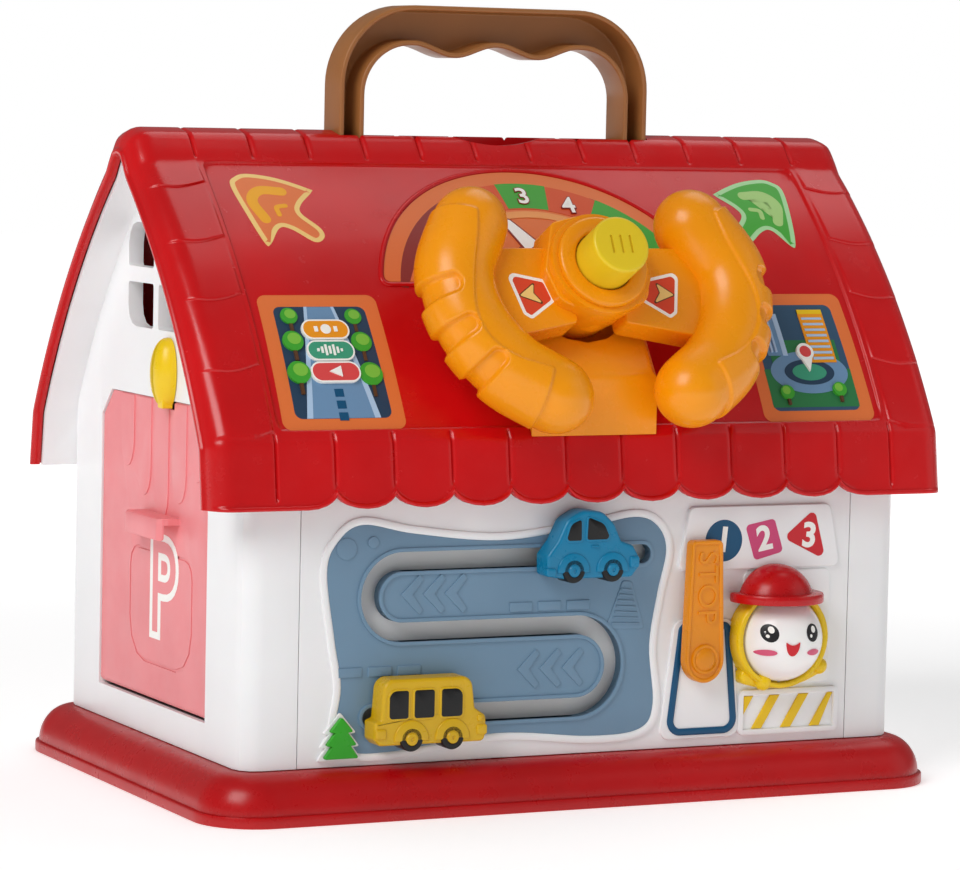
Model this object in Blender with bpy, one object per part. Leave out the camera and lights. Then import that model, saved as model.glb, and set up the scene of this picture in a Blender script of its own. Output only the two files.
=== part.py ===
"""Toy activity house: white walls on a red base, a red tiled roof with a
carry handle, a steering wheel on the roof and play pieces on the walls.

Metres, +Z up. The front faces -Y, +X is to its right, and the origin is the
middle of the flat underside of the base.
"""
import math

import bmesh
import bpy
from mathutils import Matrix, Vector

# Walls
WALL_LENGTH = 0.300
WALL_DEPTH = 0.1965
WALL_THICKNESS = 0.0025
WALL_CORNER_RADIUS = 0.009
SEAM_OFFSET = 0.1262
SEAM_GAP = 0.0004
GAP = 0.0003
OVERRUN = 0.010
WELD = 0.000002

# Base
BASE_HEIGHT = 0.020
BASE_FLARE = 0.0163
BASE_BEAD_HEIGHT = 0.0046
BASE_BEAD_STEP = 0.0016
BASE_SHOULDER = 0.0012
BASE_THICKNESS = 0.0025
BASE_LIP_HEIGHT = 0.003
BASE_LIP_THICKNESS = 0.0015
BOTTOM_THICKNESS = 0.003
SCREW_RADIUS = 0.0015
SCREW_HEAD_RADIUS = 0.003
SCREW_LENGTH = 0.036
SCREW_CLEARANCE = 0.0003
POST_HEIGHT = 0.030
TUBE_RADIUS = 0.0042

# Roof section, from the ridge down to the eave
ROOF_LENGTH = 0.334
RIDGE_HEIGHT = 0.2724
RIDGE_APEX_RISE = 0.0010
RIDGE_SHOULDER_HALF = 0.0098
RIDGE_SHOULDER_DROP = 0.0022
RIDGE_FOOT_HALF = 0.0155
RIDGE_FOOT_DROP = 0.0090
SLOPE_START_HALF = 0.019
ROOF_BULGE = 0.0094
EAVE_HEIGHT = 0.1245
EAVE_RISE = 0.0265
EAVE_SPLAY = 0.0035
EAVE_OVERHANG = 0.00675
ROOF_THICKNESS = 0.0028
GABLE_ROUND = 0.009
GABLE_RIM = 0.011
GABLE_BEAD_WIDTH = 0.0022
GABLE_BEAD_HEIGHT = 0.0014
HOOD_INSET = 0.0105
HOOD_THICKNESS = 0.0022

# Roof tiles and panel
TILE_PITCH = 0.0255
GROOVE_WIDTH = 0.0016
GROOVE_DEPTH = 0.0010
TILE_EDGE_SAG = 0.0030
TILE_EDGE_SHARES = (0.224, 0.412, 0.590, 0.793)
PANEL_TOP_RUN = 0.0235
PANEL_FOOT_MARGIN = 0.0047
PANEL_CORNER = 0.005
PANEL_DEPTH = 0.0012
SCALLOP_HEIGHT = 0.0078
EAVE_BEAD_HEIGHT = 0.0018
EAVE_BEAD_DEPTH = 0.0012
DIAL_CENTRE_SHARE = 0.645
DIAL_TOP_MARGIN = 0.0015
DIAL_FOOT_RISE = 0.0136
DIAL_RIM_WIDTH = 0.0048
DIAL_RIM_HEIGHT = 0.0006

# Carry handle
HANDLE_HALF = 0.0725
HANDLE_RISE = 0.0526
HANDLE_DEPTH = 0.017
HANDLE_LEG = 0.0113
HANDLE_GRIP_DROP = 0.0193
HANDLE_WAVE = 0.0024
HANDLE_WAVE_PITCH = 0.039
HANDLE_OUTER_RADIUS = 0.034
HANDLE_INNER_RADIUS = 0.021
HANDLE_WALL = 0.0022
HANDLE_TRAVEL = 0.046
HANDLE_FOOT_DROP = 0.034
HANDLE_FOOT_FLARE = 0.0022
WELL_CLEARANCE = 0.0006
WELL_THICKNESS = 0.0016
NOTCH_HALF = 0.026
NOTCH_DEPTH = 0.0055

# Front panel and road
RIM_WIDTH = 0.0032
RIM_HEIGHT = 0.0011
ROAD_LEFT = 0.1145
ROAD_RIGHT = 0.0380
ROAD_TOP_DROP = 0.0075
ROAD_FOOT = 0.0245
ROAD_PROUD = 0.0006
ROAD_THICKNESS = 0.0026
ROAD_FLANGE_WIDTH = 0.003
ROAD_FLANGE_THICKNESS = 0.0018
SLOT_HALF = 0.0039
SLOT_LIP_WIDTH = 0.0016
SLOT_LIP_HEIGHT = 0.0009
SLOT_TOP_SHARE = 0.8357
SLOT_MIDDLE_SHARE = 0.5286
SLOT_FOOT_SHARE = 0.1632
SLOT_TOP_END = 0.0265
SLOT_LEFT_TURN = 0.0850
SLOT_RIGHT_TURN = 0.0010
SLOT_FOOT_END = 0.0945
TRACK_DEPTH = 0.0026
TRACK_WALL = 0.0020
TRACK_MARGIN = 0.0075

# Cars
CAR_THICKNESS = 0.0100
CAR_STANDOFF = 0.0006
CAR_EDGE = 0.0012
PEG_RADIUS = 0.0034
PEG_DEPTH_IN_CAR = 0.0055
RETAINER_RADIUS = 0.0066
RETAINER_THICKNESS = 0.0014
BLUE_CAR_X = -0.0020
BLUE_CAR_LENGTH = 0.0425
BLUE_CAR_RISE = 0.0200
BLUE_CAR_DROP = 0.0080
BUS_X = -0.0730
BUS_LENGTH = 0.0495
BUS_RISE = 0.0166
BUS_DROP = 0.0100
WHEEL_RADIUS = 0.0050
WHEEL_PROUD = 0.0008
WINDOW_RECESS = 0.0010

# Barrier lever
LEVER_X = 0.0531
LEVER_Z = 0.0579
LEVER_REACH = 0.0493
LEVER_FOOT_HALF = 0.0072
LEVER_TIP_HALF = 0.0080
LEVER_THICKNESS = 0.0050
LEVER_BACK = 0.0038
LEVER_BOSS_RADIUS = 0.0062
LEVER_BOSS_HEIGHT = 0.0011
LEVER_FACE_DEPTH = 0.0006
LEVER_BORDER = 0.0016
LEVER_PIN_RADIUS = 0.0020
RUNNING_GAP = 0.0003
LEVER_PLATE_PROUD = 0.0012

# Number plate and hazard plate
PLATE_PROUD = 0.0020
NUMBER_LEFT = 0.0430
NUMBER_RIGHT = 0.1205
NUMBER_TOP_DROP = 0.0040
NUMBER_HEIGHT = 0.0265
HAZARD_LEFT = 0.0735
HAZARD_RIGHT = 0.1215
HAZARD_TOP = 0.0430
HAZARD_FOOT = 0.0240
HAZARD_BORDER = 0.0026
STRIPE_WIDTH = 0.0042
STRIPE_PITCH = 0.0105
STRIPE_SLANT = 0.0075

# Ring figure
BALL_X = 0.0900
BALL_Z = 0.0652
BALL_RADIUS = 0.0182
BALL_FORWARD = 0.0050
BALL_GAP = 0.0004
RING_HALF_WIDTH = 0.0226
RING_HALF_HEIGHT = 0.0210
RING_DEPTH = 0.0090
AXLE_RADIUS = 0.0013
HAND_RADIUS = 0.0034
CAP_HALF_WIDTH = 0.0175
CAP_RISE = 0.0150
CAP_DEPTH = 0.0150
BRIM_HALF_WIDTH = 0.0220
BRIM_REACH = 0.0205
BRIM_THICKNESS = 0.0032
CAP_FOOT_RISE = 0.0155

# Tree badge
TREE_X = -0.1082
TREE_Z = 0.0240
TREE_HEIGHT = 0.0168
TREE_HALF_WIDTH = 0.0082
TREE_THICKNESS = 0.0020
TREE_BORDER = 0.0012

# Garage door
DOOR_HALF = 0.0600
DOOR_FOOT = 0.0350
DOOR_TOP_SHARE = 0.591
DOOR_CHAMFER = 0.0110
DOOR_GAP = 0.0004
DOOR_RECESS = 0.0008
DOOR_THICKNESS = 0.0025
DOOR_SILL_GAP = 0.0008
BARREL_RADIUS = 0.0030
DOOR_PIN_RADIUS = 0.0015
DOOR_PIN_REACH = 0.0032
LUG_WIDTH = 0.0040
LUG_HALF_HEIGHT = 0.0045
PLANK_WIDTH = 0.0150
PLANK_PITCH = 0.0195
PLANK_PROUD = 0.0005
PLANK_LENGTHS = (0.019, 0.0295, 0.0385, 0.0295, 0.019)
DOOR_FEATURE_SHIFT = 0.008
LEDGE_HALF = 0.0200
LEDGE_REACH = 0.0095
LEDGE_THICKNESS = 0.0028
LEDGE_LIP = 0.0090
LEDGE_HEIGHT = 0.1135
DOOR_PANEL_TOP = 0.0980
DOOR_PANEL_FOOT = 0.0500
DOOR_PANEL_HALF = 0.0350
DOOR_PANEL_LINE = 0.0012
DOOR_PANEL_DEPTH = 0.0005
BAY_DEPTH = 0.060
BAY_WALL = 0.0018

# Leaf latch
LATCH_Y = -0.0165
LATCH_RISE = 0.0112
LATCH_HALF_HEIGHT = 0.0143
LATCH_HALF_WIDTH = 0.0080
LATCH_THICKNESS = 0.0056
LATCH_RIDGE_SHIFT = 0.0035
LATCH_TAB_WIDTH = 0.0055
LATCH_TAB_HEIGHT = 0.0055
LATCH_SHAFT_RADIUS = 0.0025
LATCH_WASHER_RADIUS = 0.0050
LATCH_WASHER_THICKNESS = 0.0015
LATCH_NOTCH_GAP = 0.0006
LATCH_NOTCH_HALF = 0.0052

# Gable window
WINDOW_PANE_WIDTH = 0.0285
WINDOW_PANE_HEIGHT = 0.0185
WINDOW_BAR_WIDTH = 0.0055
WINDOW_BAR_HEIGHT = 0.0065
WINDOW_FOOT_SHARE = 0.694
WINDOW_OUTER_ROUND = 0.0090
WINDOW_REVEAL = 0.0065
WINDOW_FRAME = 0.0018

# Steering wheel, measured along and across its own axis
WHEEL_RUN = 0.1080
WHEEL_LIFT = 0.0429
WHEEL_LEAN_DEGREES = 9.27
HUB_RADIUS = 0.0220
HUB_FOOT_RADIUS = 0.0190
HUB_LENGTH = 0.0375
BEZEL_THICKNESS = 0.0025
BEZEL_BORE = 0.0142
BUTTON_RADIUS = 0.0136
BUTTON_RISE = 0.0158
BUTTON_FLANGE_RADIUS = 0.0162
BUTTON_FLANGE_THICKNESS = 0.0018
BUTTON_TRAVEL = 0.0025
BUTTON_WELL_RADIUS = 0.0168
HORN_SWITCH_RADIUS = 0.0060
HORN_PLUNGER_RADIUS = 0.0025
HORN_CHAMBER_RADIUS = 0.0070
HORN_CHAMBER_DEPTH = 0.0060
GRIP_RADIUS = 0.0176
GRIP_BACK = 0.0140
GRIP_FLAT = 0.0254
GRIP_PATH = ((0.050, 0.0205), (0.0605, 0.000), (0.0580, -0.022), (0.0465, -0.040), (0.0305, -0.0515))
GRIP_POCKET_SHARES = (0.34, 0.50, 0.66)
GRIP_POCKET_WIDTH = 0.0062
GRIP_POCKET_DEPTH = 0.0016
SPOKE_FRONT = 0.0120
SPOKE_THICKNESS = 0.0125
SHAFT_RADIUS = 0.0040
SHAFT_FRONT = 0.0220
SHAFT_BACK = 0.0550
SHAFT_BOSS_RADIUS = 0.0080
RETAINER_WASHER_RADIUS = 0.0080
RETAINER_WASHER_THICKNESS = 0.0020
PEDESTAL_HALF = 0.0285
PEDESTAL_FRONT_RISE = 0.0260
PEDESTAL_TOP_RUN = 0.092
PEDESTAL_LIFT = 0.0130
PEDESTAL_ROUND = 0.0040
CRADLE_RADIUS = 0.0245

# Electronics
BATTERY_X = 0.070
BATTERY_LENGTH = 0.056
BATTERY_WIDTH = 0.052
BATTERY_WALL = 0.0016
CELL_RADIUS = 0.0070
CELL_LENGTH = 0.0500
CELL_COUNT = 3
COVER_THICKNESS = 0.0022
COVER_MARGIN = 0.0040
SPEAKER_X = -0.060
SPEAKER_RADIUS = 0.0200
SPEAKER_DEPTH = 0.0080
GRILLE_SLOT_WIDTH = 0.0025
GRILLE_SLOT_PITCH = 0.0055
GRILLE_SLOTS = 5
BOARD_LENGTH = 0.070
BOARD_WIDTH = 0.040
BOARD_THICKNESS = 0.0016
BOARD_Y = 0.055
SWITCH_X = 0.000
SWITCH_Y = 0.055
SWITCH_LENGTH = 0.0100
SWITCH_WIDTH = 0.0050
SWITCH_KNOB = 0.0040
SWITCH_TRAVEL = 0.0040
SWITCH_HEIGHT = 0.0060

# Facets
ARC_STEPS = 4
SLOPE_STEPS = 7
ROUND_SIDES = 16
SMALL_SIDES = 10
SHARP_DEGREES = 35

FRONT = -WALL_DEPTH / 2
SIDE = -WALL_LENGTH / 2
CLIP = ROOF_THICKNESS + GAP
ROOF_APEX_HEIGHT = RIDGE_HEIGHT + RIDGE_APEX_RISE
ROOF_BREAK_HALF = WALL_DEPTH / 2 + EAVE_OVERHANG
ROOF_BREAK_HEIGHT = EAVE_HEIGHT + EAVE_RISE
EAVE_HALF = ROOF_BREAK_HALF + EAVE_SPLAY
HANDLE_TOP = RIDGE_HEIGHT + HANDLE_RISE
ROAD_TOP = EAVE_HEIGHT - ROAD_TOP_DROP
ROAD_HEIGHT = ROAD_TOP - ROAD_FOOT
SLOT_TOP = ROAD_FOOT + ROAD_HEIGHT * SLOT_TOP_SHARE
SLOT_MIDDLE = ROAD_FOOT + ROAD_HEIGHT * SLOT_MIDDLE_SHARE
SLOT_FOOT = ROAD_FOOT + ROAD_HEIGHT * SLOT_FOOT_SHARE
NUMBER_TOP = EAVE_HEIGHT - NUMBER_TOP_DROP
NUMBER_FOOT = NUMBER_TOP - NUMBER_HEIGHT
DOOR_TOP = RIDGE_HEIGHT * DOOR_TOP_SHARE
LATCH_Z = DOOR_TOP + LATCH_RISE
WINDOW_FOOT = RIDGE_HEIGHT * WINDOW_FOOT_SHARE
PEDESTAL_FRONT_HEIGHT = ROOF_BREAK_HEIGHT + PEDESTAL_FRONT_RISE
SCREW_INSET = WALL_THICKNESS + GAP * 2 + BASE_LIP_THICKNESS + TUBE_RADIUS


# Outlines

def arc(centre, radius, start, end, steps, radius_b=None):
    """Points on an arc or ellipse arc, in degrees, both ends included."""
    radius_b = radius if radius_b is None else radius_b
    angles = [math.radians(start + (end - start) * i / steps) for i in range(steps + 1)]
    return [(centre[0] + radius * math.cos(a), centre[1] + radius_b * math.sin(a)) for a in angles]


def ring_points(centre, radius, sides, radius_b=None):
    return arc(centre, radius, 0, 360, sides, radius_b)[:-1]


def rectangle(left, right, low, high):
    return [(left, low), (right, low), (right, high), (left, high)]


def rounded(points, radii, steps=3):
    """Replace each corner of a polygon by an arc of its own radius."""
    if not isinstance(radii, (list, tuple)):
        radii = [radii] * len(points)
    result = []
    for i, (point, radius) in enumerate(zip(points, radii)):
        corner = Vector(point)
        before = (Vector(points[i - 1]) - corner).normalized()
        after = (Vector(points[(i + 1) % len(points)]) - corner).normalized()
        half = before.angle(after) / 2
        if radius == 0:
            result.append(tuple(corner))
            continue
        centre = corner + (before + after).normalized() * radius / math.sin(half)
        start = corner + before * radius / math.tan(half) - centre
        end = corner + after * radius / math.tan(half) - centre
        turn = start.angle_signed(end)
        for k in range(steps + 1):
            spoke = start.copy()
            spoke.rotate(Matrix.Rotation(-turn * k / steps, 2))
            result.append(tuple(centre + spoke))
    return result


def rounded_rectangle(half_a, half_b, radius, steps=ARC_STEPS):
    return rounded(rectangle(-half_a, half_a, -half_b, half_b), radius, steps)


def inset_path(points, distance, closed=False):
    """Move a path to its left by a distance, with mitred corners."""
    result = []
    last = len(points) - 1
    for i, point in enumerate(points):
        here = Vector(point)
        before = Vector(points[i - 1]) if (closed or i > 0) else None
        after = Vector(points[(i + 1) % len(points)]) if (closed or i < last) else None
        first = (here - before).normalized() if before is not None else (after - here).normalized()
        second = (after - here).normalized() if after is not None else first
        normal_a = Vector((-first.y, first.x))
        normal_b = Vector((-second.y, second.x))
        middle = (normal_a + normal_b).normalized()
        result.append(tuple(here + middle * distance / middle.dot(normal_a)))
    return result


def outset(points, distance):
    """Grow a counter-clockwise closed outline."""
    return inset_path(points, -distance, closed=True)


def smooth_outline(points, steps):
    """Closed Catmull-Rom curve through the points."""
    result = []
    count = len(points)
    for i in range(count):
        p0, p1, p2, p3 = (Vector(points[(i + k - 1) % count]) for k in range(4))
        for k in range(steps):
            t = k / steps
            spot = 0.5 * (2 * p1 + (p2 - p0) * t + (2 * p0 - 5 * p1 + 4 * p2 - p3) * t * t
                          + (3 * p1 - p0 - 3 * p2 + p3) * t ** 3)
            result.append(tuple(spot))
    return result


def stroke(path, half_width, cap_steps=4):
    """Outline of a thick line with round ends."""
    left = inset_path(path, half_width)
    right = inset_path(path, -half_width)
    ends = []
    for tip, before in ((path[-1], path[-2]), (path[0], path[1])):
        heading = math.degrees(math.atan2(tip[1] - before[1], tip[0] - before[0]))
        ends.append(arc(tip, half_width, heading - 90, heading + 90, cap_steps)[1:-1])
    return right + ends[0] + left[::-1] + ends[1]


# Solids

def loft(loops):
    """Closed solid through loops of equal point count, with flat end faces."""
    bm = bmesh.new()
    rings = [[bm.verts.new(p) for p in loop] for loop in loops]
    count = len(rings[0])
    for lower, upper in zip(rings, rings[1:]):
        for i in range(count):
            j = (i + 1) % count
            bm.faces.new((lower[i], lower[j], upper[j], upper[i]))
    bm.faces.new(rings[0][::-1])
    bm.faces.new(rings[-1])
    bmesh.ops.recalc_face_normals(bm, faces=bm.faces)
    return bm


PLACES = {"x": lambda a, b, c: (c, a, b), "y": lambda a, b, c: (a, c, b), "z": lambda a, b, c: (a, b, c)}


def prism(outline, axis, low, high):
    """Extrude an outline along x, y or z between two coordinates."""
    place = PLACES[axis]
    return loft([[place(a, b, level) for a, b in outline] for level in (low, high)])


def block(x0, x1, y0, y1, z0, z1):
    return prism(rectangle(x0, x1, y0, y1), "z", z0, z1)


def turned(profile, sides=ROUND_SIDES, frame=None):
    """Turn (radius, height) pairs about the frame's own Z; ends may be points."""
    bm = bmesh.new()
    rings = []
    for radius, height in profile:
        if radius == 0:
            rings.append([bm.verts.new((0, 0, height))])
        else:
            rings.append([bm.verts.new((x, y, height)) for x, y in ring_points((0, 0), radius, sides)])
    for lower, upper in zip(rings, rings[1:]):
        for i in range(sides):
            j = (i + 1) % sides
            face = [lower[i % len(lower)], lower[j % len(lower)], upper[j % len(upper)], upper[i % len(upper)]]
            bm.faces.new(list(dict.fromkeys(face)))
    for ring in (rings[0], rings[-1]):
        if len(ring) > 1:
            bm.faces.new(ring)
    bmesh.ops.recalc_face_normals(bm, faces=bm.faces)
    if frame is not None:
        bm.transform(frame)
    return bm


def ball(centre, radius, sides=ROUND_SIDES, rings=8, stretch=(1, 1, 1)):
    """A sphere or ellipsoid with its poles up and down."""
    profile = [(radius * math.sin(math.pi * k / rings), -radius * math.cos(math.pi * k / rings))
               for k in range(rings + 1)]
    profile[0] = (0, -radius)
    profile[-1] = (0, radius)
    return turned(profile, sides, Matrix.Translation(centre) @ Matrix.Diagonal((*stretch, 1)))


def rod(start, direction, radius, length, sides=SMALL_SIDES):
    """A cylinder from a point along a direction."""
    turn = Vector(direction).to_track_quat("Z", "Y").to_matrix().to_4x4()
    return turned([(radius, 0), (radius, length)], sides, Matrix.Translation(start) @ turn)


def tube_along(points, radii, sides=12):
    """Loft circles along a path, square to it."""
    loops = []
    for i, (point, radius) in enumerate(zip(points, radii)):
        ahead = Vector(points[min(i + 1, len(points) - 1)]) - Vector(points[max(i - 1, 0)])
        turn = ahead.to_track_quat("Z", "Y").to_matrix()
        loops.append([Vector(point) + turn @ Vector((x, y, 0)) for x, y in ring_points((0, 0), radius, sides)])
    return loft(loops)


def gather(parts):
    """Put several solids in one mesh, for use as one cutter."""
    whole = bmesh.new()
    for bm in parts:
        mesh = bpy.data.meshes.new("gathered")
        bm.to_mesh(mesh)
        bm.free()
        whole.from_mesh(mesh)
        bpy.data.meshes.remove(mesh)
    return whole


def piece(name, bm, colour, roughness=0.35, metallic=0.0):
    """Make a named object from a solid, with its own material."""
    mesh = bpy.data.meshes.new(name)
    bm.to_mesh(mesh)
    bm.free()
    item = bpy.data.objects.new(name, mesh)
    bpy.context.scene.collection.objects.link(item)
    surface = bpy.data.materials.new(name + "_material")
    surface.use_nodes = True
    shader = surface.node_tree.nodes["Principled BSDF"]
    shader.inputs["Base Color"].default_value = (*colour, 1)
    shader.inputs["Roughness"].default_value = roughness
    shader.inputs["Metallic"].default_value = metallic
    mesh.materials.append(surface)
    return item


def boolean(first, second, operation):
    """Union, difference or intersection of two solids, as one new solid."""
    items = []
    for bm in (first, second):
        mesh = bpy.data.meshes.new("solid")
        bm.to_mesh(mesh)
        bm.free()
        items.append(bpy.data.objects.new("solid", mesh))
        bpy.context.scene.collection.objects.link(items[-1])
    step = items[0].modifiers.new("step", "BOOLEAN")
    step.operation = operation
    step.solver = "EXACT"
    step.object = items[1]
    graph = bpy.context.evaluated_depsgraph_get()
    result = bmesh.new()
    result.from_mesh(items[0].evaluated_get(graph).data)
    bmesh.ops.remove_doubles(result, verts=result.verts, dist=WELD)
    for item in items:
        mesh = item.data
        bpy.data.objects.remove(item)
        bpy.data.meshes.remove(mesh)
    return result


def combine(item, bm, operation):
    """Add, cut or intersect a piece with a solid, keeping one closed body."""
    body = bmesh.new()
    body.from_mesh(item.data)
    result = boolean(body, bm, operation)
    item.data.clear_geometry()
    result.to_mesh(item.data)
    result.free()


def add(item, *solids):
    for bm in solids:
        combine(item, bm, "UNION")


def cut(item, *solids):
    for bm in solids:
        combine(item, bm, "DIFFERENCE")


def keep_inside(item, bm):
    combine(item, bm, "INTERSECT")


def pivot(item, point):
    """Move a piece's origin onto its joint's axis."""
    item.data.transform(Matrix.Translation(-Vector(point)))
    item.location = point


# Colours
WHITE = (0.86, 0.86, 0.85)
RED = (0.62, 0.012, 0.016)
ORANGE = (0.90, 0.33, 0.004)
LEVER_ORANGE = (0.83, 0.25, 0.004)
YELLOW = (0.80, 0.55, 0.01)
BUTTON_YELLOW = (0.75, 0.50, 0.02)
SLATE = (0.20, 0.28, 0.38)
BLUE = (0.01, 0.23, 0.40)
GREEN = (0.04, 0.42, 0.02)
PINK = (0.80, 0.30, 0.30)
BROWN = (0.32, 0.13, 0.05)
STEEL = (0.60, 0.60, 0.62)
BOARD_GREEN = (0.02, 0.16, 0.06)
DARK = (0.03, 0.03, 0.03)


# Roof section

def slope_circle():
    """Centre and radius of the arc that the front slope follows."""
    apex = Vector((0, ROOF_APEX_HEIGHT))
    foot = Vector((-ROOF_BREAK_HALF, ROOF_BREAK_HEIGHT))
    chord = foot - apex
    radius = (chord.length ** 2 / 4 + ROOF_BULGE ** 2) / (2 * ROOF_BULGE)
    outward = Vector((chord.y, -chord.x)).normalized()
    centre = (apex + foot) / 2 - outward * (radius - ROOF_BULGE)
    return centre, radius


SLOPE_CENTRE, SLOPE_RADIUS = slope_circle()
APEX_ANGLE = math.atan2(ROOF_APEX_HEIGHT - SLOPE_CENTRE.y, -SLOPE_CENTRE.x)


def slope_spot(run, lift, side=-1):
    """(y, z) of a point on a slope: its run down from the apex, its lift off it."""
    angle = APEX_ANGLE + run / SLOPE_RADIUS
    reach = SLOPE_RADIUS + lift
    return -side * (SLOPE_CENTRE.x + reach * math.cos(angle)), SLOPE_CENTRE.y + reach * math.sin(angle)


def slope_run(half):
    """Run at which the slope is a given distance from the ridge line."""
    return (math.acos((-half - SLOPE_CENTRE.x) / SLOPE_RADIUS) - APEX_ANGLE) * SLOPE_RADIUS


BREAK_RUN = slope_run(ROOF_BREAK_HALF)
PANEL_FOOT_RUN = BREAK_RUN - PANEL_FOOT_MARGIN
DIAL_CENTRE_RUN = BREAK_RUN * DIAL_CENTRE_SHARE
DIAL_FOOT_RUN = DIAL_CENTRE_RUN - DIAL_FOOT_RISE
DIAL_RADIUS = DIAL_CENTRE_RUN - PANEL_TOP_RUN - DIAL_TOP_MARGIN


def roof_section(inset, foot=EAVE_HEIGHT, drop=0):
    """Roof outline in (y, z) from front foot over the ridge to back foot."""
    start = slope_run(SLOPE_START_HALF)
    runs = [BREAK_RUN + (start - BREAK_RUN) * k / SLOPE_STEPS for k in range(SLOPE_STEPS + 1)]
    front = [(-EAVE_HALF, EAVE_HEIGHT)] + [slope_spot(run, 0) for run in runs]
    front += [(-RIDGE_FOOT_HALF, RIDGE_HEIGHT - RIDGE_FOOT_DROP),
              (-RIDGE_SHOULDER_HALF, RIDGE_HEIGHT - RIDGE_SHOULDER_DROP)]
    path = front + [(0, RIDGE_HEIGHT)] + [(-y, z) for y, z in front[::-1]]
    path = inset_path(path, -inset)
    path[0] = (path[0][0], foot - drop)
    path[-1] = (path[-1][0], foot - drop)
    return path


def gable_stations(thickness):
    """(x, inset) pairs of the rounded gable edge of a shell's face."""
    stations = []
    for k in range(ARC_STEPS):
        angle = math.radians(90 * k / (ARC_STEPS - 1))
        reach = GABLE_ROUND - thickness
        stations.append((ROOF_LENGTH / 2 - GABLE_ROUND + reach * math.cos(angle),
                         GABLE_ROUND - reach * math.sin(angle)))
    return stations


def roof_body(thickness, drop=0):
    stations = gable_stations(thickness)
    both = [(-x, d) for x, d in stations] + stations[::-1]
    return loft([[(x, y, z) for y, z in roof_section(d, drop=drop)] for x, d in both])


def slope_prism(outline, low, high, side):
    """Solid over an outline in (x, run), bent to follow the slope."""
    bm = prism(outline, "z", low, high)
    runs = [run for _, run in outline]
    step = ROOF_BREAK_HEIGHT / 8
    level = min(runs) + step
    while level < max(runs) - step / 4:
        whole = bm.verts[:] + bm.edges[:] + bm.faces[:]
        bmesh.ops.bisect_plane(bm, geom=whole, plane_co=(0, level, 0), plane_no=(0, 1, 0))
        level += step
    for vert in bm.verts:
        x, run, lift = vert.co
        vert.co = (x, *slope_spot(run, lift, side))
    if bm.calc_volume(signed=True) < 0:
        bmesh.ops.reverse_faces(bm, faces=bm.faces)
    return bm


def groove_xs():
    """Joints between tiles along the ridge and the eave."""
    return [TILE_PITCH * (k + 0.5) for k in range(-6, 6)]


def tile_edge(x_in, x_out, run):
    """Thin crescent under the curved foot of a border tile."""
    path = [(x_in + (x_out - x_in) * k / ARC_STEPS,
             run + TILE_EDGE_SAG * math.sin(math.pi * k / ARC_STEPS)) for k in range(ARC_STEPS + 1)]
    lower = [(x, r + GROOVE_WIDTH) for x, r in path]
    return path + lower[::-1]


def scallop_line(steps=3):
    """Eave edge in (x, z): flat at the ends, raised at each tile joint."""
    joints = groove_xs()[1:-1]
    end = ROOF_LENGTH / 2 - GABLE_ROUND
    line = [(-end, EAVE_HEIGHT)]
    for joint in joints:
        for k in range(-steps + 1, steps + 1):
            share = k / steps / 2
            rise = 0.5 + 0.5 * math.cos(2 * math.pi * share)
            line.append((joint + share * TILE_PITCH, EAVE_HEIGHT + SCALLOP_HEIGHT * rise))
    return line + [(end, EAVE_HEIGHT)]


def ridge_groove():
    """(y, z) outline of the groove that crosses the ridge between two tiles."""
    path = [p for p in roof_section(GROOVE_DEPTH) if abs(p[0]) < SLOPE_START_HALF]
    top = RIDGE_HEIGHT + OVERRUN
    return path + [(path[-1][0], top), (path[0][0], top)]


def eave_groove(side):
    """(y, z) outline of the groove from the panel over the break down the eave."""
    low = EAVE_HEIGHT + SCALLOP_HEIGHT + EAVE_BEAD_HEIGHT * 2
    rows = []
    for depth in (GROOVE_DEPTH, -OVERRUN):
        foot, corner = [Vector(p) for p in roof_section(depth)[:2]]
        start = foot.lerp(corner, (low - foot.y) / (corner.y - foot.y))
        upper = Vector(slope_spot(PANEL_FOOT_RUN - GROOVE_WIDTH, -depth))
        rows.append([start, corner, upper])
    outline = rows[0] + rows[1][::-1]
    return [(-side * y, z) for y, z in outline]


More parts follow.
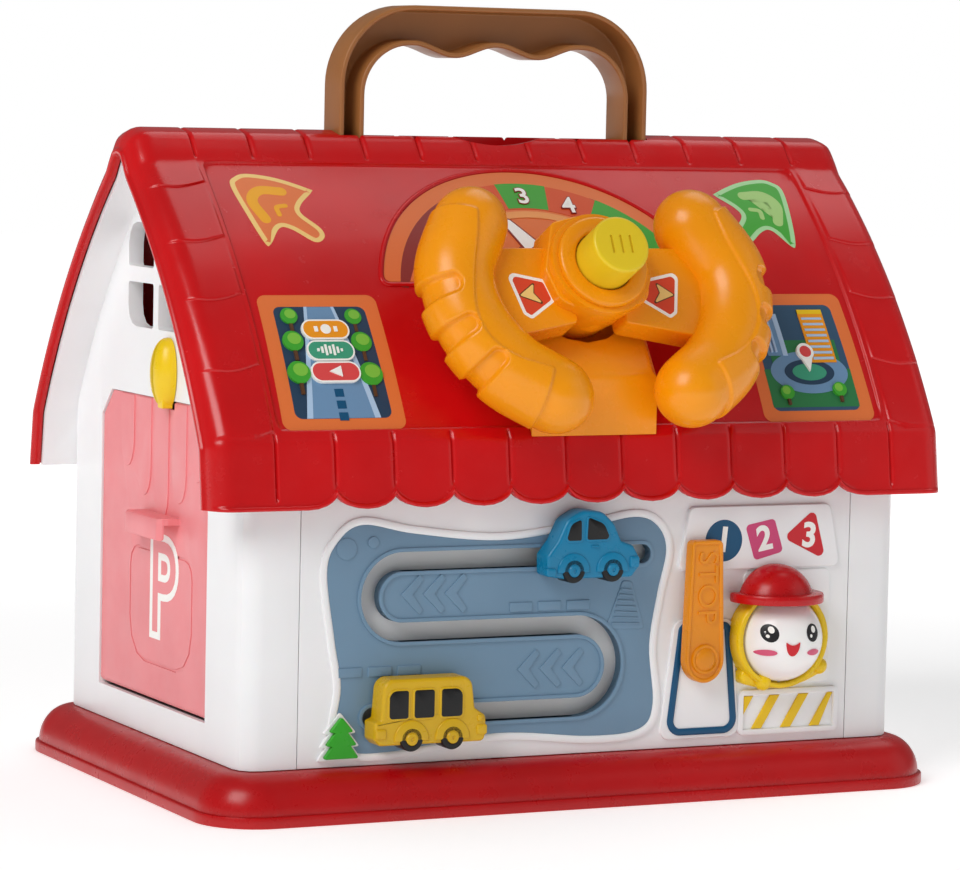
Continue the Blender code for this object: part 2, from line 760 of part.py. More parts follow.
def build_roof():
    roof = piece("roof_shell", roof_body(0), RED, 0.30)
    for end in (-1, 1):
        face = end * ROOF_LENGTH / 2
        ring = roof_section(GABLE_RIM - GABLE_BEAD_WIDTH) + roof_section(GABLE_RIM + GAP)[::-1]
        add(roof, prism(ring, "x", face - end * GABLE_BEAD_HEIGHT, face + end * GABLE_BEAD_HEIGHT))
    edge = scallop_line()
    strip = edge + [(x, z + EAVE_BEAD_HEIGHT) for x, z in edge[::-1]]
    below = edge + [(edge[-1][0], EAVE_HEIGHT - OVERRUN), (edge[0][0], EAVE_HEIGHT - OVERRUN)]
    for side in (-1, 1):
        inner = side * (ROOF_BREAK_HALF - ROOF_THICKNESS / 2)
        add(roof, prism(strip, "y", inner, side * (EAVE_HALF + EAVE_BEAD_DEPTH)))
    cut(roof, roof_body(ROOF_THICKNESS, OVERRUN))
    reach = ROOF_LENGTH / 2 + OVERRUN
    cut(roof, prism(roof_section(GABLE_RIM, drop=OVERRUN), "x", -reach, reach))
    for side in (-1, 1):
        cut(roof, prism(below, "y", side * (ROOF_BREAK_HALF - OVERRUN), side * (EAVE_HALF + OVERRUN)))
    panel_half = groove_xs()[-1] - GROOVE_WIDTH
    panel = rounded(rectangle(-panel_half, panel_half, PANEL_TOP_RUN, PANEL_FOOT_RUN), PANEL_CORNER)
    grooves = [prism(ridge_groove(), "x", x - GROOVE_WIDTH / 2, x + GROOVE_WIDTH / 2) for x in groove_xs()]
    for side in (-1, 1):
        cut(roof, slope_prism(panel, -PANEL_DEPTH, OVERRUN, side))
        for x in groove_xs():
            grooves.append(prism(eave_groove(side), "x", x - GROOVE_WIDTH / 2, x + GROOVE_WIDTH / 2))
        for end in (-1, 1):
            inner = end * (panel_half + GROOVE_WIDTH * 2)
            for share in TILE_EDGE_SHARES:
                edge_line = tile_edge(inner, end * reach, BREAK_RUN * share)
                grooves.append(slope_prism(edge_line, -GROOVE_DEPTH, OVERRUN, side))
    cut(roof, gather(grooves))
    add(roof, dial_rim())
    cut(roof, handle_slot(), finger_notch())
    boss = wheel_rod(SHAFT_BOSS_RADIUS, RETAINER_FRONT - GAP, SHAFT_FRONT)
    skin = prism(roof_section(PANEL_DEPTH + ROOF_THICKNESS / 4), "x", -PEDESTAL_HALF, PEDESTAL_HALF)
    add(roof, boolean(boss, skin, "INTERSECT"))
    cut(roof, wheel_rod(SHAFT_RADIUS + RUNNING_GAP, SHAFT_BACK, SHAFT_FRONT))
    return roof


def dial_outline(radius, foot):
    start = math.degrees(math.asin((DIAL_CENTRE_RUN - foot) / radius))
    return arc((0, DIAL_CENTRE_RUN), radius, 180 + start, 360 - start, ARC_STEPS * 4)


def dial_rim():
    """Raised rim round the number dial on the front slope, closed along its foot."""
    outer = dial_outline(DIAL_RADIUS, DIAL_FOOT_RUN)
    inner = dial_outline(DIAL_RADIUS - DIAL_RIM_WIDTH, DIAL_FOOT_RUN - DIAL_RIM_WIDTH)
    disc = slope_prism(outer, -PANEL_DEPTH * 2, DIAL_RIM_HEIGHT - PANEL_DEPTH, -1)
    return boolean(disc, slope_prism(inner, -OVERRUN, OVERRUN, -1), "DIFFERENCE")


def handle_slot():
    half_x = HANDLE_HALF + WELL_CLEARANCE
    half_y = HANDLE_DEPTH / 2 + WELL_CLEARANCE
    low = RIDGE_HEIGHT - HANDLE_FOOT_DROP
    return block(-half_x, half_x, -half_y, half_y, low, RIDGE_HEIGHT + OVERRUN)


def finger_notch():
    """Dip in the ridge where fingers reach for the lowered grip."""
    radius = (NOTCH_HALF ** 2 + NOTCH_DEPTH ** 2) / (2 * NOTCH_DEPTH)
    centre = (0, RIDGE_HEIGHT - NOTCH_DEPTH + radius)
    half = math.degrees(math.asin(NOTCH_HALF / radius))
    dip = arc(centre, radius, 270 - half, 270 + half, ARC_STEPS * 2)
    dip += [(NOTCH_HALF, RIDGE_HEIGHT + OVERRUN), (-NOTCH_HALF, RIDGE_HEIGHT + OVERRUN)]
    return prism(dip, "y", -RIDGE_FOOT_HALF - OVERRUN, 0)


# Wheel frame

RETAINER_FRONT = SHAFT_BACK - GAP - RETAINER_WASHER_THICKNESS
WHEEL_SLOPE_ANGLE = APEX_ANGLE + WHEEL_RUN / SLOPE_RADIUS
WHEEL_FRAME = (Matrix.Translation((0, *slope_spot(WHEEL_RUN, WHEEL_LIFT)))
               @ Matrix.Rotation(WHEEL_SLOPE_ANGLE - math.radians(90 - WHEEL_LEAN_DEGREES), 4, "X"))


def wheel_turned(profile, sides=ROUND_SIDES):
    """Turned solid about the wheel's axis; heights count towards the driver."""
    return turned(profile, sides, WHEEL_FRAME)


def wheel_rod(radius, back, front):
    return wheel_turned([(radius, -back), (radius, -front)])


def wheel_prism(outline, back, front):
    bm = prism(outline, "z", -back, -front)
    bm.transform(WHEEL_FRAME)
    return bm


# Walls

def wall_plan(side):
    """U-shaped plan of a side wall: its gable face and two corner posts."""
    half_x = WALL_LENGTH / 2
    half_y = WALL_DEPTH / 2
    seam = SEAM_OFFSET
    outer = rounded(rectangle(-half_x, half_x, -half_y, half_y), WALL_CORNER_RADIUS)
    inner = rounded(rectangle(-half_x + WALL_THICKNESS, half_x - WALL_THICKNESS,
                              -half_y + WALL_THICKNESS, half_y - WALL_THICKNESS),
                    WALL_CORNER_RADIUS - WALL_THICKNESS)
    keep = [p for p in outer if p[0] < 0]
    front = [p for p in keep if p[1] < 0]
    back = [p for p in keep if p[1] > 0]
    path = [(-seam, -half_y)] + front[::-1] + back[::-1] + [(-seam, half_y)]
    keep = [p for p in inner if p[0] < 0]
    front = [p for p in keep if p[1] < 0]
    back = [p for p in keep if p[1] > 0]
    inside = [(-seam, -half_y + WALL_THICKNESS)] + front[::-1] + back[::-1] + [(-seam, half_y - WALL_THICKNESS)]
    return [(-side * x, y) for x, y in path + inside[::-1]]


def roof_interior(grow=0):
    """The space under the roof shell, for trimming what stands in it."""
    section = roof_section(CLIP + grow, drop=EAVE_HEIGHT + OVERRUN)
    return prism(section, "x", -WALL_LENGTH, WALL_LENGTH)


def window_panes():
    """Four panes round a cross bar, in (y, z), with the outer corners rounded."""
    near = WINDOW_BAR_WIDTH / 2
    far = near + WINDOW_PANE_WIDTH
    low = WINDOW_FOOT
    mid = low + WINDOW_PANE_HEIGHT + WINDOW_BAR_HEIGHT
    small = WINDOW_BAR_WIDTH / 4
    panes = []
    for y_sign in (-1, 1):
        for foot, big_low in ((low, True), (mid, False)):
            top = foot + WINDOW_PANE_HEIGHT
            corners = [(y_sign * near, foot), (y_sign * far, foot), (y_sign * far, top), (y_sign * near, top)]
            radii = [small, WINDOW_OUTER_ROUND if big_low else small,
                     small if big_low else WINDOW_OUTER_ROUND, small]
            panes.append(rounded(corners, radii))
    return panes


def corner_posts(side):
    """Screw posts in the two corners of a side wall."""
    x_in = WALL_LENGTH / 2 - SCREW_INSET - TUBE_RADIUS
    x_out = WALL_LENGTH / 2 - WALL_THICKNESS / 2
    y_in = WALL_DEPTH / 2 - SCREW_INSET - TUBE_RADIUS
    y_out = WALL_DEPTH / 2 - WALL_THICKNESS / 2
    low = BASE_HEIGHT + BASE_LIP_HEIGHT + GAP
    chamfer = WALL_CORNER_RADIUS / 2
    for y_sign in (-1, 1):
        outline = [(x_in, y_in), (x_out, y_in), (x_out, y_out - chamfer), (x_out - chamfer, y_out), (x_in, y_out)]
        outline = [(side * x, y_sign * y) for x, y in outline]
        yield prism(outline, "z", low, low + POST_HEIGHT)


def screw_spots():
    x = WALL_LENGTH / 2 - SCREW_INSET
    y = WALL_DEPTH / 2 - SCREW_INSET
    return [(sx * x, sy * y) for sx in (-1, 1) for sy in (-1, 1)]


def build_side_wall(name, side):
    wall = piece(name, prism(wall_plan(side), "z", BASE_HEIGHT + GAP, RIDGE_HEIGHT + OVERRUN), WHITE, 0.35)
    keep_inside(wall, roof_interior())
    add(wall, *corner_posts(side))
    spots = [rod((x, y, BASE_HEIGHT), (0, 0, 1), SCREW_RADIUS + SCREW_CLEARANCE, POST_HEIGHT)
             for x, y in screw_spots() if x * side > 0]
    cut(wall, gather(spots))
    face = side * WALL_LENGTH / 2
    inside = face - side * WALL_THICKNESS
    hood = roof_section(HOOD_INSET) + roof_section(HOOD_INSET + HOOD_THICKNESS)[::-1]
    hood_front = side * (ROOF_LENGTH / 2 - ROOF_THICKNESS - GAP * 2)
    add(wall, prism(hood, "x", inside, hood_front))
    half = WINDOW_BAR_WIDTH / 2 + WINDOW_PANE_WIDTH + WINDOW_FRAME
    top = WINDOW_FOOT + WINDOW_PANE_HEIGHT * 2 + WINDOW_BAR_HEIGHT + WINDOW_FRAME
    frame = rounded(rectangle(-half, half, WINDOW_FOOT - WINDOW_FRAME, top), WINDOW_OUTER_ROUND)
    add(wall, prism(frame, "x", face - side * WINDOW_REVEAL, face - side * WALL_THICKNESS / 2))
    panes = [prism(pane, "x", face - side * OVERRUN, face + side * OVERRUN) for pane in window_panes()]
    cut(wall, gather(panes))
    return wall


# Garage door, latch and bay

HINGE_X = SIDE + DOOR_RECESS + BARREL_RADIUS - GAP / 2
HINGE_Z = DOOR_FOOT + BARREL_RADIUS


def door_outline(grow, foot):
    half = DOOR_HALF + grow
    top = DOOR_TOP + grow
    return [(-half, foot), (half, foot), (half, top - DOOR_CHAMFER), (half - DOOR_CHAMFER, top),
            (-half + DOOR_CHAMFER, top), (-half, top - DOOR_CHAMFER)]


def leaf(half_width, half_height, steps=ARC_STEPS * 2):
    """Pointed leaf outline in (y, z) about the latch shaft."""
    right = [(half_width * math.sin(math.pi * k / steps), -half_height * math.cos(math.pi * k / steps))
             for k in range(steps + 1)]
    return right + [(-a, b) for a, b in right[::-1]][1:-1]


def tail_outline():
    """The tab at the foot of the leaf, in (y, z)."""
    centre = LATCH_Y - LATCH_RIDGE_SHIFT / 2
    foot = LATCH_Z - LATCH_HALF_HEIGHT
    half = LATCH_TAB_WIDTH / 2
    return rounded(rectangle(centre - half, centre + half, foot, foot + LATCH_TAB_HEIGHT), half / 3, 2)


def ledge_solid(face):
    """Finger ledge: a shelf with a lip turned down at its outer edge."""
    root = face + DOOR_THICKNESS / 2
    outer = face - LEDGE_REACH
    lip = outer + LEDGE_THICKNESS
    under = LEDGE_HEIGHT - LEDGE_THICKNESS
    profile = [(root, under), (root, LEDGE_HEIGHT), (outer, LEDGE_HEIGHT), (outer, LEDGE_HEIGHT - LEDGE_LIP),
               (lip, LEDGE_HEIGHT - LEDGE_LIP), (lip, under)]
    round_top = [0, 0, LEDGE_THICKNESS / 2, LEDGE_THICKNESS / 3, LEDGE_THICKNESS / 3, 0]
    low_y = -DOOR_FEATURE_SHIFT - LEDGE_HALF
    high_y = -DOOR_FEATURE_SHIFT + LEDGE_HALF
    shelf = prism(rounded(profile, round_top, 2), "y", low_y, high_y)
    plan = rounded(rectangle(outer - GAP, root + OVERRUN, low_y, high_y), [LEDGE_REACH / 2, 0, 0, LEDGE_REACH / 2])
    return boolean(shelf, prism(plan, "z", DOOR_FOOT, DOOR_TOP), "INTERSECT")


def door_line(face):
    """Groove that outlines the lower panel of the door."""
    low_y = -DOOR_FEATURE_SHIFT - DOOR_PANEL_HALF
    high_y = -DOOR_FEATURE_SHIFT + DOOR_PANEL_HALF
    small = DOOR_PANEL_HALF / 4
    panel = rounded(rectangle(low_y, high_y, DOOR_PANEL_FOOT, DOOR_PANEL_TOP), [small * 2, small * 2, small, small])
    front = face - OVERRUN
    field = prism(outset(panel, -DOOR_PANEL_LINE), "x", front - OVERRUN, face + OVERRUN)
    return boolean(prism(panel, "x", front, face + DOOR_PANEL_DEPTH), field, "DIFFERENCE")


def build_garage_door():
    face = SIDE + DOOR_RECESS
    back = face + DOOR_THICKNESS
    door = piece("garage_door", prism(door_outline(-DOOR_GAP, HINGE_Z), "x", face, back), PINK, 0.4)
    half = DOOR_HALF - DOOR_GAP
    add(door, rod((HINGE_X, -half, HINGE_Z), (0, 1, 0), BARREL_RADIUS, 2 * half, ROUND_SIDES))
    pin_half = half + DOOR_PIN_REACH
    add(door, rod((HINGE_X, -pin_half, HINGE_Z), (0, 1, 0), DOOR_PIN_RADIUS, 2 * pin_half))
    planks = []
    for number, length in enumerate(PLANK_LENGTHS):
        centre = (number - (len(PLANK_LENGTHS) - 1) / 2) * PLANK_PITCH - DOOR_FEATURE_SHIFT
        tip = arc((centre, DOOR_TOP - length), PLANK_WIDTH / 2, 180, 360, ARC_STEPS * 2, PLANK_WIDTH * 0.8)
        high = [(tip[-1][0], DOOR_TOP + OVERRUN), (tip[0][0], DOOR_TOP + OVERRUN)]
        planks.append(prism(tip + high, "x", face - PLANK_PROUD, face + DOOR_THICKNESS / 2))
    trim = prism(door_outline(-DOOR_GAP - PLANK_PROUD, HINGE_Z), "x", face - OVERRUN, face + OVERRUN)
    add(door, boolean(gather(planks), trim, "INTERSECT"), ledge_solid(face))
    cut(door, door_line(face))
    notch_foot = LATCH_Z - LATCH_HALF_HEIGHT - LATCH_NOTCH_GAP
    cut(door, block(face - OVERRUN, back + OVERRUN, LATCH_Y - LATCH_NOTCH_HALF, LATCH_Y + LATCH_NOTCH_HALF,
                    notch_foot, DOOR_TOP + OVERRUN))
    pivot(door, (HINGE_X, 0, HINGE_Z))


def fit_door_to_wall(wall):
    """Door opening, hinge lugs and latch hole in the left wall."""
    cut(wall, prism(door_outline(0, DOOR_FOOT - DOOR_SILL_GAP), "x", SIDE - OVERRUN, SIDE + WALL_THICKNESS * 2))
    for y_sign in (-1, 1):
        near = y_sign * DOOR_HALF
        far = y_sign * (DOOR_HALF + LUG_WIDTH)
        lug = rectangle(min(near, far), max(near, far), HINGE_Z - LUG_HALF_HEIGHT, HINGE_Z + LUG_HALF_HEIGHT)
        add(wall, prism(lug, "x", SIDE + WALL_THICKNESS / 2, HINGE_X + LUG_HALF_HEIGHT))
    reach = DOOR_HALF + LUG_WIDTH / 2 + DOOR_PIN_REACH
    cut(wall, rod((HINGE_X, -reach, HINGE_Z), (0, 1, 0), DOOR_PIN_RADIUS + RUNNING_GAP, reach * 2))
    cut(wall, rod((SIDE - OVERRUN, LATCH_Y, LATCH_Z), (1, 0, 0), LATCH_SHAFT_RADIUS + RUNNING_GAP, OVERRUN * 2))


def build_latch():
    base = SIDE - GAP
    crest = SIDE - LATCH_THICKNESS
    middle = SIDE - LATCH_THICKNESS / 3
    widths = ((base, LATCH_HALF_WIDTH, 0, LATCH_HALF_HEIGHT), (middle, LATCH_HALF_WIDTH, 0, LATCH_HALF_HEIGHT),
              (crest, LATCH_HALF_WIDTH / 3, -LATCH_RIDGE_SHIFT / 2, LATCH_HALF_HEIGHT * 0.92))
    loops = [[(x, LATCH_Y + shift + a, LATCH_Z + b) for a, b in leaf(width, height)]
             for x, width, shift, height in widths]
    latch = piece("door_latch", loft(loops), YELLOW, 0.3)
    add(latch, prism(tail_outline(), "x", base, SIDE - LATCH_THICKNESS * 0.8))
    shaft_end = SIDE + WALL_THICKNESS + LATCH_WASHER_THICKNESS + GAP
    add(latch, rod((SIDE - LATCH_THICKNESS / 2, LATCH_Y, LATCH_Z), (1, 0, 0), LATCH_SHAFT_RADIUS,
                   shaft_end - SIDE + LATCH_THICKNESS / 2))
    pivot(latch, (SIDE, LATCH_Y, LATCH_Z))
    washer_x = SIDE + WALL_THICKNESS + GAP
    washer = piece("latch_washer", rod((washer_x, LATCH_Y, LATCH_Z), (1, 0, 0), LATCH_WASHER_RADIUS,
                                       LATCH_WASHER_THICKNESS, ROUND_SIDES), STEEL, 0.4, 1.0)
    cut(washer, rod((washer_x - OVERRUN, LATCH_Y, LATCH_Z), (1, 0, 0), LATCH_SHAFT_RADIUS + GAP / 2, OVERRUN * 2))
    pivot(washer, (SIDE, LATCH_Y, LATCH_Z))


def build_garage_bay():
    half = DOOR_HALF + LUG_WIDTH + GAP * 2
    low = HINGE_Z - LUG_HALF_HEIGHT - GAP * 2
    top = DOOR_TOP + GAP * 2
    near = SIDE + WALL_THICKNESS + GAP
    bay = piece("garage_bay", block(near, near + BAY_DEPTH, -half - BAY_WALL, half + BAY_WALL,
                                    low - BAY_WALL, top + BAY_WALL), WHITE, 0.5)
    cut(bay, block(near - OVERRUN, near + BAY_DEPTH - BAY_WALL, -half, half, low, top))


# Base

def base_loop(offset, z):
    """Plan of the walls grown by an offset, at one height."""
    half_x = WALL_LENGTH / 2 + offset
    half_y = WALL_DEPTH / 2 + offset
    radius = max(WALL_CORNER_RADIUS + offset, WALL_CORNER_RADIUS / 2)
    return [(x, y, z) for x, y in rounded_rectangle(half_x, half_y, radius)]


def flare_stations(inset):
    """(offset, z) pairs of the quarter-round skirt, moved inward by an inset."""
    rise = BASE_HEIGHT - BASE_BEAD_HEIGHT
    reach = BASE_FLARE - BASE_BEAD_STEP - BASE_SHOULDER
    stations = []
    for k in range(ARC_STEPS + 1):
        angle = math.radians(90 * k / ARC_STEPS)
        stations.append((BASE_SHOULDER + (reach - inset) * math.cos(angle),
                         BASE_BEAD_HEIGHT + (rise - inset) * math.sin(angle)))
    return stations


def build_base():
    lip_outer = -WALL_THICKNESS - GAP
    lip_inner = lip_outer - BASE_LIP_THICKNESS
    top = BASE_HEIGHT + BASE_LIP_HEIGHT
    outer = [(BASE_FLARE, 0), (BASE_FLARE, BASE_BEAD_HEIGHT)] + flare_stations(0)
    outer += [(lip_outer, BASE_HEIGHT), (lip_outer, top)]
    skirt = piece("base_skirt", loft([base_loop(offset, z) for offset, z in outer]), RED, 0.3)
    inner = [(BASE_FLARE - BASE_THICKNESS, -OVERRUN), (BASE_FLARE - BASE_THICKNESS, BASE_BEAD_HEIGHT)]
    inner += flare_stations(BASE_THICKNESS)
    inner += [(lip_inner, BASE_HEIGHT - BASE_THICKNESS), (lip_inner, top + OVERRUN)]
    cut(skirt, loft([base_loop(offset, z) for offset, z in inner]))
    bottom = piece("bottom_plate", loft([base_loop(BASE_FLARE - BASE_THICKNESS - GAP, z)
                                         for z in (0, BOTTOM_THICKNESS)]), RED, 0.4)
    tube_top = BASE_HEIGHT + BASE_LIP_HEIGHT - GAP
    for x, y in screw_spots():
        add(bottom, rod((x, y, BOTTOM_THICKNESS / 2), (0, 0, 1), TUBE_RADIUS, tube_top - BOTTOM_THICKNESS / 2))
    holes = [rod((x, y, -OVERRUN), (0, 0, 1), SCREW_RADIUS + SCREW_CLEARANCE, tube_top + OVERRUN * 2)
             for x, y in screw_spots()]
    cut(bottom, gather(holes))
    heads = [rod((x, y, -OVERRUN), (0, 0, 1), SCREW_HEAD_RADIUS + SCREW_CLEARANCE, OVERRUN + BOTTOM_THICKNESS * 0.7)
             for x, y in screw_spots()]
    cut(bottom, gather(heads))
    cover_x = BATTERY_LENGTH / 2 + COVER_MARGIN
    cover_y = BATTERY_WIDTH / 2 + COVER_MARGIN
    cut(bottom, block(BATTERY_X - cover_x, BATTERY_X + cover_x, -cover_y, cover_y, -OVERRUN,
                      COVER_THICKNESS + GAP))
    cut(bottom, block(BATTERY_X - BATTERY_LENGTH / 2, BATTERY_X + BATTERY_LENGTH / 2, -BATTERY_WIDTH / 2,
                      BATTERY_WIDTH / 2, -OVERRUN, OVERRUN))
    slots = []
    for k in range(GRILLE_SLOTS):
        y = (k - (GRILLE_SLOTS - 1) / 2) * GRILLE_SLOT_PITCH
        half = math.sqrt(SPEAKER_RADIUS ** 2 - y ** 2) - GRILLE_SLOT_PITCH
        slots.append(block(SPEAKER_X - half, SPEAKER_X + half, y - GRILLE_SLOT_WIDTH / 2, y + GRILLE_SLOT_WIDTH / 2,
                           -OVERRUN, OVERRUN))
    cut(bottom, gather(slots))
    half_x = (SWITCH_LENGTH + SWITCH_TRAVEL) / 2
    cut(bottom, block(SWITCH_X - half_x, SWITCH_X + half_x, SWITCH_Y - SWITCH_WIDTH, SWITCH_Y + SWITCH_WIDTH,
                      -OVERRUN, BOTTOM_THICKNESS / 2))
    slot_x = (SWITCH_KNOB + SWITCH_TRAVEL) / 2 + GAP
    cut(bottom, block(SWITCH_X - slot_x, SWITCH_X + slot_x, SWITCH_Y - SWITCH_WIDTH / 2 - GAP,
                      SWITCH_Y + SWITCH_WIDTH / 2 + GAP, -OVERRUN, OVERRUN))


def build_screws():
    seat = BOTTOM_THICKNESS * 0.7 - GAP
    profile = [(SCREW_HEAD_RADIUS, GAP), (SCREW_HEAD_RADIUS, seat), (SCREW_RADIUS, seat),
               (SCREW_RADIUS, SCREW_LENGTH)]
    for number, (x, y) in enumerate(screw_spots(), 1):
        screw = piece("base_screw_%d" % number, turned(profile, SMALL_SIDES), STEEL, 0.35, 1.0)
        screw.location = (x, y, 0)


def build_electronics():
    low = BOTTOM_THICKNESS + GAP
    wall = BATTERY_WALL
    x0 = BATTERY_X - BATTERY_LENGTH / 2
    x1 = BATTERY_X + BATTERY_LENGTH / 2
    half = BATTERY_WIDTH / 2
    cell_z = COVER_THICKNESS + GAP + CELL_RADIUS
    top = cell_z + CELL_RADIUS + GAP
    box = piece("battery_box", block(x0 - wall, x1 + wall, -half - wall, half + wall, low, top + wall), WHITE, 0.5)
    cut(box, block(x0, x1, -half, half, low - OVERRUN, top))
    for k in range(CELL_COUNT):
        y = (k - (CELL_COUNT - 1) / 2) * (CELL_RADIUS * 2 + wall)
        cell = rod((BATTERY_X - CELL_LENGTH / 2, y, cell_z), (1, 0, 0), CELL_RADIUS, CELL_LENGTH)
        piece("battery_cell_%d" % (k + 1), cell, STEEL, 0.3, 0.6)
    cover_x = BATTERY_LENGTH / 2 + COVER_MARGIN - GAP
    cover_y = BATTERY_WIDTH / 2 + COVER_MARGIN - GAP
    piece("battery_cover", block(BATTERY_X - cover_x, BATTERY_X + cover_x, -cover_y, cover_y, 0,
                                 COVER_THICKNESS), RED, 0.4)
    profile = [(SPEAKER_RADIUS, low), (SPEAKER_RADIUS, low + SPEAKER_DEPTH / 4),
               (SPEAKER_RADIUS / 2, low + SPEAKER_DEPTH * 0.7), (SPEAKER_RADIUS / 2, low + SPEAKER_DEPTH)]
    piece("speaker", turned(profile, ROUND_SIDES, Matrix.Translation((SPEAKER_X, 0, 0))), DARK, 0.6)
    board_low = BOTTOM_THICKNESS + SWITCH_HEIGHT + GAP
    board = piece("circuit_board", block(-BOARD_LENGTH / 2, BOARD_LENGTH / 2, BOARD_Y - BOARD_WIDTH / 2,
                                         BOARD_Y + BOARD_WIDTH / 2, board_low, board_low + BOARD_THICKNESS),
                  BOARD_GREEN, 0.5)
    feet = [rod((sx * (BOARD_LENGTH / 2 - SCREW_HEAD_RADIUS), BOARD_Y + sy * (BOARD_WIDTH / 2 - SCREW_HEAD_RADIUS),
                 low), (0, 0, 1), SCREW_HEAD_RADIUS / 2, board_low - low + BOARD_THICKNESS / 2)
            for sx in (-1, 1) for sy in (-1, 1)]
    add(board, gather(feet))
    knob = piece("power_switch", block(SWITCH_X - SWITCH_TRAVEL / 2 - SWITCH_LENGTH / 2,
                                       SWITCH_X - SWITCH_TRAVEL / 2 + SWITCH_LENGTH / 2,
                                       SWITCH_Y - SWITCH_WIDTH, SWITCH_Y + SWITCH_WIDTH, low,
                                       low + SWITCH_HEIGHT - GAP * 3), DARK, 0.5)
    centre = SWITCH_X - SWITCH_TRAVEL / 2
    add(knob, block(centre - SWITCH_KNOB / 2, centre + SWITCH_KNOB / 2, SWITCH_Y - SWITCH_WIDTH / 2,
                    SWITCH_Y + SWITCH_WIDTH / 2, GAP * 2, low + SWITCH_HEIGHT / 2))


# Front and back panels

def road_outline():
    """Wavy outline of the road panel: four round corners, sides bowed in."""
    width = ROAD_LEFT + ROAD_RIGHT
    height = ROAD_TOP - ROAD_FOOT
    shares = ((0.03, 0.93), (0.0, 0.80), (0.025, 0.50), (0.045, 0.30), (0.03, 0.10), (0.07, 0.02), (0.20, 0.01),
              (0.50, 0.065), (0.78, 0.03), (0.93, 0.05), (0.97, 0.16), (0.955, 0.42), (0.975, 0.65),
              (1.0, 0.85), (0.97, 0.96), (0.90, 1.0), (0.75, 0.96), (0.50, 0.915), (0.25, 0.955), (0.10, 1.0))
    return smooth_outline([(-ROAD_LEFT + u * width, ROAD_FOOT + v * height) for u, v in shares], 2)


def slot_path():
    """Centre line of the S slot: three runs joined by two U-turns."""
    left = (-SLOT_LEFT_TURN, (SLOT_TOP + SLOT_MIDDLE) / 2)
    right = (-SLOT_RIGHT_TURN, (SLOT_MIDDLE + SLOT_FOOT) / 2)
    turn_left = arc(left, (SLOT_TOP - SLOT_MIDDLE) / 2, 90, 270, ARC_STEPS * 2)
    turn_right = arc(right, (SLOT_MIDDLE - SLOT_FOOT) / 2, 90, -90, ARC_STEPS * 2)
    return [(SLOT_TOP_END, SLOT_TOP)] + turn_left + turn_right + [(-SLOT_FOOT_END, SLOT_FOOT)]


def tree_outline(grow=0):
    """Three-tier fir tree, counter-clockwise."""
    shares = ((-0.35, 0.0), (0.35, 0.0), (1.0, 0.0), (0.62, 0.36), (0.82, 0.36), (0.42, 0.68), (0.56, 0.68),
              (0.0, 1.0), (-0.56, 0.68), (-0.42, 0.68), (-0.82, 0.36), (-0.62, 0.36), (-1.0, 0.0))
    points = [(TREE_X + a * TREE_HALF_WIDTH, TREE_Z + b * TREE_HEIGHT) for a, b in shares]
    return outset(points, grow) if grow else points


def lever_plate_outline():
    """Raised plate under the barrier's foot, wider at the bottom."""
    left_top = LEVER_X - LEVER_FOOT_HALF - TREE_BORDER * 2
    right_top = LEVER_X + LEVER_TIP_HALF * 2
    low = HAZARD_FOOT + HAZARD_BORDER / 2
    return rounded([(left_top - LEVER_TIP_HALF * 0.7, low), (right_top + HAZARD_BORDER, low),
                    (right_top, LEVER_Z + LEVER_FOOT_HALF * 2), (left_top, LEVER_Z + LEVER_FOOT_HALF * 2)],
                   LEVER_FOOT_HALF / 2)


def number_plate_outline():
    slant = NUMBER_TOP - NUMBER_FOOT
    return rounded([(NUMBER_LEFT, NUMBER_FOOT), (NUMBER_RIGHT, NUMBER_FOOT),
                    (NUMBER_RIGHT - slant / 5, NUMBER_TOP), (NUMBER_LEFT + slant / 5, NUMBER_TOP)],
                   PLATE_PROUD)


def build_front_panel():
    inner = FRONT + WALL_THICKNESS
    half = SEAM_OFFSET - SEAM_GAP
    low = BASE_HEIGHT + GAP
    panel = piece("front_panel", prism(rectangle(-half, half, low, ROOF_BREAK_HEIGHT + OVERRUN), "y",
                                       FRONT, inner), WHITE, 0.35)
    keep_inside(panel, roof_interior())
    road = road_outline()
    deep = inner - WALL_THICKNESS / 2
    add(panel, prism(outset(road, RIM_WIDTH), "y", FRONT - RIM_HEIGHT, deep))
    add(panel, prism(tree_outline(TREE_BORDER), "y", FRONT - RIM_HEIGHT - GAP, deep))
    cut(panel, prism(outset(road, GAP), "y", FRONT - OVERRUN, inner + OVERRUN))
    add(panel, prism(number_plate_outline(), "y", FRONT - PLATE_PROUD, deep))
    add(panel, prism(lever_plate_outline(), "y", FRONT - LEVER_PLATE_PROUD, deep))
    hazard = rounded(rectangle(HAZARD_LEFT, HAZARD_RIGHT, HAZARD_FOOT, HAZARD_TOP), HAZARD_BORDER)
    add(panel, prism(hazard, "y", FRONT - PLATE_PROUD, deep))
    cut(panel, hazard_pocket())
    add(panel, rod((LEVER_X, deep, LEVER_Z), (0, -1, 0), LEVER_FOOT_HALF - GAP, deep - FRONT + LEVER_BACK - GAP,
                   ROUND_SIDES))
    cut(panel, rod((LEVER_X, inner + OVERRUN, LEVER_Z), (0, -1, 0), LEVER_PIN_RADIUS + RUNNING_GAP, OVERRUN * 2,
                   ROUND_SIDES))
    hole = math.sqrt(BALL_RADIUS ** 2 - (BALL_FORWARD - WALL_THICKNESS) ** 2)
    cut(panel, prism(ring_points((BALL_X, BALL_Z), hole, ROUND_SIDES), "y", FRONT - PLATE_PROUD / 2, inner + OVERRUN))
    return panel


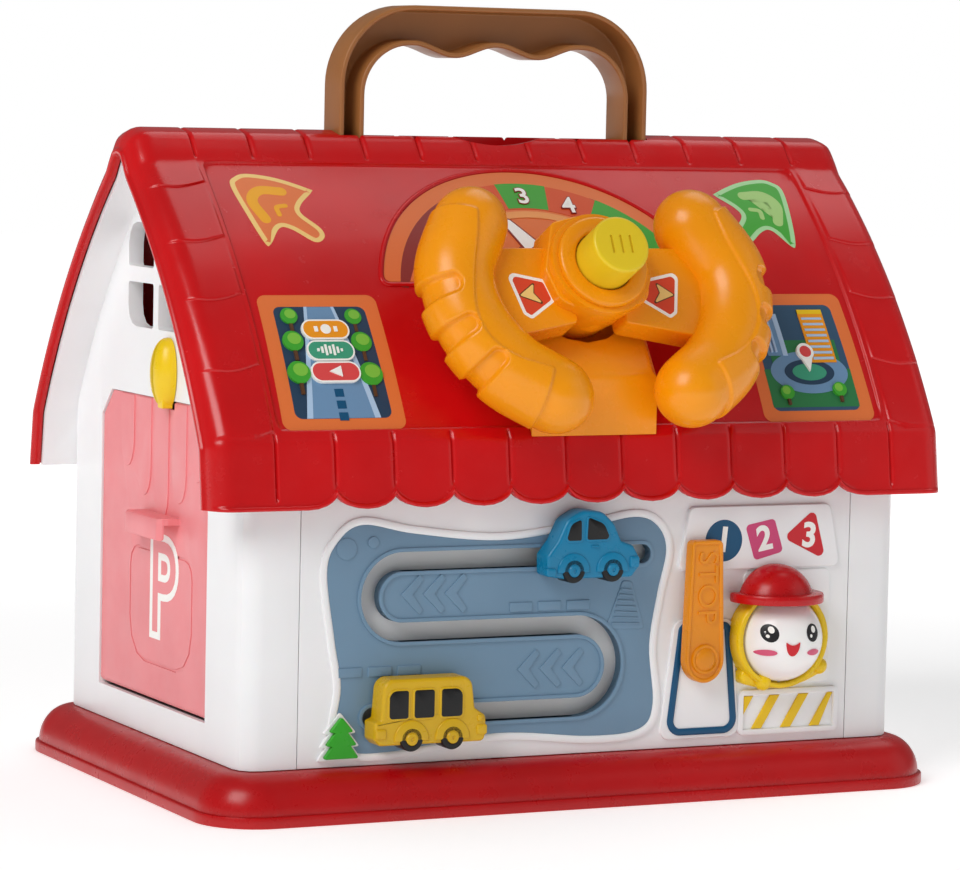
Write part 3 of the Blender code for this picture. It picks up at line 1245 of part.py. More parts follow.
def hazard_pocket():
    """Sunk field of the hazard plate, cut round its slanted stripes."""
    border = HAZARD_BORDER
    low = HAZARD_FOOT + border
    high = HAZARD_TOP - border
    left = HAZARD_LEFT + border
    right = HAZARD_RIGHT - border
    bars = []
    x = left + STRIPE_WIDTH / 2
    while x + STRIPE_PITCH - STRIPE_WIDTH < right - STRIPE_SLANT / 2:
        width = STRIPE_PITCH - STRIPE_WIDTH
        bars.append([(x, low), (x + width, low), (x + width + STRIPE_SLANT / 2, high), (x + STRIPE_SLANT / 2, high)])
        x += STRIPE_PITCH
    return gather([prism(bar, "y", FRONT - PLATE_PROUD / 2, FRONT - OVERRUN) for bar in bars])


def build_back_panel():
    half = SEAM_OFFSET - SEAM_GAP
    panel = piece("back_panel", prism(rectangle(-half, half, BASE_HEIGHT + GAP, ROOF_BREAK_HEIGHT + OVERRUN), "y",
                                      -FRONT - WALL_THICKNESS, -FRONT), WHITE, 0.35)
    keep_inside(panel, roof_interior())


ROAD_BACK = FRONT - ROAD_PROUD + ROAD_THICKNESS + ROAD_FLANGE_THICKNESS
ROAD_FACE = FRONT - ROAD_PROUD
LIP_FACE = ROAD_FACE - SLOT_LIP_HEIGHT
CAR_BACK = LIP_FACE - CAR_STANDOFF
CAR_FACE = CAR_BACK - CAR_THICKNESS


def build_road():
    inner = FRONT + WALL_THICKNESS
    road = piece("road_panel", prism(road_outline(), "y", ROAD_FACE, ROAD_BACK), SLATE, 0.45)
    lip_top = BASE_HEIGHT + BASE_LIP_HEIGHT + GAP
    flange = prism(outset(road_outline(), ROAD_FLANGE_WIDTH), "y", inner + GAP, ROAD_BACK)
    above_lip = block(-SEAM_OFFSET, SEAM_OFFSET, inner - OVERRUN, ROAD_BACK + OVERRUN, lip_top, ROOF_BREAK_HEIGHT)
    add(road, boolean(flange, above_lip, "INTERSECT"))
    add(road, prism(stroke(slot_path(), SLOT_HALF + SLOT_LIP_WIDTH), "y", LIP_FACE, FRONT + ROAD_THICKNESS / 2))
    cut(road, prism(stroke(slot_path(), SLOT_HALF), "y", LIP_FACE - OVERRUN, ROAD_BACK + OVERRUN))
    near = ROAD_BACK + GAP
    margin = TRACK_MARGIN
    left = -SLOT_LEFT_TURN - (SLOT_TOP - SLOT_MIDDLE) / 2 - margin
    right = SLOT_TOP_END + margin
    low = SLOT_FOOT - margin
    high = SLOT_TOP + margin
    track = piece("track_floor", block(left - TRACK_WALL, right + TRACK_WALL, near, near + TRACK_DEPTH + TRACK_WALL,
                                       low - TRACK_WALL, high + TRACK_WALL), WHITE, 0.5)
    cut(track, block(left, right, near - OVERRUN, near + TRACK_DEPTH, low, high))


def car_solid(outline, wheels, windows, centre_x, centre_z):
    """Car body in relief: rounded slab, raised wheels, sunk windows."""
    front = outset(outline, -CAR_EDGE)
    loops = [[(x, y, z) for x, z in points] for points, y in
             ((outline, CAR_BACK), (outline, CAR_FACE + CAR_EDGE), (front, CAR_FACE))]
    bm = loft(loops)
    bm.transform(Matrix.Translation((centre_x, 0, centre_z)))
    raised = []
    for x, z, radius, start, proud in wheels:
        raised.append(rod((centre_x + x, CAR_BACK - start, centre_z + z), (0, -1, 0), radius,
                          CAR_THICKNESS + proud - start, ROUND_SIDES))
    sunk = [prism([(centre_x + x, centre_z + z) for x, z in window], "y", CAR_FACE - OVERRUN,
                  CAR_FACE + WINDOW_RECESS) for window in windows]
    return bm, raised, sunk


def wheel_pair(rear_x, front_x, z):
    """Two wheels, each a rim disc and a hub disc that stands a little higher."""
    wheels = []
    for x in (rear_x, front_x):
        wheels.append((x, z, WHEEL_RADIUS, CAR_EDGE, WHEEL_PROUD))
        wheels.append((x, z, WHEEL_RADIUS / 2, CAR_THICKNESS / 2, WHEEL_PROUD * 2))
    return wheels


def peg_bore(x, z):
    depth = PEG_DEPTH_IN_CAR + RUNNING_GAP
    return rod((x, CAR_BACK + OVERRUN, z), (0, -1, 0), PEG_RADIUS + RUNNING_GAP, OVERRUN + depth, ROUND_SIDES)


def build_slider(name, x, z):
    """Peg and retainer disc that ride in the slot and carry a car."""
    back = ROAD_BACK + GAP + RETAINER_THICKNESS
    profile = [(RETAINER_RADIUS, 0), (RETAINER_RADIUS, RETAINER_THICKNESS), (PEG_RADIUS, RETAINER_THICKNESS),
               (PEG_RADIUS, back - CAR_BACK + PEG_DEPTH_IN_CAR)]
    frame = Matrix.Translation((x, back, z)) @ Matrix.Rotation(math.radians(90), 4, "X")
    slider = piece(name, turned(profile, ROUND_SIDES, frame), WHITE, 0.5)
    pivot(slider, (x, back, z))


def build_blue_car():
    half = BLUE_CAR_LENGTH / 2
    rise = BLUE_CAR_RISE
    drop = BLUE_CAR_DROP
    shares = ((-0.96, -0.75), (-0.25, -1.0), (0.75, -1.0), (0.98, -0.6), (1.0, 0.10), (0.86, 0.42),
              (0.62, 0.60), (0.42, 0.86), (0.08, 1.0), (-0.30, 0.98), (-0.60, 0.78), (-0.78, 0.40), (-1.0, 0.10))
    outline = [(u * half, v * (rise if v > 0 else drop)) for u, v in shares]
    wheel_z = -drop + WHEEL_RADIUS / 2
    wheels = wheel_pair(-half * 0.28, half * 0.56, wheel_z)
    sill = rise * 0.38
    head = rise * 0.84
    windows = [[(-half * 0.48, sill), (-half * 0.12, sill), (-half * 0.12, head), (-half * 0.34, head * 0.86)],
               [(half * 0.02, sill), (half * 0.46, sill), (half * 0.32, head * 0.86), (half * 0.02, head)]]
    bm, raised, sunk = car_solid(outline, wheels, windows, BLUE_CAR_X, SLOT_TOP)
    car = piece("blue_car", bm, BLUE, 0.35)
    add(car, *raised)
    cut(car, gather(sunk), peg_bore(BLUE_CAR_X, SLOT_TOP))
    pivot(car, (BLUE_CAR_X, CAR_BACK, SLOT_TOP))
    build_slider("blue_car_slider", BLUE_CAR_X, SLOT_TOP)


def build_bus():
    half = BUS_LENGTH / 2
    rise = BUS_RISE
    drop = BUS_DROP
    corner = WHEEL_RADIUS / 2
    outline = rounded([(-half, -drop), (half, -drop), (half, 0), (half * 0.78, corner), (half * 0.66, rise),
                       (-half * 0.92, rise), (-half, 0)],
                      [corner, corner, corner / 2, corner / 2, corner * 2, corner * 1.5, corner], 2)
    wheel_z = -drop + WHEEL_RADIUS * 0.3
    wheels = wheel_pair(-half * 0.27, half * 0.5, wheel_z)
    windows = []
    width = half * 0.34
    for k in range(3):
        x0 = -half * 0.70 + k * width * 1.32
        windows.append(rounded(rectangle(x0, x0 + width, rise * 0.02, rise * 0.70), width / 8, 2))
    bm, raised, sunk = car_solid(outline, wheels, windows, BUS_X, SLOT_FOOT)
    bus = piece("yellow_bus", bm, YELLOW, 0.35)
    add(bus, *raised)
    cut(bus, gather(sunk), peg_bore(BUS_X, SLOT_FOOT))
    pivot(bus, (BUS_X, CAR_BACK, SLOT_FOOT))
    build_slider("yellow_bus_slider", BUS_X, SLOT_FOOT)


def build_tree():
    face = FRONT - RIM_HEIGHT - GAP * 2
    piece("tree_badge", prism(tree_outline(), "y", face - TREE_THICKNESS, face), GREEN, 0.4)


def lever_outline(border=0):
    foot = LEVER_FOOT_HALF + (LEVER_TIP_HALF - LEVER_FOOT_HALF) / 4 - border
    tip = LEVER_TIP_HALF - border
    bottom = arc((LEVER_X, LEVER_Z), LEVER_REACH / 5 - border, 180, 360, ARC_STEPS * 2, LEVER_REACH / 5 - border)
    bottom = [(LEVER_X + (x - LEVER_X) * foot / (LEVER_REACH / 5 - border), z) for x, z in bottom]
    top = LEVER_Z + LEVER_REACH - border
    head = rounded([(LEVER_X + foot, LEVER_Z), (LEVER_X + tip, top), (LEVER_X - tip, top),
                    (LEVER_X - foot, LEVER_Z)], [0, tip / 4, tip / 4, 0])
    return bottom[:-1] + head[:-1]


def build_lever():
    back = FRONT - LEVER_BACK
    face = back - LEVER_THICKNESS
    lever = piece("stop_lever", prism(lever_outline(), "y", face, back), LEVER_ORANGE, 0.35)
    field = prism(lever_outline(LEVER_BORDER), "y", face - OVERRUN, face + LEVER_FACE_DEPTH)
    cut(lever, field)
    boss = [(LEVER_BOSS_RADIUS, 0), (LEVER_BOSS_RADIUS, LEVER_BOSS_HEIGHT), (LEVER_BOSS_RADIUS * 0.75, LEVER_BOSS_HEIGHT),
            (LEVER_BOSS_RADIUS * 0.5, LEVER_BOSS_HEIGHT * 2)]
    frame = Matrix.Translation((LEVER_X, face + LEVER_FACE_DEPTH, LEVER_Z)) @ Matrix.Rotation(math.radians(90), 4, "X")
    boss = [(LEVER_BOSS_RADIUS, -LEVER_THICKNESS / 4)] + boss
    add(lever, turned(boss, ROUND_SIDES, frame))
    bore = LEVER_THICKNESS * 0.7
    cut(lever, rod((LEVER_X, back + OVERRUN, LEVER_Z), (0, -1, 0), LEVER_PIN_RADIUS + RUNNING_GAP, OVERRUN + bore,
                   ROUND_SIDES))
    pivot(lever, (LEVER_X, back, LEVER_Z))
    head = LEVER_PIN_RADIUS * 2
    inner = FRONT + WALL_THICKNESS + GAP
    profile = [(head, -LEVER_PIN_RADIUS), (head, 0), (LEVER_PIN_RADIUS, 0),
               (LEVER_PIN_RADIUS, inner - back + bore - RUNNING_GAP)]
    frame = Matrix.Translation((LEVER_X, inner, LEVER_Z)) @ Matrix.Rotation(math.radians(90), 4, "X")
    piece("lever_pin", turned(profile, ROUND_SIDES, frame), STEEL, 0.3, 1.0)


# Ring figure

BALL_Y = FRONT - BALL_FORWARD
RING_BACK = FRONT - GAP
RING_FACE = RING_BACK - RING_DEPTH


def ring_outline(grow=0):
    return ring_points((BALL_X, BALL_Z), RING_HALF_WIDTH + grow, ROUND_SIDES + 8, RING_HALF_HEIGHT + grow)


def build_figure():
    ring = piece("figure_ring", prism(ring_outline(), "y", RING_FACE, RING_BACK), YELLOW, 0.35)
    low = BALL_Z - RING_HALF_HEIGHT
    hand_y = RING_BACK - HAND_RADIUS
    left_hand = (BALL_X - RING_HALF_WIDTH * 0.36, hand_y - HAND_RADIUS / 3, low + HAND_RADIUS * 0.55)
    right_hand = (BALL_X + RING_HALF_WIDTH * 0.86, hand_y - HAND_RADIUS / 3, BALL_Z - RING_HALF_HEIGHT * 0.62)
    arm = stroke([(BALL_X - RING_HALF_WIDTH * 0.62, low + HAND_RADIUS * 0.9), (BALL_X, low + HAND_RADIUS * 0.7),
                  (right_hand[0], right_hand[2])], HAND_RADIUS * 0.8, 3)
    add(ring, prism(arm, "y", hand_y - HAND_RADIUS / 2, RING_BACK))
    for hand in (left_hand, right_hand):
        add(ring, ball(hand, HAND_RADIUS, SMALL_SIDES, 6))
    cut(ring, ball((BALL_X, BALL_Y, BALL_Z), BALL_RADIUS + BALL_GAP, ROUND_SIDES + 4, 12))
    reach = RING_HALF_HEIGHT + OVERRUN
    cut(ring, rod((BALL_X, BALL_Y, BALL_Z - reach), (0, 0, 1), AXLE_RADIUS + RUNNING_GAP / 2, reach * 2))
    cut(ring, block(BALL_X - RING_HALF_WIDTH * 2, BALL_X + RING_HALF_WIDTH * 2, RING_BACK, RING_BACK + OVERRUN,
                    low - OVERRUN, BALL_Z + reach))
    for plate, proud in ((lever_plate_outline(), LEVER_PLATE_PROUD), (number_plate_outline(), PLATE_PROUD)):
        cut(ring, prism(outset(plate, GAP), "y", FRONT - proud - GAP, FRONT + OVERRUN))
    face_ball = piece("face_ball", ball((BALL_X, BALL_Y, BALL_Z), BALL_RADIUS, ROUND_SIDES + 4, 12), WHITE, 0.25)
    cut(face_ball, rod((BALL_X, BALL_Y, BALL_Z - reach), (0, 0, 1), AXLE_RADIUS + RUNNING_GAP / 2, reach * 2))
    pivot(face_ball, (BALL_X, BALL_Y, BALL_Z))
    axle_half = RING_HALF_HEIGHT - GAP
    piece("face_axle", rod((BALL_X, BALL_Y, BALL_Z - axle_half), (0, 0, 1), AXLE_RADIUS, axle_half * 2), STEEL, 0.3, 1.0)
    foot = BALL_Z + CAP_FOOT_RISE
    centre_x = BALL_X - BRIM_HALF_WIDTH * 0.1
    dome = ball((centre_x, BALL_Y, foot), 1, ROUND_SIDES + 4, 10, (CAP_HALF_WIDTH, CAP_DEPTH, CAP_RISE))
    cap = piece("figure_cap", dome, RED, 0.3)
    brim = ring_points((centre_x, BALL_Y), BRIM_HALF_WIDTH, ROUND_SIDES + 4, BRIM_REACH)
    add(cap, prism(brim, "z", foot, foot + BRIM_THICKNESS))
    reach = BRIM_HALF_WIDTH * 2
    cut(cap, block(centre_x - reach, centre_x + reach, BALL_Y - reach, BALL_Y + reach, foot - reach, foot))
    cut(cap, block(centre_x - reach, centre_x + reach, FRONT - PLATE_PROUD - GAP, BALL_Y + reach,
                   foot - reach, foot + reach))
    cut(cap, prism(ring_outline(GAP), "y", RING_FACE - GAP, RING_BACK + OVERRUN))
    cut(cap, ball((BALL_X, BALL_Y, BALL_Z), BALL_RADIUS + BALL_GAP, ROUND_SIDES + 4, 12))


# Steering wheel

def grip_stations():
    """Points and radii of a grip's tube, with round ends, in the wheel frame."""
    path = smooth_open([Vector((u, v, -GRIP_BACK)) for u, v in GRIP_PATH], 2)
    first = (path[0] - path[1]).normalized()
    last = (path[-1] - path[-2]).normalized()
    stations = []
    for angle in (82, 55, 28):
        a = math.radians(angle)
        stations.append((path[0] + first * GRIP_RADIUS * math.sin(a), GRIP_RADIUS * math.cos(a)))
    stations += [(point, GRIP_RADIUS) for point in path]
    for angle in (28, 55, 82):
        a = math.radians(angle)
        stations.append((path[-1] + last * GRIP_RADIUS * math.sin(a), GRIP_RADIUS * math.cos(a)))
    return stations, path


def smooth_open(points, steps):
    """Open Catmull-Rom curve through the points, ends included."""
    result = []
    padded = [2 * points[0] - points[1]] + points + [2 * points[-1] - points[-2]]
    for i in range(1, len(padded) - 2):
        p0, p1, p2, p3 = padded[i - 1:i + 3]
        for k in range(steps):
            t = k / steps
            result.append(0.5 * (2 * p1 + (p2 - p0) * t + (2 * p0 - 5 * p1 + 4 * p2 - p3) * t * t
                                 + (3 * p1 - p0 - 3 * p2 + p3) * t ** 3))
    result.append(points[-1])
    return result


def grip_pocket(path, share, mirror):
    """Crescent that sinks one finger pocket round the outer side of a grip."""
    spot = share * (len(path) - 1)
    index = min(int(spot), len(path) - 2)
    centre = path[index].lerp(path[index + 1], spot - index)
    along = (path[index + 1] - path[index]).normalized()
    outward = Vector((-along.y, along.x, 0))
    if outward.x < 0:
        outward = -outward
    floor = GRIP_RADIUS - GRIP_POCKET_DEPTH
    rim = GRIP_RADIUS + GRIP_POCKET_DEPTH * 2
    crescent = arc((0, 0), rim, -75, 80, ARC_STEPS * 2) + arc((0, 0), floor, 80, -75, ARC_STEPS * 2)
    bm = prism(crescent, "z", -GRIP_POCKET_WIDTH / 2, GRIP_POCKET_WIDTH / 2)
    up = Vector((0, 0, 1))
    turn = Matrix((outward, up, outward.cross(up))).transposed().to_4x4()
    bm.transform(Matrix.Translation(centre) @ turn)
    if mirror:
        bm.transform(Matrix.Diagonal((-1, 1, 1, 1)))
        bmesh.ops.reverse_faces(bm, faces=bm.faces)
    bm.transform(WHEEL_FRAME)
    return bm


def build_wheel():
    bezel_back = BEZEL_THICKNESS + GAP
    profile = [(HUB_FOOT_RADIUS * 0.8, -HUB_LENGTH), (HUB_FOOT_RADIUS, -HUB_LENGTH + HUB_FOOT_RADIUS * 0.2),
               (HUB_RADIUS, -SPOKE_FRONT), (HUB_RADIUS, -bezel_back)]
    wheel = piece("steering_wheel", wheel_turned(profile, ROUND_SIDES + 8), ORANGE, 0.35)
    stations, path = grip_stations()
    reach = GRIP_PATH[1][0] + GRIP_RADIUS + OVERRUN
    behind = rectangle(-reach, reach, -reach, reach)
    for side in (1, -1):
        grip = tube_along([(side * p.x, p.y, p.z) for p, _ in stations], [r for _, r in stations])
        grip.transform(WHEEL_FRAME)
        add(wheel, boolean(grip, wheel_prism(behind, GRIP_FLAT + GRIP_RADIUS, GRIP_FLAT), "DIFFERENCE"))
        half = HUB_RADIUS / 2
        spoke = [(half, -HUB_RADIUS), (GRIP_PATH[1][0], -HUB_RADIUS * 1.45), (GRIP_PATH[1][0], HUB_RADIUS * 0.5),
                 (half, HUB_RADIUS * 0.5)]
        spoke = [(side * u, v) for u, v in spoke]
        add(wheel, wheel_prism(spoke, SPOKE_FRONT + SPOKE_THICKNESS, SPOKE_FRONT))
    collar_shares = ((-1.3, 0.05), (-0.8, 0.90), (-0.25, 1.03), (0.25, 1.03), (0.8, 0.90), (1.3, 0.05), (1.05, -0.9),
                     (0, -1.0), (-1.05, -0.9))
    collar = [(u * HUB_RADIUS, v * HUB_RADIUS) for u, v in collar_shares]
    add(wheel, wheel_prism(collar, SPOKE_FRONT + SPOKE_THICKNESS * 0.9, SPOKE_FRONT / 2))
    pockets = [grip_pocket(path, share, mirror) for share in GRIP_POCKET_SHARES for mirror in (False, True)]
    cut(wheel, gather(pockets))
    well = bezel_back + BUTTON_FLANGE_THICKNESS + BUTTON_TRAVEL + GAP * 2
    chamber = well + HORN_CHAMBER_DEPTH
    cut(wheel, wheel_turned([(SHAFT_RADIUS + GAP / 2, -HUB_LENGTH - OVERRUN), (SHAFT_RADIUS + GAP / 2, -SHAFT_FRONT + GAP),
                             (0, -SHAFT_FRONT + GAP)]))
    cut(wheel, wheel_turned([(0, -chamber), (HORN_CHAMBER_RADIUS, -chamber), (HORN_CHAMBER_RADIUS, -well),
                             (BUTTON_WELL_RADIUS, -well), (BUTTON_WELL_RADIUS, OVERRUN)], ROUND_SIDES + 8))
    pivot_wheel(wheel)
    bezel = piece("horn_bezel", wheel_turned([(HUB_RADIUS, -BEZEL_THICKNESS), (HUB_RADIUS, -CAR_EDGE),
                                              (HUB_RADIUS - CAR_EDGE, 0)], ROUND_SIDES + 8), ORANGE, 0.35)
    cut(bezel, wheel_turned([(BEZEL_BORE, -OVERRUN), (BEZEL_BORE, OVERRUN)], ROUND_SIDES + 8))
    pivot_wheel(bezel)
    flange = BEZEL_THICKNESS + GAP * 2
    edge = CAR_EDGE * 1.5
    profile = [(BUTTON_FLANGE_RADIUS, -flange - BUTTON_FLANGE_THICKNESS), (BUTTON_FLANGE_RADIUS, -flange),
               (BUTTON_RADIUS, -flange), (BUTTON_RADIUS, BUTTON_RISE - edge),
               (BUTTON_RADIUS - edge * 0.3, BUTTON_RISE - edge * 0.3), (BUTTON_RADIUS - edge, BUTTON_RISE)]
    button = piece("horn_button", wheel_turned(profile, ROUND_SIDES + 8), BUTTON_YELLOW, 0.35)
    slots = []
    for k in (-1, 0, 1):
        x = k * BUTTON_RADIUS * 0.3
        slot = rectangle(x - GROOVE_WIDTH / 3, x + GROOVE_WIDTH / 3, -BUTTON_RADIUS * 0.28, BUTTON_RADIUS * 0.28)
        slots.append(wheel_prism(slot, GROOVE_DEPTH - BUTTON_RISE, -OVERRUN - BUTTON_RISE))
    cut(button, gather(slots))
    pivot_wheel(button)
    build_horn_switch(chamber - GAP, well)
    shaft = piece("wheel_shaft", wheel_rod(SHAFT_RADIUS, SHAFT_BACK, SHAFT_FRONT), WHITE, 0.5)
    pivot_wheel(shaft)
    build_retainer()


def build_horn_switch(back, front):
    """Push switch in the hub, with its plunger just past the button's travel."""
    shoulder = front + BUTTON_TRAVEL
    profile = [(HORN_SWITCH_RADIUS, -back), (HORN_SWITCH_RADIUS, -shoulder), (HORN_PLUNGER_RADIUS, -shoulder),
               (HORN_PLUNGER_RADIUS, -front)]
    switch = piece("horn_switch", wheel_turned(profile), DARK, 0.5)
    pivot_wheel(switch)


def build_retainer():
    """Washer on the shaft's end, inside the roof."""
    back = RETAINER_FRONT + RETAINER_WASHER_THICKNESS
    washer = piece("shaft_retainer", wheel_rod(RETAINER_WASHER_RADIUS, back, RETAINER_FRONT), STEEL, 0.4, 1.0)
    cut(washer, wheel_rod(SHAFT_RADIUS + GAP / 2, back + OVERRUN, RETAINER_FRONT - OVERRUN))
    pivot_wheel(washer)


def pivot_wheel(item):
    """Put an item's origin and turn on the wheel's axis."""
    item.data.transform(WHEEL_FRAME.inverted())
    item.matrix_world = WHEEL_FRAME


def pedestal_outline(drop):
    """(y, z) section: under side on the roof, top parallel to it and dropped."""
    step = PANEL_FOOT_RUN - GAP
    runs = [PEDESTAL_TOP_RUN + (step - PEDESTAL_TOP_RUN) * k / ARC_STEPS for k in range(ARC_STEPS + 1)]
    under = [slope_spot(run, GAP - PANEL_DEPTH) for run in runs]
    under += [slope_spot(step, GAP), slope_spot(BREAK_RUN - GAP, GAP)]
    front_y = under[-1][0]
    crown = PEDESTAL_FRONT_HEIGHT - drop
    upper_run = slope_run(ROOF_BREAK_HALF - PEDESTAL_LIFT)
    upper = [slope_spot(PEDESTAL_TOP_RUN + (upper_run - PEDESTAL_TOP_RUN) * k / 3, PEDESTAL_LIFT - drop)
             for k in range(3)]
    return under + [(front_y, crown)] + upper[::-1]


def build_pedestal():
    """Column foot on the front slope, hollowed to cradle the hub."""
    stations = []
    for angle in (0, 30, 60, 90):
        a = math.radians(angle)
        stations.append((PEDESTAL_HALF - PEDESTAL_ROUND * (1 - math.cos(a)), PEDESTAL_ROUND * (1 - math.sin(a))))
    stations = [(-x, drop) for x, drop in stations] + stations[::-1]
    solid = loft([[(x, y, z) for y, z in pedestal_outline(drop)] for x, drop in stations])
    pedestal = piece("wheel_pedestal", solid, ORANGE, 0.35)
    cut(pedestal, wheel_rod(CRADLE_RADIUS, HUB_LENGTH + GAP * 2, -OVERRUN))
    cut(pedestal, wheel_rod(SHAFT_RADIUS + RUNNING_GAP, SHAFT_BACK, SHAFT_FRONT))


# Carry handle

def handle_outline():
    """Outer arch, then back along the scalloped grip and the legs' inner sides."""
    foot = RIDGE_HEIGHT - HANDLE_FOOT_DROP
    half = HANDLE_HALF
    inner = half - HANDLE_LEG
    radius = HANDLE_OUTER_RADIUS
    small = HANDLE_INNER_RADIUS
    grip = HANDLE_TOP - HANDLE_GRIP_DROP
    outer = [(half, foot)] + arc((half - radius, HANDLE_TOP - radius), radius, 0, 90, 6)
    outer += arc((-half + radius, HANDLE_TOP - radius), radius, 90, 180, 6) + [(-half, foot)]
    crest = grip + HANDLE_WAVE
    inside = [(-inner, foot)] + arc((-inner + small, crest - small), small, 180, 90, 5)
    steps = 16
    span = inner - small
    for k in range(1, steps):
        x = -span + 2 * span * k / steps
        inside.append((x, grip + HANDLE_WAVE * math.cos(2 * math.pi * x / HANDLE_WAVE_PITCH)))
    inside += arc((inner - small, crest - small), small, 90, 0, 5) + [(inner, foot)]
    return outer + inside


GUIDE_FLOOR = HANDLE_TOP - HANDLE_GRIP_DROP - HANDLE_TRAVEL - HANDLE_WAVE - GAP * 4
GUIDE_FOOT = GUIDE_FLOOR - WELL_THICKNESS


def build_handle():
    half_y = HANDLE_DEPTH / 2
    handle = piece("carry_handle", prism(handle_outline(), "y", -half_y, half_y), BROWN, 0.4)
    channel = outset(handle_outline(), -HANDLE_WALL)
    cut(handle, prism(channel, "y", -half_y - OVERRUN, half_y - HANDLE_WALL))
    foot = RIDGE_HEIGHT - HANDLE_FOOT_DROP
    for side in (-1, 1):
        outer = side * (HANDLE_HALF + HANDLE_FOOT_FLARE)
        inner = side * (HANDLE_HALF - HANDLE_LEG - HANDLE_FOOT_FLARE)
        add(handle, block(min(outer, inner), max(outer, inner), -half_y, half_y, foot, GUIDE_FOOT - GAP * 2))
    pivot(handle, (0, 0, RIDGE_HEIGHT))


def build_handle_guide():
    """Well under the ridge that guides the legs and takes the lowered grip."""
    half_x = HANDLE_HALF + WELL_CLEARANCE
    half_y = HANDLE_DEPTH / 2 + WELL_CLEARANCE
    guide = piece("handle_guide", block(-half_x - WELL_THICKNESS, half_x + WELL_THICKNESS, -half_y - WELL_THICKNESS,
                                        half_y + WELL_THICKNESS, GUIDE_FOOT, RIDGE_HEIGHT), RED, 0.4)
    keep_inside(guide, roof_interior())
    cut(guide, block(-half_x, half_x, -half_y, half_y, GUIDE_FLOOR, RIDGE_HEIGHT + OVERRUN))
    drop = HANDLE_TOP - HANDLE_GRIP_DROP + HANDLE_WAVE - HANDLE_TRAVEL - GUIDE_FLOOR
    bend = math.sqrt(HANDLE_INNER_RADIUS ** 2 - (HANDLE_INNER_RADIUS - drop) ** 2)
    inner = HANDLE_HALF - HANDLE_LEG - HANDLE_INNER_RADIUS + bend - WELL_CLEARANCE
    for side in (-1, 1):
        near = side * inner
        far = side * half_x
        cut(guide, block(min(near, far), max(near, far), -half_y, half_y, GUIDE_FOOT - OVERRUN,
                         GUIDE_FLOOR + OVERRUN))


def main():
    for item in list(bpy.data.objects):
        bpy.data.objects.remove(item, do_unlink=True)
    build_base()
    build_screws()
    build_electronics()
    left = build_side_wall("left_wall", -1)
    fit_door_to_wall(left)
    build_side_wall("right_wall", 1)
    build_front_panel()
    build_back_panel()
    build_roof()
    build_handle()
    build_handle_guide()
    build_garage_door()
    build_latch()
    build_garage_bay()
    build_road()
    build_blue_car()
    build_bus()
    build_tree()
    build_lever()
    build_figure()
    build_pedestal()
    build_wheel()
    for item in bpy.data.objects:
        item.data.shade_smooth()
        item.data.set_sharp_from_angle(angle=math.radians(SHARP_DEGREES))


main()
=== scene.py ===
# %% [markdown]
# A toy activity house, dressed for its portrait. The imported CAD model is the
# frame: it fixes every size and every moving body. This lesson gives the
# frame moulded skins, printed labels and the soft light of a studio.
# Everything is in metres, the front faces -Y, and Z is up.

# %% Load the frame
import math

import bmesh
import bpy
import numpy as np
from mathutils import Matrix, Vector


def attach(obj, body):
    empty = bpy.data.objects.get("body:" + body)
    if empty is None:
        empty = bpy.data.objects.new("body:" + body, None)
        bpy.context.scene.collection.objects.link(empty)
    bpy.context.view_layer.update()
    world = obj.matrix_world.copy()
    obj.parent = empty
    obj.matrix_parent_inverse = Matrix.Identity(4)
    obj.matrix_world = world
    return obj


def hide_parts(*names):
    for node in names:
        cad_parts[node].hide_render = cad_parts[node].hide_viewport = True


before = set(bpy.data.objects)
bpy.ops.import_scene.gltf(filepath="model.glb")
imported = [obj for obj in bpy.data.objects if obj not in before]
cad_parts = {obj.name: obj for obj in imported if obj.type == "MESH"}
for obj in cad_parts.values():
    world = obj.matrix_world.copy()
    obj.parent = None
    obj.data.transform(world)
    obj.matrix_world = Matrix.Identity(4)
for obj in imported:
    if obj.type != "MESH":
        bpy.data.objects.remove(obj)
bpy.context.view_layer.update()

# %% [markdown]
# The camera stands where the photographer stood: left of the middle, a
# little above the roof's edge, far away with a long lens. Its place was
# solved from corners of the house, and the small roll is the photo's own.

# %% Camera
VIEW_AZIMUTH = -26.067
VIEW_ELEVATION = 4.750
VIEW_ROLL = 1.226
VIEW_DISTANCE = 1.7428
VIEW_TARGET = (-0.0002, 0.0001, 0.1428)
FOCAL_PIXELS = 4064.25
IMAGE_WIDTH = 960
SENSOR_WIDTH = 36.0

azimuth, elevation, roll = (math.radians(a) for a in (VIEW_AZIMUTH, VIEW_ELEVATION, VIEW_ROLL))
right = Vector((math.cos(azimuth), math.sin(azimuth), 0))
back = Vector((math.sin(azimuth) * math.cos(elevation), -math.cos(azimuth) * math.cos(elevation),
               math.sin(elevation)))
up = back.cross(right)
rolled_right = math.cos(roll) * right + math.sin(roll) * up
rolled_up = -math.sin(roll) * right + math.cos(roll) * up
camera = bpy.data.objects.new("camera", bpy.data.cameras.new("camera"))
camera.matrix_world = (Matrix.Translation(Vector(VIEW_TARGET) + back * VIEW_DISTANCE)
                       @ Matrix((rolled_right, rolled_up, back)).transposed().to_4x4())
camera.data.sensor_width = SENSOR_WIDTH
camera.data.lens = FOCAL_PIXELS / IMAGE_WIDTH * SENSOR_WIDTH
camera.data.clip_end = 50
bpy.context.scene.collection.objects.link(camera)
bpy.context.scene.camera = camera
print("lens:", round(camera.data.lens, 1), "mm")

# %% [markdown]
# Colours are written as the sRGB values that a designer would pick, and one
# function turns them to the linear light that shaders count in.


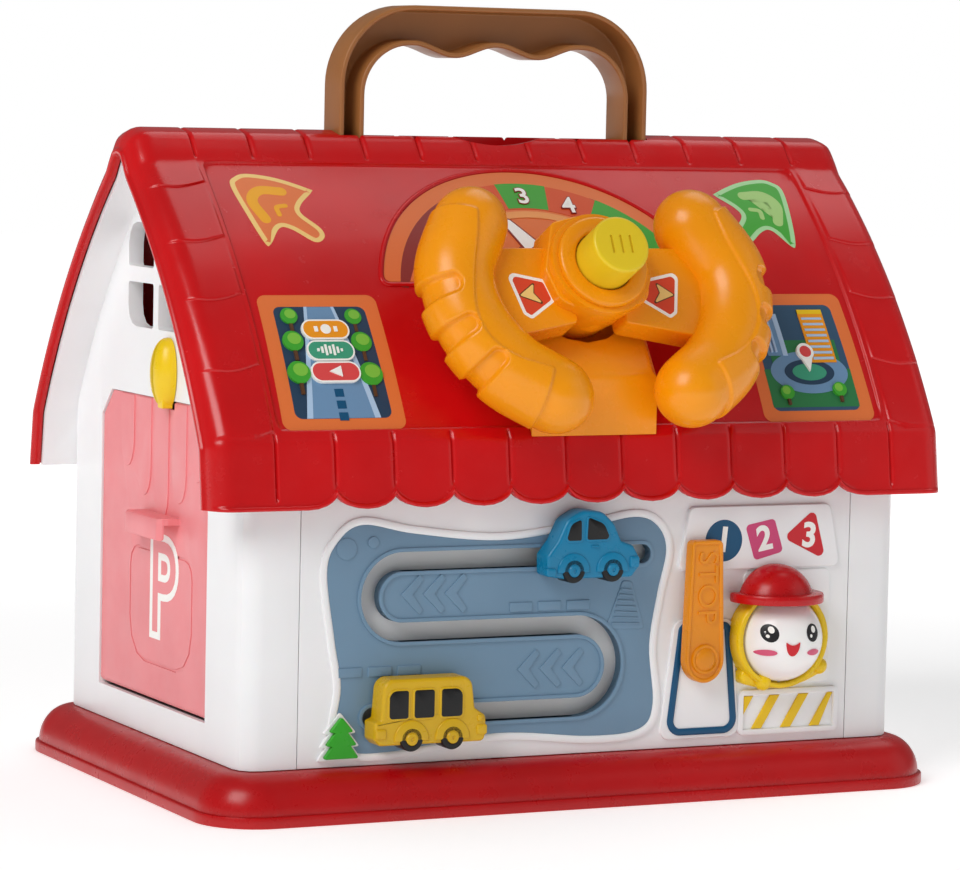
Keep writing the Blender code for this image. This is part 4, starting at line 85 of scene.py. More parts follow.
# %% Colours
def linear(code, alpha=1.0):
    """Linear RGBA of an sRGB hex code."""
    parts = np.array([int(code[i:i + 2], 16) for i in (1, 3, 5)]) / 255
    parts = np.where(parts <= 0.04045, parts / 12.92, ((parts + 0.055) / 1.055) ** 2.4)
    return (*parts.tolist(), alpha)


def add_node(tree, kind, settings=None, links=None):
    """Add one node, set its sockets or attributes by name, and link named inputs to sockets."""
    node = tree.nodes.new(kind)
    for name, value in (settings or {}).items():
        if name in node.inputs:
            node.inputs[name].default_value = value
        else:
            setattr(node, name, value)
    for name, socket in (links or {}).items():
        tree.links.new(socket, node.inputs[name])
    return node


# %% [markdown]
# Nearly every piece is injection-moulded ABS. Its colour is even but never
# perfectly flat: the melt flows leave faint clouds, the polished or sparked
# mould leaves a fine skin, and play leaves rubbed patches that are a little
# duller. One recipe builds them all from three noises on object coordinates,
# whose scales are worked out from millimetres.

# %% Moulded plastic
CLOUD_SIZE = 0.045
RUB_SIZE = 0.012
GRAIN_SIZE = 0.0011


def moulded_plastic(name, code, roughness, grain=0.00002, cloud=0.05, coat=0.0):
    """Injection-moulded ABS: clouded colour, rubbed gloss and the skin of the mould."""
    surface = bpy.data.materials.new(name)
    surface.use_nodes = True
    tree = surface.node_tree
    shader = tree.nodes["Principled BSDF"]
    shader.inputs["IOR"].default_value = 1.53
    shader.inputs["Specular IOR Level"].default_value = 0.36
    shader.inputs["Coat Weight"].default_value = coat
    shader.inputs["Coat Roughness"].default_value = 0.08
    shader.inputs["Subsurface Weight"].default_value = 0.04
    shader.inputs["Subsurface Scale"].default_value = 0.002
    place = add_node(tree, "ShaderNodeTexCoord").outputs["Object"]
    clouds = add_node(tree, "ShaderNodeTexNoise", {"Scale": 1 / CLOUD_SIZE, "Detail": 3.0}, {"Vector": place})
    colour = linear(code)
    deep = (*[c * (1 - cloud * 2) for c in colour[:3]], 1)
    light = (*[min(1, c * (1 + cloud)) for c in colour[:3]], 1)
    tint = add_node(tree, "ShaderNodeValToRGB", links={"Fac": clouds.outputs["Fac"]})
    tint.color_ramp.elements[0].position = 0.3
    tint.color_ramp.elements[0].color = deep
    tint.color_ramp.elements[1].position = 0.7
    tint.color_ramp.elements[1].color = light
    tree.links.new(tint.outputs["Color"], shader.inputs["Base Color"])
    rubs = add_node(tree, "ShaderNodeTexNoise", {"Scale": 1 / RUB_SIZE, "Detail": 5.0, "Roughness": 0.6},
                    {"Vector": place})
    gloss = add_node(tree, "ShaderNodeMapRange", {"From Min": 0.35, "From Max": 0.75, "To Min": roughness * 0.85,
                                                  "To Max": roughness * 1.25}, {"Value": rubs.outputs["Fac"]})
    tree.links.new(gloss.outputs["Result"], shader.inputs["Roughness"])
    skin = add_node(tree, "ShaderNodeTexNoise", {"Scale": 1 / GRAIN_SIZE, "Detail": 2.0}, {"Vector": place})
    bump = add_node(tree, "ShaderNodeBump", {"Strength": 1.0, "Distance": grain}, {"Height": skin.outputs["Fac"]})
    tree.links.new(bump.outputs["Normal"], shader.inputs["Normal"])
    return surface


roof_red = moulded_plastic("polished red ABS", "#CC0A10", 0.24, coat=0.08)
base_red = moulded_plastic("satin red ABS", "#BC0A10", 0.30)
under_red = moulded_plastic("sparked red ABS", "#B4101A", 0.45, grain=0.00004)
wall_white = moulded_plastic("satin white ABS", "#F4F4F5", 0.33, cloud=0.015)
inner_white = moulded_plastic("sparked white ABS", "#ECECEC", 0.50, grain=0.00004, cloud=0.02)
handle_brown = moulded_plastic("satin brown ABS", "#A06838", 0.38, grain=0.00003)
wheel_orange = moulded_plastic("polished orange ABS", "#F79A06", 0.27, cloud=0.03)
button_yellow = moulded_plastic("satin yellow ABS", "#EACA22", 0.34, cloud=0.03)
road_slate = moulded_plastic("satin slate ABS", "#708FA8", 0.45, cloud=0.03)
car_blue = moulded_plastic("polished blue ABS", "#047FAB", 0.30)
bus_yellow = moulded_plastic("polished ochre ABS", "#D9AE12", 0.30)
tree_green = moulded_plastic("polished green ABS", "#26A80C", 0.30)
tree_border = moulded_plastic("polished pale green ABS", "#6FCB62", 0.30)
lever_orange = moulded_plastic("polished amber ABS", "#EA8F06", 0.30)
ring_yellow = moulded_plastic("polished lemon ABS", "#F3CC12", 0.30)
cap_red = moulded_plastic("polished cap red ABS", "#C40A12", 0.26)
door_pink = moulded_plastic("satin pink ABS", "#F08C90", 0.40, cloud=0.03)
ball_white = moulded_plastic("polished white ABS", "#FBFAF8", 0.22, cloud=0.01)
window_black = moulded_plastic("glossy black paint", "#020203", 0.30)
part_black = moulded_plastic("satin black ABS", "#0E0F10", 0.45)
print("plastics:", len([m for m in bpy.data.materials if "ABS" in m.name]))

# %% [markdown]
# Studio: a pale seamless floor, one broad key light from the upper left and a softer fill from the right, all large, so
# that edges get long highlights. The floor also glows, less near the house and more away from it: painted light, so
# that the far floor is as white as the backdrop.

# %% Floor and lights
FLOOR_SIZE = 12.0
KEY_PLACE = (-2.2, -1.3, 2.1)
FILL_PLACE = (2.4, -1.6, 1.3)
TOP_PLACE = (1.1, 0.7, 2.6)
ROOM_LIGHT, BACKDROP_LIGHT = 0.20, 1.0
GLOW_NEAR, GLOW_FAR = 0.42, 0.84


def soft_light(name, place, size, power, aim=(0, 0, 0.15)):
    """Square area light that looks at the house."""
    lamp = bpy.data.lights.new(name, "AREA")
    lamp.energy = power
    lamp.size = size
    item = bpy.data.objects.new(name, lamp)
    item.location = place
    item.rotation_euler = (Vector(aim) - Vector(place)).to_track_quat("-Z", "Y").to_euler()
    bpy.context.scene.collection.objects.link(item)


soft_light("key", KEY_PLACE, 1.6, 52)
soft_light("fill", FILL_PLACE, 2.2, 7)
soft_light("top", TOP_PLACE, 1.8, 15)
bpy.context.scene.view_settings.view_transform = "Standard"
world = bpy.data.worlds.new("studio")
world.use_nodes = True
backdrop = world.node_tree.nodes["Background"]
backdrop.inputs["Color"].default_value = linear("#FFFFFF")
seen = add_node(world.node_tree, "ShaderNodeLightPath").outputs["Is Camera Ray"]
strength = add_node(world.node_tree, "ShaderNodeMapRange", {"To Min": ROOM_LIGHT, "To Max": BACKDROP_LIGHT}, {"Value": seen})
world.node_tree.links.new(strength.outputs["Result"], backdrop.inputs["Strength"])
bpy.context.scene.world = world
paper = bpy.data.materials.new("matte white paper")
paper.use_nodes = True
sheet = paper.node_tree.nodes["Principled BSDF"]
sheet.inputs["Base Color"].default_value = linear("#F5F5F5")
sheet.inputs["Roughness"].default_value = 0.8
sheet.inputs["Emission Color"].default_value = linear("#FFFFFF")
# Painted light: the floor glows by its distance from the house, from GLOW_NEAR near it to GLOW_FAR farther away.
spot = add_node(paper.node_tree, "ShaderNodeTexCoord").outputs["Object"]
away = add_node(paper.node_tree, "ShaderNodeVectorMath", {"operation": "LENGTH"}, {0: spot}).outputs["Value"]
glow = add_node(paper.node_tree, "ShaderNodeMapRange", {"From Min": 0.35, "From Max": 1.4, "To Min": GLOW_NEAR,
                                                        "To Max": GLOW_FAR, "interpolation_type": "SMOOTHSTEP"}, {"Value": away})
paper.node_tree.links.new(glow.outputs["Result"], sheet.inputs["Emission Strength"])
floor_mesh = bpy.data.meshes.new("floor")
corners = np.array([(-1, -1, 0), (1, -1, 0), (1, 1, 0), (-1, 1, 0)]) * FLOOR_SIZE / 2
floor_mesh.from_pydata(corners.tolist(), [], [(0, 1, 2, 3)])
floor_mesh.materials.append(paper)
floor = bpy.data.objects.new("floor", floor_mesh)
bpy.context.scene.collection.objects.link(floor)

# %% [markdown]
# Every new piece is a surface on a grid. Its points come out of numpy as one
# array, rows by columns, and the quads are index arithmetic. A row or column
# that closes on itself is wrapped, and open ends get one cap each.


# %% Surfaces from grids
def quads(rows, columns, wrap_rows=False, wrap_columns=False):
    """Quads of a grid: each joins a point to the next in its row and its column."""
    row, column = np.meshgrid(np.arange(rows - (not wrap_rows)), np.arange(columns - (not wrap_columns)),
                              indexing="ij")
    below, beside = (row + 1) % rows, (column + 1) % columns
    corners = (row * columns + column, row * columns + beside, below * columns + beside, below * columns + column)
    return np.stack(corners, -1).reshape(-1, 4).tolist()


def piece(name, points, faces, surfaces, body, sharp=40, marks=None):
    """Object from points and faces, closed at its seams, facing outwards, riding on a body."""
    mesh = bpy.data.meshes.new(name)
    mesh.from_pydata(np.asarray(points, float).reshape(-1, 3).tolist(), [], faces)
    for surface in surfaces if isinstance(surfaces, (list, tuple)) else [surfaces]:
        mesh.materials.append(surface)
    if marks is not None:
        mesh.polygons.foreach_set("material_index", np.asarray(marks, dtype=np.int32))
    shape = bmesh.new()
    shape.from_mesh(mesh)
    bmesh.ops.remove_doubles(shape, verts=shape.verts, dist=WELD)
    bmesh.ops.recalc_face_normals(shape, faces=shape.faces)
    shape.to_mesh(mesh)
    shape.free()
    mesh.shade_smooth()
    mesh.set_sharp_from_angle(angle=math.radians(sharp))
    item = bpy.data.objects.new(name, mesh)
    bpy.context.scene.collection.objects.link(item)
    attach(item, body)
    return item


WELD = 0.000001


def tube(name, rings, surfaces, body, place=None, sharp=40, wrap=False):
    """Closed loops (rows, columns, 3) joined in order, with a flat cap at each end unless wrapped."""
    rings = np.asarray(rings, float)
    rows, columns = rings.shape[:2]
    faces = quads(rows, columns, wrap, True)
    if not wrap:
        faces += [list(range(columns)), list(range((rows - 1) * columns, rows * columns))]
    if place is not None:
        turn = np.array(place)
        rings = rings @ turn[:3, :3].T + turn[:3, 3]
    return piece(name, rings, faces, surfaces, body, sharp)


def circle(radius, sides=96, radius_b=None, centre=(0, 0)):
    """Points round a circle or ellipse: cosine and sine of even angles."""
    angle = np.linspace(0, 2 * np.pi, sides, endpoint=False)
    radius_b = radius if radius_b is None else radius_b
    return np.stack([centre[0] + radius * np.cos(angle), centre[1] + radius_b * np.sin(angle)], -1)


def turned(name, profile, surfaces, body, place=None, sides=96, wrap=False, sharp=40):
    """Lathe: each (radius, height) pair of the profile becomes a circle about Z."""
    profile = np.asarray(profile, float)
    ring = circle(1, sides)
    flat = profile[:, None, :1] * ring[None]
    height = np.broadcast_to(profile[:, None, 1:], flat.shape[:2] + (1,))
    return tube(name, np.concatenate([flat, height], -1), surfaces, body, place, sharp, wrap)


def filleted(points, radius, steps=6, closed=True):
    """Polygon whose corners are replaced by arcs; a radius of nought keeps the corner."""
    points = np.asarray(points, float)
    radii = np.broadcast_to(np.asarray(radius, float), (len(points),))
    result = []
    for i, (corner, size) in enumerate(zip(points, radii)):
        if size == 0 or (not closed and i in (0, len(points) - 1)):
            result.append(corner[None])
            continue
        before = points[i - 1] - corner
        after = points[(i + 1) % len(points)] - corner
        before /= np.linalg.norm(before)
        after /= np.linalg.norm(after)
        half = np.arccos(np.clip(before @ after, -1, 1)) / 2
        reach = size / np.tan(half)
        bisector = (before + after) / np.linalg.norm(before + after)
        centre = corner + bisector * size / np.sin(half)
        share = np.linspace(0, 1, steps + 1)[:, None]
        chord = (corner + before * reach) * (1 - share) + (corner + after * reach) * share - centre
        result.append(centre + chord / np.linalg.norm(chord, axis=1, keepdims=True) * size)
    return np.concatenate(result)


def grown(outline, distance, closed=True):
    """Outline moved to its right, outwards where it runs counter-clockwise, with mitred corners."""
    outline = np.asarray(outline, float)
    ahead = np.roll(outline, -1, 0) - outline
    behind = outline - np.roll(outline, 1, 0)
    if not closed:
        ahead[-1], behind[0] = behind[-1], ahead[0]
    ahead /= np.linalg.norm(ahead, axis=1, keepdims=True)
    behind /= np.linalg.norm(behind, axis=1, keepdims=True)
    side_a = np.stack([ahead[:, 1], -ahead[:, 0]], -1)
    side_b = np.stack([behind[:, 1], -behind[:, 0]], -1)
    middle = side_a + side_b
    middle /= np.linalg.norm(middle, axis=1, keepdims=True)
    return outline + middle * distance / np.sum(middle * side_a, 1, keepdims=True)


def box_outline(left, right, low, high):
    return np.array([(left, low), (right, low), (right, high), (left, high)])


def slab(name, outline, low, high, edge, surfaces, body, place, steps=5):
    """Outline raised from low to high, its upper rim rounded: inset and height follow a quarter circle."""
    angle = np.linspace(0, np.pi / 2, steps + 1)
    levels = [(low, 0.0)] + [(high - edge * (1 - s), edge * (1 - c)) for s, c in zip(np.sin(angle), np.cos(angle))]
    rings = [np.column_stack([grown(outline, -inset), np.full(len(outline), level)]) for level, inset in levels]
    return tube(name, rings, surfaces, body, place)


def smooth_path(points, steps):
    """Catmull-Rom curve: each stretch is a cubic of its two ends and their neighbours."""
    points = np.asarray(points, float)
    held = np.concatenate([[2 * points[0] - points[1]], points, [2 * points[-1] - points[-2]]])
    share = np.linspace(0, 1, steps, endpoint=False)[:, None]
    stretches = [0.5 * (2 * b + (c - a) * share + (2 * a - 5 * b + 4 * c - d) * share ** 2
                        + (3 * b - a - 3 * c + d) * share ** 3)
                 for a, b, c, d in zip(held, held[1:], held[2:], held[3:])]
    return np.concatenate(stretches + [points[-1:]])


def smooth_step(low, high, value):
    """Nought below low, one above high, an even S between."""
    share = np.clip((value - low) / (high - low), 0, 1)
    return share * share * (3 - 2 * share)


# %% [markdown]
# Flat panels with many small cut-outs keep the exact CAD outline. A copy of
# the node is welded, its flat faces are joined, and a Bevel modifier rolls
# the small radius that a mould always leaves on an edge.


# %% Softened copies of CAD nodes
def softened(node, surface, body, radius=0.0004, segments=3, sharp=40):
    """Copy of a node with welded points, joined flats and rolled edges."""
    shape = bmesh.new()
    shape.from_mesh(bpy.data.objects[node].data)
    bmesh.ops.remove_doubles(shape, verts=shape.verts, dist=0.00001)
    bmesh.ops.dissolve_limit(shape, angle_limit=math.radians(0.6), verts=shape.verts, edges=shape.edges)
    mesh = bpy.data.meshes.new(node + "_skin")
    shape.to_mesh(mesh)
    shape.free()
    mesh.materials.clear()
    mesh.materials.append(surface)
    mesh.shade_smooth()
    mesh.set_sharp_from_angle(angle=math.radians(sharp))
    item = bpy.data.objects.new(node + "_skin", mesh)
    bpy.context.scene.collection.objects.link(item)
    if radius:
        roll_edge = item.modifiers.new("rolled edge", "BEVEL")
        roll_edge.width = radius
        roll_edge.segments = segments
        roll_edge.limit_method = "ANGLE"
        roll_edge.angle_limit = math.radians(40)
        roll_edge.use_clamp_overlap = True
        roll_edge.harden_normals = True
    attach(item, body)
    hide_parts(node)
    return item

# %% [markdown]
# The roof shell is one moulding, so it is one surface here. Its section, in
# (y, z), runs from the front eave over the ridge to the back eave. Every
# point of the section also has a mitre: the step that moves it one unit
# inwards, as in the frame. Both are smoothed by about a millimetre, which is
# the radius that a mould leaves on a fold.

# %% Roof section
RIDGE_HEIGHT = 0.2724
RIDGE_SHOULDER = (-0.0098, 0.2702)
RIDGE_FOOT = (-0.0155, 0.2634)
SLOPE_CENTRE = (0.206419, -0.009912)
SLOPE_RADIUS = 0.350535
APEX_ANGLE = math.radians(126.0768)
SLOPE_START_RUN = 0.0241
BREAK_RUN = 0.16272
EAVE_HALF = 0.1085
EAVE_HEIGHT = 0.1245
ROOF_THICKNESS = 0.0028
FOLD_RADIUS = 0.0011
SECTION_STEP = 0.00025


def on_slope(x, run, lift):
    """Front slope: an arc about its centre, by run down from the apex and lift off it."""
    x, run, lift = np.broadcast_arrays(np.asarray(x, float), run, lift)
    angle = APEX_ANGLE + run / SLOPE_RADIUS
    reach = SLOPE_RADIUS + lift
    return np.stack([x, SLOPE_CENTRE[0] + reach * np.cos(angle), SLOPE_CENTRE[1] + reach * np.sin(angle)], -1)


def section_fold():
    """Arc length, point and mitre of the whole section, resampled evenly and smoothed by a Gaussian."""
    slope = on_slope(0, np.linspace(SLOPE_START_RUN, BREAK_RUN, 41), 0)[:, 1:]
    half = np.concatenate([[(0, RIDGE_HEIGHT), RIDGE_SHOULDER, RIDGE_FOOT], slope, [(-EAVE_HALF, EAVE_HEIGHT)]])
    path = np.concatenate([half[::-1], half[1:] * (-1, 1)])
    mitre = grown(path, 1.0, closed=False) - path
    mitre[0], mitre[-1] = (1, 0), (-1, 0)
    length = np.concatenate([[0], np.cumsum(np.linalg.norm(np.diff(path, axis=0), axis=1))])
    even = np.arange(0, length[-1], SECTION_STEP)
    values = np.stack([np.interp(even, length, column) for column in (*path.T, *mitre.T)])
    offsets = np.arange(-16, 17)
    weights = np.exp(-0.5 * (offsets * SECTION_STEP / FOLD_RADIUS) ** 2)
    weights /= weights.sum()
    pad = np.pad(values, ((0, 0), (16, 16)), mode="reflect", reflect_type="odd")
    smooth = np.stack([np.convolve(row, weights, mode="valid") for row in pad])
    return even, smooth, length[-1]


section_length, section_values, SECTION_END = section_fold()
SLOPE_END = math.hypot(EAVE_HALF - 0.105, 0.151 - EAVE_HEIGHT)


def section_spot(x, along, inset):
    """Point of the shell: section point plus its mitre times the inset, carried along x."""
    x, along, inset = np.broadcast_arrays(x, along, inset)
    y, z, mitre_y, mitre_z = (np.interp(along, section_length, row) for row in section_values)
    return np.stack([x, y + mitre_y * inset, z + mitre_z * inset], -1)


print("section:", round(SECTION_END * 1000, 1), "mm over the ridge")

# %% [markdown]
# Tiles, grooves, the sunk panel and the bead along the scalloped eave are one
# height field over (x, run). A groove is a narrow bell, a step is an even S,
# and the long border tiles lift towards their foot like real ones. Rows and
# columns crowd together where an edge has to be crisp, and near the curved
# foot of a border tile the rows bend with it.

# %% Roof relief
TILE_PITCH = 0.0255
GROOVE_DEPTH = 0.0011
GROOVE_BELL = 0.00042
PANEL_HALF = 0.13865
PANEL_TOP, PANEL_FOOT = 0.0235, 0.158
PANEL_CORNER = 0.005
PANEL_DEPTH = 0.0012
PANEL_WALL = 0.0008
TILE_FEET = (0.0364, 0.0670, 0.0960, 0.1290)
TILE_SAG = 0.0030
TILE_LIFT = 0.0009
BORDER_START = 0.1415
GABLE_X = 0.158
SCALLOP_RISE = 0.0070
EAVE_BEAD = 0.0012
EAVE_BEAD_WIDTH = 0.0019
JOINTS = TILE_PITCH * (np.arange(-6, 6) + 0.5)


def scallops(x):
    """Rise of the eave edge: each lobe is half an ellipse between two joints, flat beyond the last joint."""
    near = np.min(np.abs(x[..., None] - JOINTS[1:-1]), -1)
    share = np.clip(np.hypot(near, 0.0003) / (TILE_PITCH / 2), 0, 1)
    return SCALLOP_RISE * (1 - np.sqrt(1 - (1 - share) ** 2))


def relief(x, run, above_edge):
    """Height of the outer skin over the plain section, from joints, panel, tile feet and bead."""
    joint = np.exp(-0.5 * (np.min(np.abs(x[..., None] - JOINTS), -1) / GROOVE_BELL) ** 2)
    tiled = np.maximum(1 - smooth_step(0.0205, 0.0222, run), smooth_step(0.1583, 0.1593, run))
    tiled *= smooth_step(0.0026, 0.0046, above_edge)
    centre = (PANEL_TOP + PANEL_FOOT) / 2
    over_x = np.abs(x) - PANEL_HALF + PANEL_CORNER
    over_run = np.abs(run - centre) - (PANEL_FOOT - PANEL_TOP) / 2 + PANEL_CORNER
    distance = np.hypot(np.maximum(over_x, 0), np.maximum(over_run, 0)) + np.minimum(np.maximum(over_x, over_run), 0)
    height = -PANEL_DEPTH * (1 - smooth_step(-PANEL_WALL, 0, distance - PANEL_CORNER))
    height = height - GROOVE_DEPTH * joint * tiled
    border = smooth_step(BORDER_START - 0.0015, BORDER_START, np.abs(x))
    sag = TILE_SAG * np.sin(np.pi * np.clip((np.abs(x) - BORDER_START) / 0.0265, 0, 1))
    for head, foot in zip((0.0225,) + TILE_FEET, TILE_FEET + (0.1583,)):
        share = (run - sag - head) / (foot - head)
        lift = TILE_LIFT * share * smooth_step(0, 0.02, share) * (1 - smooth_step(0.985, 1.0, share))
        height = height + border * np.where((share > 0) & (share < 1), lift, 0)
    return height + EAVE_BEAD * np.sqrt(np.clip(1 - ((above_edge - 0.0008) / (EAVE_BEAD_WIDTH - 0.0008)) ** 2, 0, 1))


def stations(*spans):
    """Sorted, unique values from (start, end, count) spans."""
    return np.unique(np.round(np.concatenate([np.linspace(*span) for span in spans]), 7))


def roof_columns():
    """Outer and inner (x, inset) pairs, left gable to right; both lists have one length."""
    near = np.array([0.0003, 0.0007, 0.0013, 0.0026, 0.0050, 0.0085])
    fine = np.concatenate([-near, [0], near, [TILE_PITCH / 2]])
    across = [(joint[None] + fine) for joint in JOINTS]
    span = np.concatenate(across + [np.array([0.1372, 0.1379, 0.1382, 0.1385, 0.1390, 0.1398, 0.1405, 0.1412])])
    span = np.concatenate([span, -span, np.linspace(0.1412, GABLE_X, 12), -np.linspace(0.1412, GABLE_X, 12)])
    span = np.unique(np.round(span[np.abs(span) <= GABLE_X], 6))
    turn = np.linspace(0, np.pi / 2, 9)[1:]
    round_x, round_in = GABLE_X + 0.009 * np.sin(turn), 0.009 * (1 - np.cos(turn))
    bead = np.array([(0.1674, 0.0088), (0.1681, 0.00895), (0.1684, 0.0093), (0.1684, 0.0107)])
    outer = np.concatenate([np.column_stack([round_x, round_in])[:-1], bead])
    inner_turn = np.linspace(0, np.pi / 2, 8)[1:]
    inner = np.column_stack([GABLE_X + 0.0062 * np.sin(inner_turn), 0.009 - 0.0062 * np.cos(inner_turn)])
    inner = np.concatenate([inner, [(0.1642, 0.0095), (0.1643, 0.0109), (0.1655, 0.0110), (0.1680, 0.0110)]])
    flip = (-1, 1)
    top = np.concatenate([outer[::-1] * flip, np.column_stack([span, 0 * span]), outer])
    under = np.concatenate([inner[::-1] * flip, np.column_stack([span, 0 * span + ROOF_THICKNESS]), inner])
    return top, under


def roof_rows():
    """Lengths along the section, front eave to back, crowded at edges."""
    band = np.concatenate([[0, 0.0002, 0.0005, 0.0009, 0.0013, 0.0017, 0.0020, 0.0026, 0.0033, 0.004, 0.0048],
                           np.linspace(0.007, 0.024, 7), [0.0255, 0.0263, 0.0268, 0.0273, 0.0281, 0.0292, 0.0300, 0.0306,
                                                         0.0309, 0.0312, 0.0315, 0.0318, 0.0323, 0.0330]])
    slope = SLOPE_END + BREAK_RUN - np.concatenate(
        [np.linspace(0.1555, 0.0265, 26)] + [foot + np.array([-0.0012, -0.0007, -0.0003, 0, 0.0003, 0.0007, 0.0014])
                                            for foot in TILE_FEET])
    ridge = SLOPE_END + BREAK_RUN - np.array([0.0252, 0.0244, 0.0241, 0.0238, 0.0235, 0.0232, 0.0229, 0.0223, 0.0216, 0.0208])
    ridge = np.concatenate([ridge, np.linspace(ridge[-1], SECTION_END / 2, 12)])
    half = np.unique(np.round(np.concatenate([band, slope, ridge]), 7))
    return np.concatenate([half, SECTION_END - half[-2::-1]]) 


top_columns, under_columns = roof_columns()
roof_row = roof_rows()


def roof_side(columns, carve):
    """Grid of one skin: rows bend with scallops and tile feet, and the relief lifts the outer one."""
    x, inset = columns.T
    x, inset = x[None], inset[None]
    row = np.minimum(roof_row, SECTION_END - roof_row)[:, None]
    edge = np.where(np.abs(x) < GABLE_X, scallops(x), 0)
    fixed = SLOPE_END + BREAK_RUN - PANEL_FOOT - 0.0012
    near = row + edge * np.clip(1 - row / fixed, 0, 1)
    run = BREAK_RUN + SLOPE_END - near
    sag = TILE_SAG * np.sin(np.pi * np.clip((np.abs(x) - BORDER_START) / 0.0265, 0, 1))
    pull = np.max([np.clip(1 - np.abs(run - foot) / 0.009, 0, 1) for foot in TILE_FEET], axis=0)
    near = near - sag * pull * (3 * pull - 2 * pull ** 2)
    run = BREAK_RUN + SLOPE_END - near
    height = relief(np.broadcast_to(x, run.shape), run, near - edge) if carve else 0
    along = np.where(roof_row[:, None] < SECTION_END / 2, near, SECTION_END - near)
    height = height * np.clip(1 - inset / 0.004, 0, 1)
    return section_spot(x, along, inset - height)


roof_top = roof_side(top_columns, True)
roof_under = roof_side(under_columns, False)
roof_grid = np.concatenate([roof_top, roof_under[:, ::-1]], 1)
rows, columns = roof_grid.shape[:2]
roof_faces = quads(rows, columns, wrap_columns=True)
pair = np.arange(columns // 2 - 1)
for base in (0, (rows - 1) * columns):
    ends = np.stack([base + pair, base + pair + 1, base + columns - 2 - pair, base + columns - 1 - pair], -1)
    roof_faces += ends.tolist()
roof = piece("roof_skin", roof_grid, roof_faces, roof_red, "house", sharp=60)
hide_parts("roof_shell")
print("roof:", len(roof_faces) * 2, "triangles")

# %% [markdown]
# Two openings are cut through the finished skin: the slot that the handle
# slides in, and the dip where fingers reach for the lowered grip. A boolean
# does it, and the result is kept as a plain mesh.


# %% Cutting
def carved(item, cutters):
    """Subtract closed cutters from a piece, keep the result as its mesh and drop the cutters."""
    for cutter in cutters:
        work = item.modifiers.new("cut", "BOOLEAN")
        work.operation = "DIFFERENCE"
        work.solver = "EXACT"
        work.object = cutter
    solved = item.evaluated_get(bpy.context.evaluated_depsgraph_get())
    mesh = bpy.data.meshes.new_from_object(solved)
    item.modifiers.clear()
    old, item.data = item.data, mesh
    mesh.name = old.name + "_cut"
    for cutter in cutters:
        bpy.data.objects.remove(cutter)
    return item


def cutter(outline, low, high, place=None):
    """Closed prism over an outline, for cutting."""
    rings = [np.column_stack([outline, np.full(len(outline), level)]) for level in (low, high)]
    rings = np.asarray(rings, float)
    if place is not None:
        rings = rings @ np.array(place)[:3, :3].T + np.array(place)[:3, 3]
    mesh = bpy.data.meshes.new("cutter")
    count = len(outline)
    faces = quads(2, count, False, True) + [list(range(count)), list(range(count, 2 * count))]
    mesh.from_pydata(rings.reshape(-1, 3).tolist(), [], faces)
    shape = bmesh.new()
    shape.from_mesh(mesh)
    bmesh.ops.recalc_face_normals(shape, faces=shape.faces)
    shape.to_mesh(mesh)
    shape.free()
    item = bpy.data.objects.new("cutter", mesh)
    bpy.context.scene.collection.objects.link(item)
    return item


# %% Handle slot and finger dip
SLOT_HALF_X, SLOT_HALF_Y = 0.0731, 0.0091
DIP_HALF, DIP_DEPTH = 0.026, 0.0055
UP = Matrix.Identity(4)
FACING_FRONT = Matrix(((1, 0, 0), (0, 0, -1), (0, 1, 0))).to_4x4()
dip_radius = (DIP_HALF ** 2 + DIP_DEPTH ** 2) / (2 * DIP_DEPTH)
dip_angle = np.linspace(-1, 1, 33) * math.asin(DIP_HALF / dip_radius)
dip = np.column_stack([dip_radius * np.sin(dip_angle),
                       RIDGE_HEIGHT - DIP_DEPTH + dip_radius * (1 - np.cos(dip_angle))])
dip = np.concatenate([dip, [(DIP_HALF, 0.29), (-DIP_HALF, 0.29)]])
slot = filleted(box_outline(-SLOT_HALF_X, SLOT_HALF_X, -SLOT_HALF_Y, SLOT_HALF_Y), 0.001, 3)
carved(roof, [cutter(slot, 0.238, 0.29), cutter(dip, 0.0, 0.0255, FACING_FRONT)])
print("roof after cutting:", len(roof.data.polygons), "faces")

# %% [markdown]
# The base is a skirt round the walls: a bead at the floor, a small step, then
# a quarter round up to a narrow shoulder. Its profile is carried round a
# rounded rectangle, whose corners stay tight inside and open outside.


# %% Base skirt
HALF_LENGTH, HALF_DEPTH = 0.150, 0.09825
CORNER_RADIUS = 0.009
BASE_HEIGHT, BASE_REACH = 0.020, 0.0163
BASE_STEP_HEIGHT, BASE_STEP = 0.0046, 0.0016
BASE_SHOULDER = 0.0012
FLARE_STEPS = 14


def wall_plan(offset):
    """Plan of the walls grown by an offset: four arcs joined by straight runs with points near their ends."""
    radius = max(CORNER_RADIUS + offset, CORNER_RADIUS / 2)
    half_x, half_y = HALF_LENGTH + offset, HALF_DEPTH + offset
    turn = np.linspace(0, np.pi / 2, 13)
    shares = np.array([0.004, 0.02, 0.08, 0.25, 0.5, 0.75, 0.92, 0.98, 0.996])[:, None]
    arcs = [np.column_stack([sx * (half_x - radius) + radius * np.cos(turn + start),
                             sy * (half_y - radius) + radius * np.sin(turn + start)])
            for sx, sy, start in ((1, 1, 0), (-1, 1, np.pi / 2), (-1, -1, np.pi), (1, -1, np.pi * 1.5))]
    runs = [a[-1] * (1 - shares) + b[0] * shares for a, b in zip(arcs, arcs[1:] + arcs[:1])]
    return np.concatenate([part for pair in zip(arcs, runs) for part in pair])


